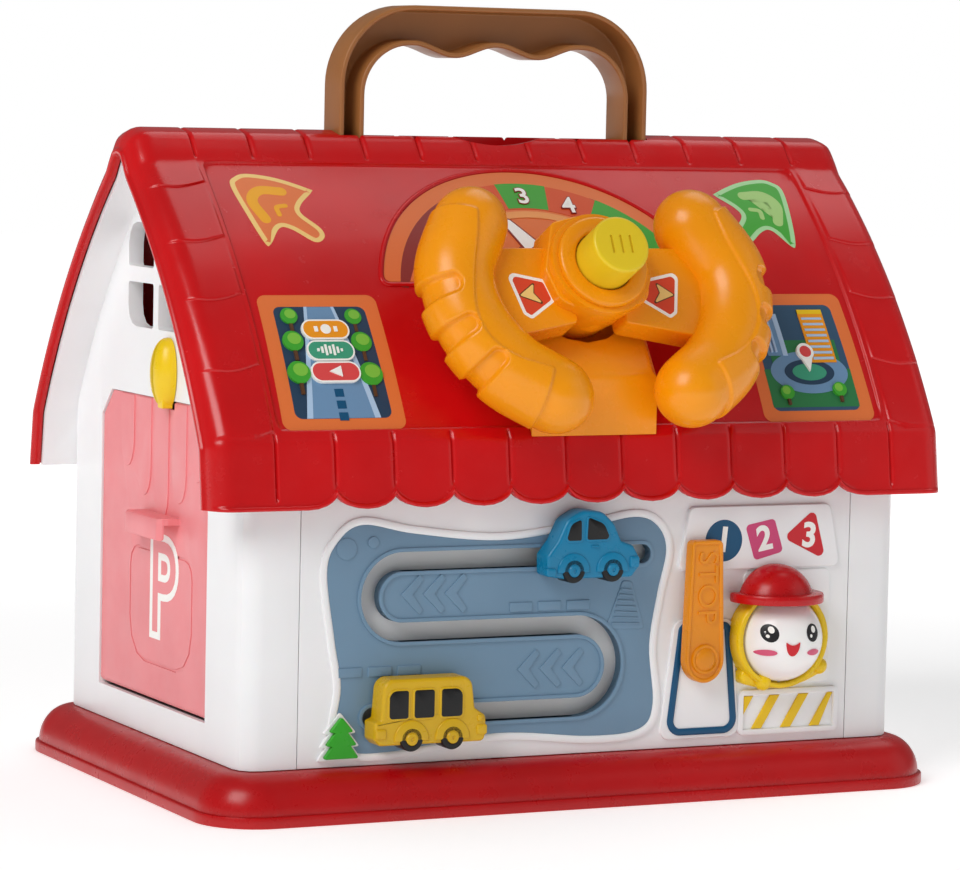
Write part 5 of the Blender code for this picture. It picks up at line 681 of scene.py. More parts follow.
flare_turn = np.linspace(0, np.pi / 2, FLARE_STEPS)
flare_reach, flare_rise = BASE_REACH - BASE_STEP - BASE_SHOULDER, BASE_HEIGHT - BASE_STEP_HEIGHT
flare = np.column_stack([BASE_SHOULDER + flare_reach * np.cos(flare_turn),
                         BASE_STEP_HEIGHT + flare_rise * np.sin(flare_turn)])
bead = [(0.0140, 0.0), (0.0158, 0.0), (0.0162, 0.0002), (0.0163, 0.0006), (0.0163, 0.0038), (0.0161, 0.0044),
        (0.0156, 0.0046), (0.0150, 0.0046)]
inside = [(0.0009, BASE_HEIGHT), (-0.0027, 0.01995), (-0.0028, 0.0201), (-0.0028, 0.0230), (-0.0043, 0.0230), (-0.0043, 0.0175)]
inner_flare = (flare[::-1] - (0.0025, 0.0) - np.column_stack([0 * flare_turn, 0.0025 * np.sin(flare_turn[::-1])]))
profile = np.concatenate([bead, flare, inside, inner_flare[1:], [(0.0138, 0.0004)]])
skirt = tube("skirt_skin", [np.column_stack([wall_plan(offset), np.full(len(wall_plan(0)), z)]) for offset, z in profile],
             base_red, "house", wrap=True, sharp=30)
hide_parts("base_skirt")
print("skirt:", len(skirt.data.polygons), "faces")

# %% [markdown]
# The handle is a channel: an arch with a wall all round and an open front,
# stiff but light. Its under side has waves for the fingers. Both lines of the
# arch are drawn once, and the rings that make the channel are that outline,
# moved inwards step by step.

# %% Carry handle
HANDLE_HALF, HANDLE_TOP, HANDLE_FOOT = 0.0725, 0.325, 0.2384
HANDLE_LEG, GRIP_UNDERSIDE = 0.0113, 0.3057
WAVE_HEIGHT, WAVE_PITCH = 0.0024, 0.039
OUTER_BEND, INNER_BEND = 0.034, 0.021
HANDLE_WALL, HANDLE_HALF_DEPTH = 0.0022, 0.0085


def handle_outline():
    """Outer arch, then back along the waved underside: a cosine between two quarter circles."""
    turn = np.linspace(0, np.pi / 2, 17)
    outer = np.concatenate([
        [(HANDLE_HALF, HANDLE_FOOT), (HANDLE_HALF, 0.262)],
        np.column_stack([HANDLE_HALF - OUTER_BEND + OUTER_BEND * np.cos(turn),
                         HANDLE_TOP - OUTER_BEND + OUTER_BEND * np.sin(turn)])])
    outer = np.concatenate([outer, outer[::-1] * (-1, 1)])
    inner_half = HANDLE_HALF - HANDLE_LEG
    crest = GRIP_UNDERSIDE + WAVE_HEIGHT
    bend = np.column_stack([-inner_half + INNER_BEND - INNER_BEND * np.cos(turn),
                            crest - INNER_BEND + INNER_BEND * np.sin(turn)])
    x = np.linspace(-inner_half + INNER_BEND, inner_half - INNER_BEND, 61)[1:-1]
    blend = smooth_step(0, 0.006, inner_half - INNER_BEND - np.abs(x))
    wave = np.column_stack([x, crest - blend * WAVE_HEIGHT * (1 - np.cos(2 * np.pi * x / WAVE_PITCH))])
    left = np.concatenate([[(-inner_half, HANDLE_FOOT), (-inner_half, 0.262)], bend])
    return np.concatenate([outer, left, wave, left[::-1] * (-1, 1)])


arch = handle_outline()
back, front = HANDLE_HALF_DEPTH, -HANDLE_HALF_DEPTH
floor_y = back - HANDLE_WALL
levels = [(0.0012, back), (0.0010, back), (0.0004, back - 0.0002), (0.0001, back - 0.0006), (0, back - 0.0011),
          (0, front + 0.0008), (0.0002, front + 0.0002), (0.0006, front), (0.0016, front), (0.0020, front + 0.0002),
          (0.0022, front + 0.0006), (HANDLE_WALL, floor_y - 0.0008), (0.0025, floor_y - 0.0002), (0.0030, floor_y),
          (0.0034, floor_y)]
rings = [np.column_stack([grown(arch, -inset)[:, 0], np.full(len(arch), y), grown(arch, -inset)[:, 1]])
         for inset, y in levels]
handle = tube("handle_skin", rings, handle_brown, "handle", sharp=50)
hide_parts("carry_handle")
for side in (-1, 1):
    near, far = sorted((side * 0.0590, side * 0.0747))
    slab("handle_foot_" + ("left" if side < 0 else "right"), filleted(box_outline(near, far, front, back), 0.001, 3),
         HANDLE_FOOT, 0.2478, 0.0006, handle_brown, "handle", UP)
print("handle:", len(handle.data.polygons), "faces")

# %% [markdown]
# The wheel sits on its own tilted frame: x is to the right, y up the wheel
# and z out towards the driver. Each grip is a tube whose radius is a height
# field over the length along it and the angle round it: a thin sleeve with a
# wavy border on its outer side, and three sunk pockets with round ends.

# %% Steering wheel grips
WHEEL_PLACE = Matrix.Translation((0, -0.1107816, 0.2228422)) @ Matrix.Rotation(math.radians(63), 4, "X")
GRIP_PATHS = {-1: ((0.0505, 0.0210), (0.0608, 0.0), (0.0583, -0.022), (0.0460, -0.0405), (0.0280, -0.0525)),
              1: ((0.0515, 0.0205), (0.0625, 0.0), (0.0610, -0.021), (0.0510, -0.039), (0.0362, -0.0508))}
GRIP_RADIUS, GRIP_LEVEL, GRIP_FLAT = 0.0167, -0.0140, -0.0254
POCKET_SHARES = (0.36, 0.53, 0.70)
POCKET_HALF, POCKET_DEPTH = 0.0033, 0.0023
SLEEVE_STEP = 0.0012


def grip_surface(side):
    """Tube with round ends along the path; radius = tube + sleeve - pockets, cut flat behind."""
    path = smooth_path(GRIP_PATHS[side], 24) * (side, 1)
    length = np.concatenate([[0], np.cumsum(np.linalg.norm(np.diff(path, axis=0), axis=1))])
    along = np.linspace(0, length[-1], 170)
    spine = np.stack([np.interp(along, length, column) for column in path.T], -1)
    heading = np.gradient(spine, axis=0)
    heading /= np.linalg.norm(heading, axis=1, keepdims=True)
    turn = np.radians(np.linspace(88.5, 4, 22))
    first = spine[0] - heading[0] * GRIP_RADIUS * np.sin(turn)[:, None]
    last = spine[-1] + heading[-1] * GRIP_RADIUS * np.sin(turn[::-1])[:, None]
    centre = np.concatenate([first, spine, last])
    ahead = np.concatenate([np.repeat(heading[:1], 22, 0), heading, np.repeat(heading[-1:], 22, 0)])
    shrink = np.concatenate([np.cos(turn), np.ones(170), np.cos(turn[::-1])])
    reach = np.concatenate([-GRIP_RADIUS * np.sin(turn), along, length[-1] + GRIP_RADIUS * np.sin(turn[::-1])])
    outward = np.stack([-ahead[:, 1], ahead[:, 0]], -1) * side
    angle = np.linspace(-np.pi, np.pi, 160, endpoint=False)
    share = reach[:, None] / length[-1]
    border = np.radians(84 + 13 * np.sin(2 * np.pi * (share - 0.05) * 1.35))
    inside_sleeve = smooth_step(-0.03, 0.03, border - angle[None]) * smooth_step(-1.9, -1.75, angle[None])
    inside_sleeve = inside_sleeve * smooth_step(0.00, 0.014, share) * (1 - smooth_step(0.962, 0.975, share + 0.03 * angle))
    radius = GRIP_RADIUS - SLEEVE_STEP + SLEEVE_STEP * inside_sleeve
    for spot in POCKET_SHARES:
        beside = (share - spot) * length[-1]
        over = np.maximum(np.abs(angle[None] - np.radians(-10)) - np.radians(70), 0) * GRIP_RADIUS
        radius = radius - POCKET_DEPTH * (1 - smooth_step(POCKET_HALF - 0.0006, POCKET_HALF + 0.0006,
                                                          np.hypot(beside, over)))
    radius = radius * shrink[:, None]
    flat = centre[:, None] + outward[:, None] * (radius * np.cos(angle))[..., None]
    height = np.maximum(GRIP_LEVEL + radius * np.sin(angle), GRIP_FLAT)
    return np.concatenate([flat, height[..., None]], -1)


for side, name in ((-1, "left_grip"), (1, "right_grip")):
    grip = tube(name, grip_surface(side), wheel_orange, "wheel", WHEEL_PLACE, sharp=60)
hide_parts("steering_wheel")
print("grip:", len(grip.data.polygons), "faces")

# %% [markdown]
# Between the grips are a round hub that narrows towards the roof, a collar
# plate behind it, two flat spokes, a bezel ring and the horn button, whose
# top has three thin slots like a little loudspeaker.

# %% Hub, spokes and horn
HUB_RADIUS, HUB_LENGTH, HUB_FOOT = 0.022, 0.0375, 0.019
BUTTON_RADIUS, BUTTON_RISE, BUTTON_EDGE = 0.0123, 0.0158, 0.0014
edge_turn = np.linspace(0, np.pi / 2, 7)
hub = turned("wheel_hub", [(0.0042, -HUB_LENGTH), (0.0165, -HUB_LENGTH), (0.0180, -0.0371), (0.0188, -0.0362),
                           (0.0194, -0.0340), (0.0218, -0.0130), (HUB_RADIUS, -0.0110), (HUB_RADIUS, -0.0034),
                           (0.0218, -0.0030), (0.0170, -0.0029), (0.0168, -0.0080), (0.0042, -0.0080)],
             wheel_orange, "wheel", WHEEL_PLACE, wrap=True, sharp=30)
collar_line = np.array([(0.0240, -0.0010), (0.0170, 0.0200), (0.0055, 0.0228), (-0.0055, 0.0228), (-0.0170, 0.0200),
                        (-0.0240, -0.0010), (-0.0200, -0.0150), (0, -0.0218), (0.0200, -0.0150)])
collar_line = filleted(collar_line, (0.004, 0.004, 0.008, 0.008, 0.004, 0.004, 0.008, 0.008, 0.008), 6)
slab("wheel_collar", collar_line, -0.0233, -0.0068, 0.0009, wheel_orange, "wheel", WHEEL_PLACE)
for side, name in ((-1, "left_spoke"), (1, "right_spoke")):
    spoke = np.array([(0.011, -0.022), (0.0605, -0.0319), (0.0605, 0.011), (0.011, 0.011)]) * (side, 1)
    slab(name, filleted(spoke[::side], 0.002, 4), -0.0245, -0.0120, 0.0008, wheel_orange, "wheel", WHEEL_PLACE)
bezel = turned("bezel_skin", [(0.0128, -0.0028), (0.0196, -0.0028), (0.0198, -0.0022), (0.0197, -0.0011), (0.0192, -0.0004),
                              (0.0183, 0.0), (0.0138, 0.0), (0.0131, -0.0003), (0.0128, -0.0008)],
               wheel_orange, "wheel", WHEEL_PLACE, wrap=True, sharp=50)
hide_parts("horn_bezel")
button_edge = np.column_stack([BUTTON_RADIUS - BUTTON_EDGE * (1 - np.cos(edge_turn)),
                               BUTTON_RISE - BUTTON_EDGE * (1 - np.sin(edge_turn))])
button = turned("button_skin", np.concatenate([[(0.0002, -0.0040), (0.0162, -0.0040), (0.0162, -0.0031), (BUTTON_RADIUS, -0.0031)],
                                               button_edge, [(0.0104, BUTTON_RISE), (0.0002, BUTTON_RISE)]]),
                button_yellow, "button", WHEEL_PLACE, sharp=50)
slots = [cutter(filleted(box_outline(x - 0.0005, x + 0.0005, -0.0040, 0.0040), 0.00045, 4), BUTTON_RISE - 0.0009, 0.02,
                WHEEL_PLACE) for x in (-0.0042, 0, 0.0042)]
carved(button, slots)
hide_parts("horn_button")
softened("wheel_pedestal", wheel_orange, "house", 0.0005)
print("hub pieces:", hub.name, bezel.name, button.name)

# %% [markdown]
# The walls keep their CAD outlines, softened at their edges. The front panel
# is rebuilt round the curved road: a plate with the openings cut through it,
# and separate raised plates and a rim with smooth outlines.

# %% Walls
FRONT = -HALF_DEPTH
for node, surface, body in (("left_wall", wall_white, "house"), ("right_wall", wall_white, "house"),
                            ("back_panel", wall_white, "house"), ("garage_door", door_pink, "door")):
    softened(node, surface, body, 0.00035)

# %% Road outline and slot
ROAD_LEFT, ROAD_RIGHT, ROAD_FOOT, ROAD_TOP = -0.1145, 0.038, 0.0245, 0.117
ROAD_SHARES = ((0.03, 0.93), (0.0, 0.80), (0.025, 0.50), (0.045, 0.30), (0.03, 0.10), (0.07, 0.02), (0.20, 0.01),
               (0.50, 0.065), (0.78, 0.03), (0.93, 0.05), (0.97, 0.16), (0.955, 0.42), (0.975, 0.65), (1.0, 0.85),
               (0.97, 0.96), (0.90, 1.0), (0.75, 0.96), (0.50, 0.915), (0.25, 0.955), (0.10, 1.0))
SLOT_ROWS = (0.1018, 0.0734, 0.0396)
SLOT_ENDS = (0.0265, -0.0945)
SLOT_TURNS = (-0.0817, -0.003)
SLOT_HALF, LIP_WIDTH, LIP_HEIGHT = 0.0039, 0.0016, 0.0009
ROAD_FACE, ROAD_BACK = 0.09885, 0.09445
FRONT_FACE = 0.09825


def closed_curve(points, steps):
    """Closed Catmull-Rom curve: the open one through the points, wrapped by two at either end."""
    points = np.asarray(points, float)
    wrapped = np.concatenate([points[-2:], points, points[:3]])
    return smooth_path(wrapped, steps)[2 * steps:(2 + len(points)) * steps]


def stroke(path, half, cap=9):
    """Outline of a thick line with round ends, counter-clockwise."""
    path = np.asarray(path, float)
    right, left = grown(path, half, closed=False), grown(path, -half, closed=False)
    ends = []
    for tip, before in ((path[-1], path[-2]), (path[0], path[1])):
        heading = math.atan2(*(tip - before)[::-1])
        turn = np.linspace(-np.pi / 2, np.pi / 2, cap + 2)[1:-1] + heading
        ends.append(tip + half * np.column_stack([np.cos(turn), np.sin(turn)]))
    return np.concatenate([right, ends[0], left[::-1], ends[1]])


road_line = closed_curve(np.array(ROAD_SHARES) * (ROAD_RIGHT - ROAD_LEFT, ROAD_TOP - ROAD_FOOT)
                         + (ROAD_LEFT, ROAD_FOOT), 8)
bend = np.linspace(0.5, 1.5, 33) * np.pi
left_turn = np.array([SLOT_TURNS[0], (SLOT_ROWS[0] + SLOT_ROWS[1]) / 2]) + (SLOT_ROWS[0] - SLOT_ROWS[1]) / 2 \
    * np.column_stack([np.cos(bend), np.sin(bend)])
right_turn = np.array([SLOT_TURNS[1], (SLOT_ROWS[1] + SLOT_ROWS[2]) / 2]) + (SLOT_ROWS[1] - SLOT_ROWS[2]) / 2 \
    * np.column_stack([-np.cos(bend), np.sin(bend)])
slot_line = np.concatenate([[(SLOT_ENDS[0], SLOT_ROWS[0])], left_turn, right_turn, [(SLOT_ENDS[1], SLOT_ROWS[2])]])
print("slot:", len(slot_line), "points")


# %% Raised outlines
def profiled(name, outline, levels, surfaces, body, place=FACING_FRONT, sharp=40, wrap=False):
    """Outline carried through (inset, height) levels: mitred insets, with flat caps or wrapped into a ring."""
    rings = [np.column_stack([grown(outline, -inset), np.full(len(outline), height)]) for inset, height in levels]
    return tube(name, rings, surfaces, body, place, sharp, wrap)


def front_plate(name, outline, low, high, edge, surface, body="house"):
    return slab(name, outline, low, high, edge, surface, body, FACING_FRONT)


# %% Front panel and its raised plates
NUMBER_PLATE = filleted([(0.043, 0.094), (0.1205, 0.094), (0.1152, 0.1205), (0.0483, 0.1205)], 0.003, 6)
LEVER_PLATE = filleted([(0.0362, 0.0238), (0.0742, 0.0238), (0.0702, 0.0735), (0.0426, 0.0735)], 0.0044, 6)
FIGURE_PLATE = filleted([(0.0750, 0.0450), (0.1176, 0.0450), (0.1166, 0.0930), (0.0750, 0.0930)], 0.0030, 6)
HAZARD_PLATE = filleted(box_outline(0.0735, 0.1215, 0.024, 0.043), 0.0026, 6)
HAZARD_BORDER = 0.0026
BALL_CENTRE, BALL_RADIUS = (0.090, -0.10325, 0.0652), 0.0182
PLATE_PROUD, LEVER_PLATE_PROUD, RIM_PROUD, RIM_WIDTH = 0.0020, 0.0012, 0.0011, 0.0032
panel = slab("front_skin", box_outline(-0.1258, 0.1258, 0.0203, 0.1545), 0.09575, FRONT_FACE, 0.0002, wall_white,
             "house", FACING_FRONT)
ball_hole = math.sqrt(BALL_RADIUS ** 2 - 0.0025 ** 2) + 0.0004
carved(panel, [cutter(grown(road_line, 0.0003), 0.09, 0.11, FACING_FRONT),
               cutter(circle(ball_hole, 64, centre=(0.090, 0.0652)), 0.09, 0.11, FACING_FRONT)])
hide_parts("front_panel")
rim_edge = 0.0007
profiled("road_rim", road_line, [(0.0, 0.0970), (0.0, FRONT_FACE + RIM_PROUD - rim_edge),
                                 (-0.0005, FRONT_FACE + RIM_PROUD - 0.0002), (-0.0010, FRONT_FACE + RIM_PROUD),
                                 (-0.0025, FRONT_FACE + RIM_PROUD), (-0.0030, FRONT_FACE + RIM_PROUD - 0.0002),
                                 (-RIM_WIDTH, FRONT_FACE + RIM_PROUD - rim_edge), (-RIM_WIDTH, 0.0970)],
         wall_white, "house", wrap=True)
front_plate("number_plate", NUMBER_PLATE, 0.0970, FRONT_FACE + PLATE_PROUD, 0.0006, wall_white)
front_plate("lever_plate", LEVER_PLATE, 0.0970, FRONT_FACE + LEVER_PLATE_PROUD, 0.0005, wall_white)
profiled("hazard_plate", HAZARD_PLATE, [(0, 0.0970), (0, FRONT_FACE + 0.0015), (0.0001, FRONT_FACE + 0.0018),
                                        (0.0005, FRONT_FACE + PLATE_PROUD), (0.0021, FRONT_FACE + PLATE_PROUD),
                                        (0.0023, FRONT_FACE + 0.0018), (0.0024, FRONT_FACE + 0.0015),
                                        (0.0024, 0.0970)], wall_white, "house", wrap=True)
figure_plate = front_plate("figure_plate", FIGURE_PLATE, 0.0970, FRONT_FACE + 0.0008, 0.0004, wall_white)
carved(figure_plate, [cutter(circle(ball_hole, 64, centre=(0.090, 0.0652)), 0.09, 0.11, FACING_FRONT)])
turned("lever_boss", [(0.0002, 0.0970), (0.0069, 0.0970), (0.0069, 0.1015), (0.0065, 0.10175), (0.0002, 0.10175)],
       wall_white, "house", Matrix.Translation((0.0531, 0, 0.0579)) @ FACING_FRONT, 48)
print("front panel:", len(panel.data.polygons), "faces")

# %% Road panel
road = slab("road_skin", road_line, ROAD_BACK, ROAD_FACE, 0.0004, road_slate, "house", FACING_FRONT)
carved(road, [cutter(stroke(slot_line, SLOT_HALF), 0.09, 0.11, FACING_FRONT)])
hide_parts("road_panel")
slot_edge = stroke(slot_line, SLOT_HALF)
lip_top = ROAD_FACE + LIP_HEIGHT
profiled("slot_lip", slot_edge, [(0, ROAD_BACK + 0.0003), (0, lip_top - 0.0004), (-0.0001, lip_top - 0.0001),
                                 (-0.0005, lip_top), (-0.0011, lip_top), (-0.0015, lip_top - 0.0001),
                                 (-LIP_WIDTH, lip_top - 0.0004), (-LIP_WIDTH, ROAD_FACE - 0.0003)],
         road_slate, "house", wrap=True)
print("road:", len(road.data.polygons), "faces")

# %% [markdown]
# The road has the marks of a street pressed into its moulding: chevrons,
# dashes, a ribbed triangle and two dots. They are thin raised shapes here.


# %% Road marks
def flat_marks(name, outlines, low, high, edge, surface, body="house", place=FACING_FRONT):
    """Several raised outlines as one piece: each is a slab, all joined into one mesh."""
    items = [slab(name + str(i), outline, low, high, edge, surface, body, place, 3) for i, outline in enumerate(outlines)]
    shape = bmesh.new()
    for item in items:
        shape.from_mesh(item.data)
    mesh = bpy.data.meshes.new(name)
    shape.to_mesh(mesh)
    shape.free()
    mesh.materials.append(surface)
    mesh.set_sharp_from_angle(angle=math.radians(40))
    for item in items[1:]:
        bpy.data.objects.remove(item)
    items[0].data = mesh
    items[0].name = name
    return items[0]


def chevron(x, z):
    """Arrowhead band that points to the left: two bars with square-cut ends meet at the tip."""
    return np.array([(0, 0), (8.0, -8.0), (9.9, -6.2), (5.2, 0), (9.9, 6.2), (8.0, 8.0)]) * 0.001 + (x, z)


MARK_HEIGHT = 0.0006
chevrons = [chevron(x, 0.0884) for x in (-0.0823, -0.0726, -0.0629)]
chevrons += [chevron(x, 0.0561) for x in (-0.0296, -0.0196, -0.0094)]
dashes = [box_outline(x, x + 0.0102, 0.0798, 0.0836) for x in (-0.0337, -0.0208, -0.0077)]
dashes += [box_outline(x, x + 0.0102, 0.0561, 0.0599) for x in (-0.1091, -0.0961, -0.0832)]
dots = [circle(0.0044, 48, centre=(-0.1064, 0.1076)), circle(0.0024, 36, centre=(-0.0948, 0.1099))]
flat_marks("road_marks", chevrons + dashes + dots, ROAD_FACE - 0.0002, ROAD_FACE + MARK_HEIGHT, 0.00025, road_slate)
cone = filleted([(0.0102, 0.0712), (0.0286, 0.0706), (0.0222, 0.0905), (0.0178, 0.0910)], 0.0014, 5)
front_plate("road_cone", cone, ROAD_FACE - 0.0002, ROAD_FACE + 0.0004, 0.00025, road_slate)
rib_rise = np.linspace(0.0735, 0.0875, 7)
rib_reach = np.interp(rib_rise, (0.071, 0.091), (0.0072, 0.0014))
ribs = [np.array([(-reach, 0.0004), (-reach, -0.0003), (reach, -0.0009), (reach, -0.0002)]) + (0.0194, rise)
        for rise, reach in zip(rib_rise, rib_reach)]
flat_marks("road_cone_ribs", ribs, ROAD_FACE, ROAD_FACE + 0.0009, 0.00012, road_slate)
print("marks:", len(chevrons + dashes + dots))

# %% [markdown]
# Both cars are reliefs: a slab with a rounded front edge, glossy black windows
# and tyres, and hubs in the colour of the body.

# %% Cars
CAR_BACK, CAR_FACE, CAR_EDGE = 0.10035, 0.11035, 0.0014
WHEEL_RADIUS = 0.0050
CAR_HALF, CAR_RISE, CAR_DROP = 0.02125, 0.020, 0.008
BUS_HALF, BUS_RISE, BUS_DROP = 0.02475, 0.0166, 0.010
CAR_PLACE = Matrix.Translation((-0.002, 0, 0.1018)) @ FACING_FRONT
BUS_PLACE = Matrix.Translation((-0.073, 0, 0.0396)) @ FACING_FRONT
CAR_SHARES = ((-0.96, -0.85), (-0.6, -1.0), (0.86, -1.0), (1.0, -0.55), (1.0, 0.02), (0.88, 0.24), (0.62, 0.34),
              (0.46, 0.70), (0.20, 0.95), (-0.22, 1.0), (-0.56, 0.80), (-0.76, 0.36), (-0.97, 0.08))


def road_wheels(name, spots, place, paint, body):
    """Tyre and hub for each (x, z): turned rings with rounded shoulders, standing a little proud of the body."""
    for number, (x, z) in enumerate(spots):
        spot = place @ Matrix.Translation((x, z, 0))
        turned(name + "_tyre_%d" % number, [(0.0002, CAR_BACK + 0.0012), (0.0047, CAR_BACK + 0.0012), (WHEEL_RADIUS, CAR_BACK + 0.0016),
                                            (WHEEL_RADIUS, CAR_FACE + 0.0002), (0.0048, CAR_FACE + 0.0007), (0.0043, CAR_FACE + 0.0008),
                                            (0.0028, CAR_FACE + 0.0008), (0.0026, CAR_FACE + 0.0006), (0.0002, CAR_FACE + 0.0006)],
               part_black, body, spot, 48)
        turned(name + "_hub_%d" % number, [(0.0002, CAR_FACE), (0.0024, CAR_FACE), (0.0025, CAR_FACE + 0.0011), (0.0022, CAR_FACE + 0.0015),
                                           (0.0009, CAR_FACE + 0.0016), (0.0007, CAR_FACE + 0.0012), (0.0002, CAR_FACE + 0.0012)],
               paint, body, spot, 40)


car_line = np.array(CAR_SHARES)
car_line = car_line * (CAR_HALF, CAR_RISE) * np.where(car_line[:, 1:] > 0, 1, (1, CAR_DROP / CAR_RISE))
car_line = filleted(car_line, (0.002, 0.002, 0.002, 0.002, 0.0015, 0.002, 0.0015, 0.006, 0.006, 0.008, 0.006, 0.003, 0.002), 6)
car = slab("car_skin", car_line, CAR_BACK, CAR_FACE, CAR_EDGE, car_blue, "blue_car", CAR_PLACE, 7)
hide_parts("blue_car")
car_windows = [filleted(np.array([(-12.4, 7.6), (-5.6, 7.6), (-5.8, 16.2), (-10.4, 14.4)]) * 0.001, (0.0012, 0.0008, 0.0008, 0.004), 6),
               filleted(np.array([(-3.0, 7.8), (7.6, 7.8), (4.6, 14.2), (-2.6, 17.0)]) * 0.001, (0.0008, 0.0014, 0.005, 0.0008), 6)]
flat_marks("car_window_frames", [grown(w, 0.0008) for w in car_windows], CAR_FACE - 0.001, CAR_FACE + 0.0004, 0.0003,
           car_blue, "blue_car", CAR_PLACE)
flat_marks("car_windows", car_windows, CAR_FACE - 0.001, CAR_FACE + 0.00055, 0.0001, window_black, "blue_car", CAR_PLACE)


def arch(x, z, radius):
    """Upper part of a disc over a wheel."""
    turn = np.linspace(-0.12, np.pi + 0.12, 33)
    return np.column_stack([x + radius * np.cos(turn), z + radius * np.sin(turn)])


CAR_AXLES = ((-0.0088, -0.0047), (0.0089, -0.0047))
BUS_AXLES = ((-0.0088, -0.0076), (0.0092, -0.0076))
car_trim = [arch(x, z, 0.0073) for x, z in CAR_AXLES]
car_trim += [filleted(box_outline(*corner), 0.0012, 5) for corner in ((-0.0212, -0.0166, -0.0068, -0.0032),
                                                                     (0.0168, 0.0212, -0.0042, 0.0006))]
car_trim += [filleted(box_outline(-0.0010, 0.0026, 0.0046, 0.0055), 0.0004, 4)]
flat_marks("car_trim", car_trim, CAR_FACE - 0.003, CAR_FACE + 0.0008, 0.0007, car_blue, "blue_car", CAR_PLACE)
road_wheels("car", CAR_AXLES, CAR_PLACE, car_blue, "blue_car")
bus_line = filleted(np.array([(-22.2, -10), (23.4, -10), (24.7, -6.5), (24.3, 0.4), (19.4, 3.6), (17.8, 16.6), (-20.8, 16.6),
                              (-22.0, 0.4), (-24.7, -0.6), (-24.7, -7.4)]) * 0.001,
                    (0.0015, 0.0020, 0.0015, 0.0025, 0.0012, 0.0048, 0.0048, 0.0010, 0.0009, 0.0015), 7)
bus = slab("bus_skin", bus_line, CAR_BACK, CAR_FACE, CAR_EDGE, bus_yellow, "bus", BUS_PLACE, 7)
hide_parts("yellow_bus")
bus_windows = [filleted(box_outline(left, right, 0.0008, 0.0120), corners, 6) for left, right, corners in (
    (-0.0187, -0.0104, (0.0014, 0.0010, 0.0010, 0.0032)), (-0.0077, 0.0010, 0.0011), (0.0042, 0.0134, (0.0010, 0.0014, 0.0032, 0.0010)))]
flat_marks("bus_window_frames", [grown(w, 0.0008) for w in bus_windows], CAR_FACE - 0.001, CAR_FACE + 0.0004, 0.0003,
           bus_yellow, "bus", BUS_PLACE)
flat_marks("bus_windows", bus_windows, CAR_FACE - 0.001, CAR_FACE + 0.00055, 0.0001, window_black, "bus", BUS_PLACE)
bus_trim = [arch(x, z, 0.0076) for x, z in BUS_AXLES]
bus_trim += [filleted(box_outline(*corner), 0.0010, 5) for corner in ((-0.0246, -0.0198, -0.0072, -0.0030), (0.0200, 0.0246, -0.0072, -0.0030),
                                                                     (0.0202, 0.0226, -0.0018, 0.0010))]
flat_marks("bus_trim", bus_trim, CAR_FACE - 0.003, CAR_FACE + 0.0008, 0.0007, bus_yellow, "bus", BUS_PLACE)
road_wheels("bus", BUS_AXLES, BUS_PLACE, bus_yellow, "bus")
print("cars:", car.name, bus.name)

# %% Tree, lever and latch
TREE_SHARES = ((-0.5, 0.0), (0.5, 0.0), (1.0, 0.0), (0.52, 0.30), (0.86, 0.32), (0.36, 0.62), (0.66, 0.64), (0.0, 1.0),
               (-0.66, 0.64), (-0.36, 0.62), (-0.86, 0.32), (-0.52, 0.30), (-1.0, 0.0))
tree_line = np.array(TREE_SHARES) * (0.0078, 0.0168) + (-0.1082, 0.024)
tree_round = (0, 0, 0.0006, 0, 0.0005, 0, 0.0005, 0.0008, 0.0005, 0, 0.0005, 0, 0.0006)
front_plate("tree_edge", filleted(grown(tree_line, 0.0011), tree_round, 4), 0.0970, 0.09965, 0.0003, wall_white)
tree = front_plate("tree_skin", filleted(tree_line, tree_round, 4), 0.09995, 0.10195, 0.0003, tree_green)
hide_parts("tree_badge")
LEVER_PLACE = Matrix.Translation((0.0531, 0, 0.0579)) @ FACING_FRONT
LEVER_BACK, LEVER_FACE = 0.10205, 0.10705
foot_turn = np.linspace(np.pi, 2 * np.pi, 33)
lever_line = np.concatenate([np.column_stack([0.0089 * np.cos(foot_turn), 0.00986 * np.sin(foot_turn)]),
                             filleted([(0.0089, 0.0), (0.0072, 0.0493), (-0.0072, 0.0493), (-0.0089, 0.0)],
                                      (0, 0.0022, 0.0022, 0), 6)[1:-1]])
lever = profiled("lever_skin", lever_line, [(0, LEVER_BACK), (0, LEVER_FACE - 0.0006), (0.0002, LEVER_FACE - 0.0001),
                                            (0.0006, LEVER_FACE), (0.0012, LEVER_FACE), (0.0016, LEVER_FACE - 0.0002),
                                            (0.0018, LEVER_FACE - 0.0006), (0.0023, LEVER_FACE - 0.0006)],
                 lever_orange, "lever", LEVER_PLACE)
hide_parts("stop_lever")
turned("lever_knob", [(0.0002, 0.1050), (0.0062, 0.1050), (0.0062, 0.1072), (0.0060, 0.1075), (0.0055, 0.1076), (0.0050, 0.1075),
                      (0.0047, 0.1073), (0.0033, 0.1085), (0.0030, 0.1086), (0.0002, 0.1086)], lever_orange, "lever", LEVER_PLACE, 64)
LATCH_SPOT = (-0.0165, 0.1721884)


def leaf_ring(share):
    """Lens outline in (y, z) that narrows to a ridge as the share rises; the ridge bows out and dies at both tips."""
    turn = np.linspace(0, np.pi, 33)
    turn = np.concatenate([turn, turn[-2:0:-1]])
    side = np.where(np.arange(64) < 33, 1, -1)
    across = 0.0086 * math.cos(share * math.radians(82)) * np.sin(turn) ** 0.9 * side
    bow = 0.0074 * math.sin(share * np.pi / 2) * np.sin(turn) ** 0.75
    return np.column_stack([-0.1503 - bow, LATCH_SPOT[0] + across, LATCH_SPOT[1] - 0.0145 * np.cos(turn)])


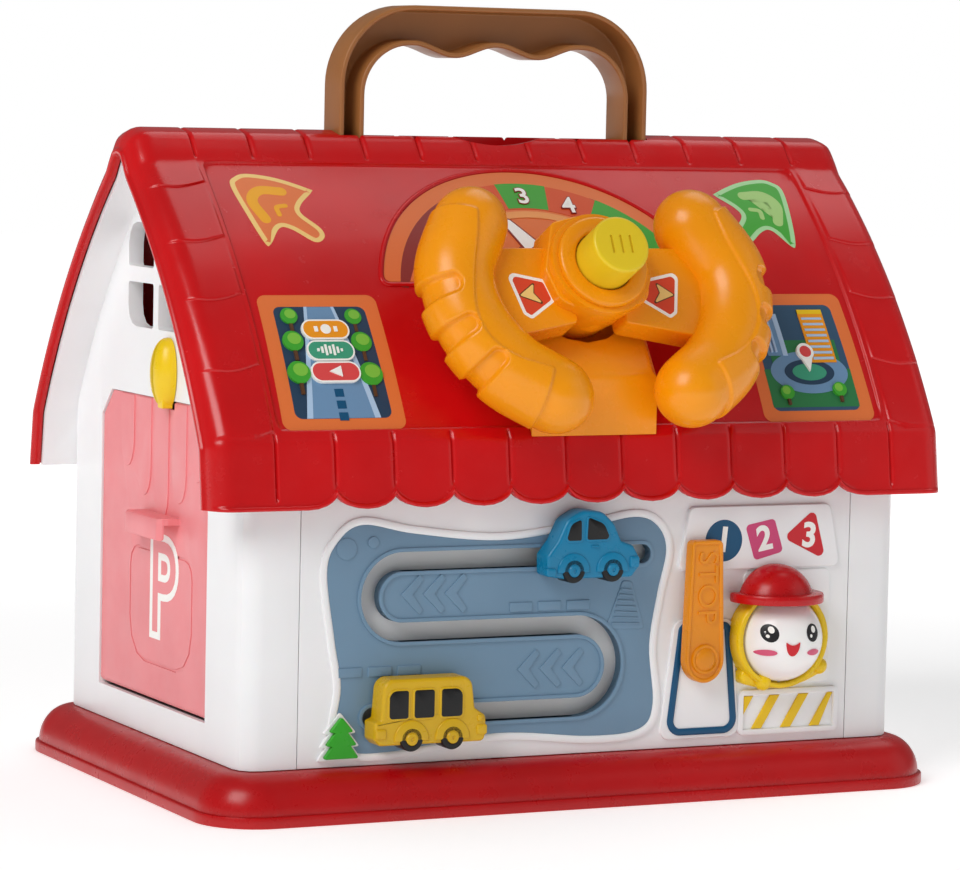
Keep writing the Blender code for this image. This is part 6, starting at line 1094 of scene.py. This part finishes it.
latch = tube("latch_skin", [leaf_ring(s) for s in (0, 0.12, 0.25, 0.4, 0.55, 0.7, 0.85, 1.0)], ring_yellow, "latch", sharp=50)
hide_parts("door_latch")
TO_LEFT = Matrix(((0, 0, -1), (1, 0, 0), (0, 1, 0))).to_4x4()
slab("latch_tab", filleted(box_outline(-0.0210, -0.0155, 0.1579, 0.1645), 0.0009, 4), 0.1503, 0.1548, 0.0006, ring_yellow,
     "latch", TO_LEFT)
turned("latch_shaft", [(0.0002, 0.1450), (0.0025, 0.1450), (0.0025, 0.1510), (0.0002, 0.1510)], ring_yellow, "latch",
       Matrix.Translation((0, *LATCH_SPOT)) @ TO_LEFT, 32)
print("lever and latch:", lever.name, latch.name)

# %% [markdown]
# The little figure is a white ball that spins in a yellow ring, with a red
# cap fixed over it. Ring, ball and cap are surfaces of revolution, the cap
# stretched to an oval and flattened where it meets the wall.

# %% Ring, ball and cap
BALL_PLACE = Matrix.Translation(BALL_CENTRE)
ring_turn = np.linspace(0, 2 * np.pi, 129)[:-1]
section = np.array([(0.0, 0.09855), (1.0, 0.09855), (1.0, 0.1056), (0.96, 0.1065), (0.86, 0.1072), (0.72, 0.10755), (0.28, 0.10755),
                    (0.14, 0.1072), (0.04, 0.1065), (0.0, 0.1056)])
inner_reach, outer_x, outer_z = BALL_RADIUS + 0.0005, 0.0219, 0.0210
reach_x = inner_reach + section[:, :1] * (outer_x - inner_reach)
reach_z = inner_reach + section[:, :1] * (outer_z - inner_reach)
rings = np.stack([BALL_CENTRE[0] + reach_x * np.cos(ring_turn), -np.broadcast_to(section[:, 1:], (len(section), 128)),
                  BALL_CENTRE[2] + reach_z * np.sin(ring_turn)], -1)
ring = tube("ring_skin", rings, ring_yellow, "house", wrap=True)
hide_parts("figure_ring")
low = BALL_CENTRE[2] - 0.0210
arm = [(0.0752, 0.0492), (0.0830, 0.0475), (0.0925, 0.0475), (0.1005, 0.0488), (0.1088, 0.0522)]
front_plate("figure_arm", stroke(smooth_path(arm, 6), 0.0034), 0.0986, 0.1043, 0.0018, ring_yellow)
ball_turn = np.linspace(0.01, np.pi - 0.01, 41)
ball_profile = np.column_stack([np.sin(ball_turn), -np.cos(ball_turn)])
for name, spot in (("left_hand", (0.0819, -0.1048, 0.0470)), ("right_hand", (0.1094, -0.1036, 0.0526))):
    turned(name, ball_profile[::2] * 0.0036, ring_yellow, "house", Matrix.Translation(spot), 40)
ball = turned("ball_skin", ball_profile * BALL_RADIUS, ball_white, "ball", BALL_PLACE, 96)
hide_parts("face_ball")
CAP_X, CAP_FOOT = 0.0878, 0.0807
cap_turn = np.linspace(0, np.pi / 2 - 0.02, 22)
cap_dome = np.column_stack([np.cos(cap_turn), np.sin(cap_turn)])
brim = [(0.78, 0.0), (0.985, 0.0), (1.0, 0.0004), (1.0, 0.0026), (0.985, 0.0031), (0.96, 0.0032)]


def cap_rings(pairs, half_x, half_y, rise):
    """Ellipses from (share, height) pairs, held in front of the wall."""
    turn = np.linspace(0, 2 * np.pi, 96, endpoint=False)
    rows = [np.column_stack([CAP_X + s * half_x * np.cos(turn), np.minimum(BALL_CENTRE[1] + s * half_y * np.sin(turn), -0.10055),
                             np.full(96, CAP_FOOT + h * rise)]) for s, h in pairs]
    return np.array(rows)


cap = tube("cap_skin", cap_rings(cap_dome, 0.0163, 0.015, 0.0155), cap_red, "house")
tube("cap_brim", cap_rings(brim, 0.0203, 0.0198, 1.2), cap_red, "house")
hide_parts("figure_cap")
print("figure:", ring.name, ball.name, cap.name)

# %% [markdown]
# Labels are thin stickers and pad prints. Each is a stack of flat shapes, a
# few hundredths of a millimetre apart. A shape is cut into strips, so that it
# can bend, and a place function lays it on the slope, a wall or the ball.


# %% Label ink and placing
def label_ink(name, code, cloud=0.03):
    """Offset-printed vinyl: glossy film over ink with a faint mottle about half a millimetre wide."""
    surface = bpy.data.materials.new(name)
    surface.use_nodes = True
    tree = surface.node_tree
    shader = tree.nodes["Principled BSDF"]
    shader.inputs["IOR"].default_value = 1.5
    shader.inputs["Specular IOR Level"].default_value = 0.3
    shader.inputs["Coat Weight"].default_value = 0.1
    shader.inputs["Coat Roughness"].default_value = 0.12
    place = add_node(tree, "ShaderNodeTexCoord").outputs["Object"]
    mottle = add_node(tree, "ShaderNodeTexNoise", {"Scale": 1 / MOTTLE_SIZE, "Detail": 2.0}, {"Vector": place})
    tint = add_node(tree, "ShaderNodeValToRGB", links={"Fac": mottle.outputs["Fac"]})
    colour = linear(code)
    tint.color_ramp.elements[0].color = (*[c * (1 - cloud) for c in colour[:3]], 1)
    tint.color_ramp.elements[1].color = (*[min(1, c * (1 + cloud)) for c in colour[:3]], 1)
    tree.links.new(tint.outputs["Color"], shader.inputs["Base Color"])
    gloss = add_node(tree, "ShaderNodeMapRange", {"To Min": 0.34, "To Max": 0.46}, {"Value": mottle.outputs["Fac"]})
    tree.links.new(gloss.outputs["Result"], shader.inputs["Roughness"])
    return surface


MOTTLE_SIZE = 0.0006
INK_CODES = {"white": "#FBFBF6", "dark red": "#8E2A22", "orange": "#E5763A", "vermilion": "#D9501C", "peach": "#F0A05A",
             "green": "#3FA62F", "deep green": "#2C7A46", "leaf": "#7CC142", "pale green": "#A9DCA0", "lime": "#A6CF7A",
             "mint": "#3E9E7C", "amber": "#F09A1A", "sand": "#F5CF7E", "gold": "#F2A900", "navy": "#0B5078", "night": "#26405A",
             "dusk": "#33536F", "road blue": "#6D93B8", "sky": "#AFCBE8", "coral": "#DD4B4B", "rose": "#D2477A", "red": "#CF1F2B",
             "pink": "#D9587A", "pink door": "#F08C90", "black": "#17171A", "yellow": "#EFC618", "brown": "#5A3B24", "label red": "#DE4A2C"}
INK = {name: label_ink(name + " label ink", code) for name, code in INK_CODES.items()}
STRIP = 0.004
FILM = 0.00005


def on_panel(points):
    """(x, run, lift) to the sunk panel of the front slope."""
    return on_slope(points[:, 0], points[:, 1], points[:, 2] - PANEL_DEPTH)


def on_front(face):
    """(x, z, lift) to a plane that faces the front, at a given distance before the axis."""
    return lambda p: np.column_stack([p[:, 0], -face - p[:, 2], p[:, 1]])


def on_door(p):
    """(across, z, lift) to the garage door, seen from outside: across runs towards the front."""
    return np.column_stack([-0.1492 - p[:, 2], -p[:, 0], p[:, 1]])


def on_wheel(level):
    """(u, v, lift) to a plane of the wheel's frame."""
    turn = np.array(WHEEL_PLACE)
    return lambda p: (p + (0, 0, level)) @ turn[:3, :3].T + turn[:3, 3]


def on_ball(p):
    """(x, z, lift) from the ball's centre, pushed forward to the sphere: y = -sqrt(r^2 - x^2 - z^2)."""
    depth = np.sqrt((BALL_RADIUS + p[:, 2]) ** 2 - p[:, 0] ** 2 - p[:, 1] ** 2)
    return np.column_stack([BALL_CENTRE[0] + p[:, 0], BALL_CENTRE[1] - depth, BALL_CENTRE[2] + p[:, 1]])


def text_shape(words, size, bold=0.0, middle=(0, 0), turn=0.0):
    """Words as a flat mesh: a centred text curve, thickened by its offset, turned and moved."""
    curve = bpy.data.curves.new("words", "FONT")
    curve.body, curve.size, curve.offset = words, size, bold
    curve.align_x, curve.align_y = "CENTER", "CENTER"
    curve.resolution_u = 6
    item = bpy.data.objects.new("words", curve)
    shape = bmesh.new()
    shape.from_mesh(item.to_mesh())
    item.to_mesh_clear()
    bpy.data.objects.remove(item)
    shape.transform(Matrix.Translation((*middle, 0)) @ Matrix.Rotation(turn, 4, "Z"))
    bmesh.ops.remove_doubles(shape, verts=shape.verts, dist=0.00001)
    return shape


def outline_shape(outline):
    shape = bmesh.new()
    shape.faces.new([shape.verts.new((*point, 0)) for point in np.asarray(outline, float)])
    bmesh.ops.triangulate(shape, faces=shape.faces)
    return shape


def printed(name, layers, place, body, mirror=False):
    """Stack of (shape, ink) layers laid on the model: each is cut in strips, thickened and bent by the place."""
    points, faces, marks, surfaces = [], [], [], []
    start = 0
    for level, (source, ink) in enumerate(layers):
        shape = source if isinstance(source, bmesh.types.BMesh) else outline_shape(source)
        for axis in ((1, 0, 0), (0, 1, 0)):
            values = [v.co.dot(Vector(axis)) for v in shape.verts]
            for cut in np.arange(math.ceil(min(values) / STRIP) * STRIP, max(values), STRIP):
                bmesh.ops.bisect_plane(shape, geom=shape.verts[:] + shape.edges[:] + shape.faces[:],
                                       plane_co=Vector(axis) * float(cut), plane_no=axis)
        solid = bmesh.ops.extrude_face_region(shape, geom=shape.faces[:])
        top = [v for v in solid["geom"] if isinstance(v, bmesh.types.BMVert)]
        bmesh.ops.translate(shape, verts=top, vec=(0, 0, FILM * (level + 2)))
        mesh = bpy.data.meshes.new("layer")
        shape.to_mesh(mesh)
        shape.free()
        flat = np.empty(len(mesh.vertices) * 3)
        mesh.vertices.foreach_get("co", flat)
        points.append(flat.reshape(-1, 3))
        faces += [[start + index for index in face.vertices] for face in mesh.polygons]
        if INK[ink] not in surfaces:
            surfaces.append(INK[ink])
        marks += [surfaces.index(INK[ink])] * len(mesh.polygons)
        start += len(mesh.vertices)
        bpy.data.meshes.remove(mesh)
    points = np.concatenate(points)
    if mirror:
        points[:, 0] *= -1
    mesh = bpy.data.meshes.new(name)
    mesh.from_pydata(place(points).tolist(), [], faces)
    for surface in surfaces:
        mesh.materials.append(surface)
    mesh.polygons.foreach_set("material_index", np.array(marks, dtype=np.int32))
    shape = bmesh.new()
    shape.from_mesh(mesh)
    bmesh.ops.recalc_face_normals(shape, faces=shape.faces)
    shape.to_mesh(mesh)
    shape.free()
    item = bpy.data.objects.new(name, mesh)
    bpy.context.scene.collection.objects.link(item)
    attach(item, body)
    return item


# %% [markdown]
# The dial is a fan under a red rim: an orange border, dark crescents, a band
# of fields with numbers, a pale arc, and a white needle on a dark hub.

# %% Number dial
DIAL_CENTRE_RUN, DIAL_FOOT_RUN, DIAL_RADIUS = 0.10496, 0.09136, 0.07996


def fan(radius, foot, start=-math.pi, end=0.0, corner=0.004):
    """Arc over a straight foot in (x, run), its two corners cut by a quadratic curve."""
    drop = math.asin((DIAL_CENTRE_RUN - foot) / radius)
    trim = corner / radius
    turn = np.linspace(-math.pi + drop + trim, -drop - trim, 121)
    over = np.column_stack([radius * np.cos(turn), DIAL_CENTRE_RUN + radius * np.sin(turn)])
    half = radius * math.cos(drop)
    share = np.linspace(0, 1, 9)[1:-1, None]
    right = np.array([(over[-1]), (half, foot), (half - corner, foot)])
    curve = right[0] * (1 - share) ** 2 + right[1] * 2 * share * (1 - share) + right[2] * share ** 2
    under = np.column_stack([np.linspace(half - corner, -half + corner, 41), np.full(41, foot)])
    return np.concatenate([over, curve, under, curve[::-1] * (-1, 1)])


def sector(inner, outer, start, end, centre=(0, DIAL_CENTRE_RUN), steps=25):
    """Part of a ring between two radii; angles in degrees from straight up, clockwise."""
    turn = np.radians(np.linspace(start, end, steps))
    ray = np.column_stack([np.sin(turn), -np.cos(turn)])
    return np.concatenate([np.array(centre) + ray * outer, (np.array(centre) + ray * inner)[::-1]])


def crescent(side):
    """Dark sickle between the border and the number band: the ring's width follows a sine."""
    turn = np.radians(np.linspace(28, 79, 40)) * side
    width = 0.0065 * np.sin(np.linspace(0.15, math.pi * 0.86, 40)) ** 0.8
    ray = np.column_stack([np.sin(turn), -np.cos(turn)])
    centre = np.array((0, DIAL_CENTRE_RUN))
    return np.concatenate([centre + ray * 0.0705, (centre + ray * (0.0705 - width)[:, None])[::-1]])


def numeral(words, middle, size):
    """White figure over a dark, slightly bolder one; runs count downwards, so the figure is flipped."""
    pair = []
    for bold, ink in ((0.085, "dark red"), (0.03, "white")):
        shape = text_shape(words, size, bold * size * 0.55)
        bmesh.ops.scale(shape, vec=(1, -1, 1), verts=shape.verts)
        bmesh.ops.translate(shape, vec=(*middle, 0), verts=shape.verts)
        pair.append((shape, ink))
    return pair


def lifted(outline, lift):
    """Points of a ring on the slope."""
    return on_slope(outline[:, 0], outline[:, 1], lift - PANEL_DEPTH)


rim_line = fan(DIAL_RADIUS, DIAL_FOOT_RUN, corner=0.006)
rim_levels = [(0.0, -0.0004), (0.0, 0.0004), (0.0002, 0.0007), (0.0006, 0.0009), (0.0012, 0.0009), (0.0017, 0.0007),
              (0.0020, 0.0004), (0.0020, -0.0004)]
tube("dial_rim", [lifted(grown(rim_line, -inset), lift) for inset, lift in rim_levels], roof_red, "house", wrap=True)
dial = [(fan(0.0777, 0.0889), "orange"), (crescent(-1), "dark red"), (crescent(1), "dark red"),
        (sector(0.0555, 0.0703, -24, 66), "vermilion"),
        (sector(0.0560, 0.0706, -7.5, 11.5), "green"), (sector(0.0560, 0.0706, 30, 62), "green"),
        (sector(0.0505, 0.0541, -66, 66), "peach"), (sector(0, 0.0110, -90, 90, (-0.003, 0.0800))[:25], "dark red")]
needle = np.array([(-0.0131, 0.0573), (-0.0099, 0.0552), (0.0002, 0.0690), (-0.0065, 0.0730)])
dial.append((filleted(grown(needle, 0.0007), (0.0024, 0.0024, 0, 0), 6), "dark red"))
dial.append((filleted(needle, (0.0018, 0.0018, 0, 0), 6), "white"))
for words, middle in (("2", (-0.0192, 0.0462)), ("3", (0.0014, 0.0425)), ("4", (0.0212, 0.0478))):
    dial += numeral(words, middle, 0.0125)
printed("dial_label", dial, on_panel, "house")
print("dial layers:", len(dial))

# %% [markdown]
# Two arrow stickers point along the wheel's turn. Each is one soft outline, drawn again a little smaller inside itself,
# with two pale strokes like a reflection.

# %% Arrow stickers
LEFT_ARROW = [(-129.3, 37.0), (-126.0, 31.8), (-120.0, 30.0), (-108.0, 32.4), (-95.2, 38.6), (-94.6, 40.6), (-101.2, 47.6),
              (-102.6, 52.9), (-96.4, 61.0), (-96.2, 66.0), (-101.0, 68.3), (-109.4, 61.6), (-114.6, 61.0), (-120.6, 69.4),
              (-123.2, 69.0), (-126.8, 54.0)]
for name, line, inks, strokes in (
        ("left_arrow", LEFT_ARROW[::-1], ("sand", "orange", "gold"),
         ([(-119.4, 56.0), (-122.4, 46.0), (-117.6, 40.0), (-108.0, 40.4)], [(-112.6, 53.6), (-112.6, 49.6), (-108.6, 48.6)])),
        ("right_arrow", [(0.6 - x, run) for x, run in LEFT_ARROW], ("pale green", "green", "lime"),
         ([(108.6, 40.4), (118.2, 40.0), (123.0, 46.0), (120.0, 56.0)], [(109.2, 48.6), (113.2, 49.6), (113.2, 53.6)]))):
    soft = closed_curve(np.array(line) * 0.001, 6)
    turn_sign = np.sign(np.sum(soft[:, 0] * np.roll(soft[:, 1], -1) - np.roll(soft[:, 0], -1) * soft[:, 1]))
    layers = [(soft, inks[0]), (grown(soft, -0.0022 * turn_sign), inks[1])]
    layers += [(stroke(smooth_path(np.array(points) * 0.001, 6), half), inks[2])
               for points, half in zip(strokes, (0.0024, 0.0011))]
    printed(name, layers, on_panel, "house")

# %% [markdown]
# The two picture stickers are plain street scenes of our own: a road with
# three round-ended signs between bushes, and a block of flats by a pond.


# %% Picture stickers
def pill(x, run, half_x, half_run):
    return filleted(box_outline(x - half_x, x + half_x, run - half_run, run + half_run), min(half_x, half_run) * 0.96, 7)


def frame_card(side):
    """Rounded card whose sides lean a little, and the window in it."""
    card = np.array([(82.5, 95.6), (134.4, 95.6), (135.4, 157.4), (82.0, 157.4)]) * 0.001
    view = np.array([(88.6, 101.3), (128.6, 101.3), (129.4, 152.4), (87.4, 152.4)]) * 0.001
    return [filleted(card, 0.0040, 6), filleted(view, 0.0032, 6)]


card, view = frame_card(1)
road_view = [(card, "orange"), (view, "night")]
road_view += [(np.array([(-6.5, 101.4), (6.5, 101.4), (16.0, 152.3), (-16.0, 152.3)]) * 0.001 + (0.1085, 0), "road blue"),
              (np.array([(-6.5, 101.4), (-5.2, 101.4), (-13.4, 152.3), (-16.0, 152.3)]) * 0.001 + (0.1085, 0), "sky"),
              (np.array([(5.2, 101.4), (6.5, 101.4), (16.0, 152.3), (13.4, 152.3)]) * 0.001 + (0.1085, 0), "sky")]
road_view += [(box_outline(0.1066, 0.1104, run, run + 0.0034), "navy") for run in (0.1395, 0.1447, 0.1499)]
for x, run, size in ((0.0946, 0.1062, 0.0036), (0.0938, 0.1182, 0.0044), (0.0930, 0.1330, 0.0050),
                     (0.1226, 0.1060, 0.0036), (0.1236, 0.1178, 0.0044), (0.1242, 0.1322, 0.0048)):
    road_view += [(box_outline(x - 0.0007, x + 0.0007, run, run + size * 2.0), "brown"),
                  (circle(size, 36, size * 1.02, (x, run)), "green"),
                  (circle(size * 0.66, 30, size * 0.6, (x - size * 0.15, run - size * 0.22)), "leaf")]
for run, half, ink in ((0.1128, 0.0096, "amber"), (0.1226, 0.0096, "mint"), (0.1324, 0.0100, "coral")):
    road_view += [(pill(0.1085, run, half + 0.0007, 0.0046), "white"), (pill(0.1085, run, half, 0.0039), ink)]
road_view += [(circle(0.0022, 30, centre=(0.1085, 0.1128)), "white"),
              (box_outline(0.1035, 0.1050, 0.1116, 0.1140), "white"), (box_outline(0.1120, 0.1135, 0.1116, 0.1140), "white")]
road_view += [(box_outline(0.1034 + 0.0017 * k, 0.1043 + 0.0017 * k, 0.1226 - tall, 0.1226 + tall), "white")
              for k, tall in enumerate((0.0006, 0.0014, 0.0024, 0.0017, 0.0024, 0.0014, 0.0006))]
road_view += [(np.array([(0.1062, 0.1300), (0.1062, 0.1348), (0.1114, 0.1324)]), "white")]
printed("left_picture", road_view, on_panel, "house", mirror=True)
town_view = [(card, "orange"), (view, "dusk"), (box_outline(0.0876, 0.1292, 0.1330, 0.1508), "deep green"),
             (box_outline(0.0925, 0.1255, 0.1190, 0.1330), "deep green")]
town_view += [(circle(0.0185, 60, 0.0100, (0.1090, 0.1345)), "road blue"), (circle(0.0120, 50, 0.0060, (0.1090, 0.1345)), "night"),
              (circle(0.0082, 44, 0.0040, (0.1090, 0.1345)), "mint")]
town_view += [(box_outline(0.0915, 0.0985, 0.1045, 0.1265), "road blue"), (box_outline(0.0985, 0.1008, 0.1060, 0.1265), "sky"),
              (box_outline(0.1115, 0.1235, 0.1040, 0.1300), "amber"), (box_outline(0.1115, 0.1235, 0.1040, 0.1062), "yellow")]
town_view += [(box_outline(0.1126, 0.1224, run, run + 0.0011), "sky") for run in np.arange(0.1080, 0.1285, 0.0028)]
town_view += [(box_outline(x, x + 0.0009, 0.1062, 0.1250), "sky") for x in (0.0930, 0.0950)]
for x, run in ((0.0955, 0.1440), (0.1210, 0.1430)):
    town_view += [(box_outline(x - 0.0006, x + 0.0006, run, run + 0.0058), "brown"), (circle(0.0032, 30, centre=(x, run)), "green"),
                  (circle(0.0019, 24, centre=(x - 0.0005, run - 0.0007)), "leaf")]
town_view += [(np.array([(0.1058, 0.1268), (0.1122, 0.1268), (0.1090, 0.1345)]), "white"), (circle(0.0040, 36, centre=(0.1090, 0.1252)), "white"),
              (circle(0.0027, 30, centre=(0.1090, 0.1252)), "coral")]
printed("right_picture", town_view, on_panel, "house")

# %% [markdown]
# Small prints on the front: a figure in each of three shapes, a blue line round the barrier's plate, and yellow bars on
# the hazard plate. The moulded word on the barrier is raised, and the letter on the door is a thin print.

# %% Front prints
NUMBER_FACE = FRONT_FACE + PLATE_PROUD
spots = {"1": (0.0642, 0.1062), "2": (0.0835, 0.1063), "3": (0.1050, 0.1070)}
square = np.array([(74.3, 112.2), (79.1, 97.5), (92.7, 100.9), (88.1, 114.8)]) * 0.001
triangle = np.array([(107.4, 118.4), (92.6, 106.6), (113.4, 96.6)]) * 0.001
numbers = [(circle(0.0087, 64, centre=spots["1"]), "navy"), (filleted(square, 0.0018, 6), "rose"),
           (filleted(triangle, (0.0022, 0.0022, 0.0022), 6), "red")]
for words, lean in (("1", -0.10), ("2", 0.18), ("3", -0.08)):
    numbers.append((text_shape(words, 0.0142, 0.00045, spots[words], lean), "white"))
printed("number_print", numbers, on_front(NUMBER_FACE), "house")
blue_line = filleted([(0.0391, 0.0254), (0.0731, 0.0254), (0.0686, 0.0722), (0.0446, 0.0722)], (0.0062, 0.0062, 0.0034, 0.0034), 8)
profiled("plate_line", blue_line, [(0, 0.0992), (0, 0.09990), (0.0002, 0.10015), (0.0008, 0.10030), (0.0021, 0.10030),
                                   (0.0027, 0.10015), (0.0029, 0.09990), (0.0029, 0.0992)], INK["navy"], "house", wrap=True)
low, high = 0.024 + HAZARD_BORDER, 0.043 - HAZARD_BORDER
bars = [np.array([(x, low), (x + 0.0046, low), (x + 0.0046 + 0.0085, high), (x + 0.0085, high)]) for x in
        (0.0665, 0.0802, 0.0942, 0.1081)]
left, right = 0.0735 + HAZARD_BORDER, 0.1215 - HAZARD_BORDER
bars[0] = np.array([(left, low + 0.0065), (left, low), (0.0711 + 0.0005, low), (0.0796, high), (0.0750, high)])[2:] if False else \
    np.array([(left, 0.0328), (0.0806, high), (left, high)])
bars = [bars[0]] + [np.column_stack([np.clip(bar[:, 0], left, right), bar[:, 1]]) for bar in bars[1:]]
flat_marks("hazard_bars", bars, 0.0980, 0.0998, 0.0002, INK["yellow"])
front_plate("hazard_field", box_outline(left - 0.0002, right + 0.0002, low - 0.0002, high + 0.0002), 0.0975, 0.09900, 0.0001,
            wall_white)


# %% Raised words
def raised(name, words, size, bold, middle, turn, surface, place, body, height):
    """Words as a thin raised solid of the same plastic."""
    shape = text_shape(words, size, bold, middle, turn)
    solid = bmesh.ops.extrude_face_region(shape, geom=shape.faces[:])
    bmesh.ops.translate(shape, verts=[v for v in solid["geom"] if isinstance(v, bmesh.types.BMVert)], vec=(0, 0, height))
    mesh = bpy.data.meshes.new(name)
    bmesh.ops.recalc_face_normals(shape, faces=shape.faces)
    shape.to_mesh(mesh)
    shape.free()
    flat = np.empty(len(mesh.vertices) * 3)
    mesh.vertices.foreach_get("co", flat)
    mesh.vertices.foreach_set("co", place(flat.reshape(-1, 3)).ravel())
    mesh.materials.append(surface)
    item = bpy.data.objects.new(name, mesh)
    bpy.context.scene.collection.objects.link(item)
    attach(item, body)
    return item


raised("stop_word", "STOP", 0.0128, 0.0, (0.0533, 0.0876), -math.pi / 2, lever_orange, on_front(LEVER_FACE - 0.0008), "lever", 0.0008)
ring_p = [text_shape("P", 0.0560, 0.0030), text_shape("P", 0.0560, 0.0)]
printed("door_letter", [(ring_p[0], "white"), (ring_p[1], "pink door")], lambda p: on_door(p * (1.05, 1, 1) + (0.0103, 0.0808, 0)), "door")

# %% [markdown]
# The ball's face is a plain doll's face: two eyes, two cheeks and a smile.

# %% Face
eye = [(circle(0.0031, 40, 0.0037, (0, 0)), "black"), (circle(0.0011, 24, 0.0014, (0.0004, 0.0014)), "white"),
       (circle(0.0006, 20, 0.0007, (-0.0010, -0.0012)), "white")]
face = [(shape * (wide, 1) + (x, 0.0038), ink) for x, wide in ((-0.0118, 0.95), (0.0064, 1.05)) for shape, ink in eye]
face += [(circle(wide, 40, 0.0013, (x, -0.0044)), "pink") for x, wide in ((-0.0128, 0.0034), (0.0072, 0.0034))]
smile_turn = np.linspace(0, -np.pi, 25)
smile = np.column_stack([0.0029 * np.cos(smile_turn), 0.0058 * np.sin(smile_turn)])
sag = np.column_stack([np.linspace(-0.0029, 0.0029, 13)[1:-1], -0.0012 * np.cos(np.linspace(-np.pi / 2, np.pi / 2, 13))[1:-1]])
face.append((np.concatenate([smile, sag]) + (-0.0034, 0.0002), "red"))
printed("ball_face", face, on_ball, "ball")

# %% Spoke prints
shield = np.array([(-39.5, 0.4), (-34.9, -18.4), (-31.6, -20.6), (-19.6, -12.7), (-22.5, -3.3)]) * 0.001
pointer = np.array([(-35.2, -10.2), (-25.4, -13.8), (-28.9, -9.2), (-28.0, -5.0)]) * 0.001
prints = [(filleted(shield, (0.0026, 0.0018, 0.0018, 0.0022, 0.0022), 6), "white"),
          (filleted(grown(shield, -0.0014), (0.0018, 0.0010, 0.0010, 0.0014, 0.0014), 6), "label red"),
          (filleted(grown(pointer, 0.0004), 0.0006, 4), "brown"), (filleted(pointer, 0.0004, 4), "sand")]
for name, flip in (("left_spoke_print", False), ("right_spoke_print", True)):
    printed(name, prints, on_wheel(-0.0120), "wheel", flip)
print("prints done")

# %% [markdown]
# What is left of the frame keeps its CAD shape: screws, cells and other
# parts that show only from below or not at all. They get their real
# finishes through their material slots.


# %% Other finishes
def metal(name, code, roughness, scratch):
    """Plated or rolled metal: a default-IOR conductor with fine streaks in its roughness."""
    surface = bpy.data.materials.new(name)
    surface.use_nodes = True
    tree = surface.node_tree
    shader = tree.nodes["Principled BSDF"]
    shader.inputs["Metallic"].default_value = 1.0
    place = add_node(tree, "ShaderNodeTexCoord").outputs["Object"]
    streaks = add_node(tree, "ShaderNodeTexNoise", {"Scale": 1 / scratch, "Detail": 4.0}, {"Vector": place})
    tint = add_node(tree, "ShaderNodeValToRGB", links={"Fac": streaks.outputs["Fac"]})
    colour = linear(code)
    tint.color_ramp.elements[0].color = (*[c * 0.8 for c in colour[:3]], 1)
    tint.color_ramp.elements[1].color = colour
    tree.links.new(tint.outputs["Color"], shader.inputs["Base Color"])
    gloss = add_node(tree, "ShaderNodeMapRange", {"To Min": roughness * 0.7, "To Max": roughness * 1.4},
                     {"Value": streaks.outputs["Fac"]})
    tree.links.new(gloss.outputs["Result"], shader.inputs["Roughness"])
    return surface


zinc = metal("zinc-plated steel", "#B9BDC2", 0.32, 0.0008)
cell_jacket = moulded_plastic("printed cell jacket", "#3C6E58", 0.35)
board_green = moulded_plastic("solder-masked fibreglass", "#1F5B38", 0.35)
cone_grey = moulded_plastic("pressed paper cone", "#4A4744", 0.85, grain=0.00008)
FINISHES = {zinc: ("base_screw_1", "base_screw_2", "base_screw_3", "base_screw_4", "lever_pin", "latch_washer",
                   "shaft_retainer", "face_axle"),
            cell_jacket: ("battery_cell_1", "battery_cell_2", "battery_cell_3"), board_green: ("circuit_board",),
            cone_grey: ("speaker",), part_black: ("horn_switch", "power_switch"),
            under_red: ("bottom_plate", "battery_cover", "handle_guide"), inner_white: ("battery_box", "garage_bay", "track_floor",
                                                                                       "blue_car_slider", "yellow_bus_slider", "wheel_shaft")}
for surface, nodes in FINISHES.items():
    for node in nodes:
        mesh = bpy.data.objects[node].data
        for index in range(max(1, len(mesh.materials))):
            if len(mesh.materials) <= index:
                mesh.materials.append(surface)
            else:
                mesh.materials[index] = surface
print("CAD nodes finished:", sum(len(nodes) for nodes in FINISHES.values()))
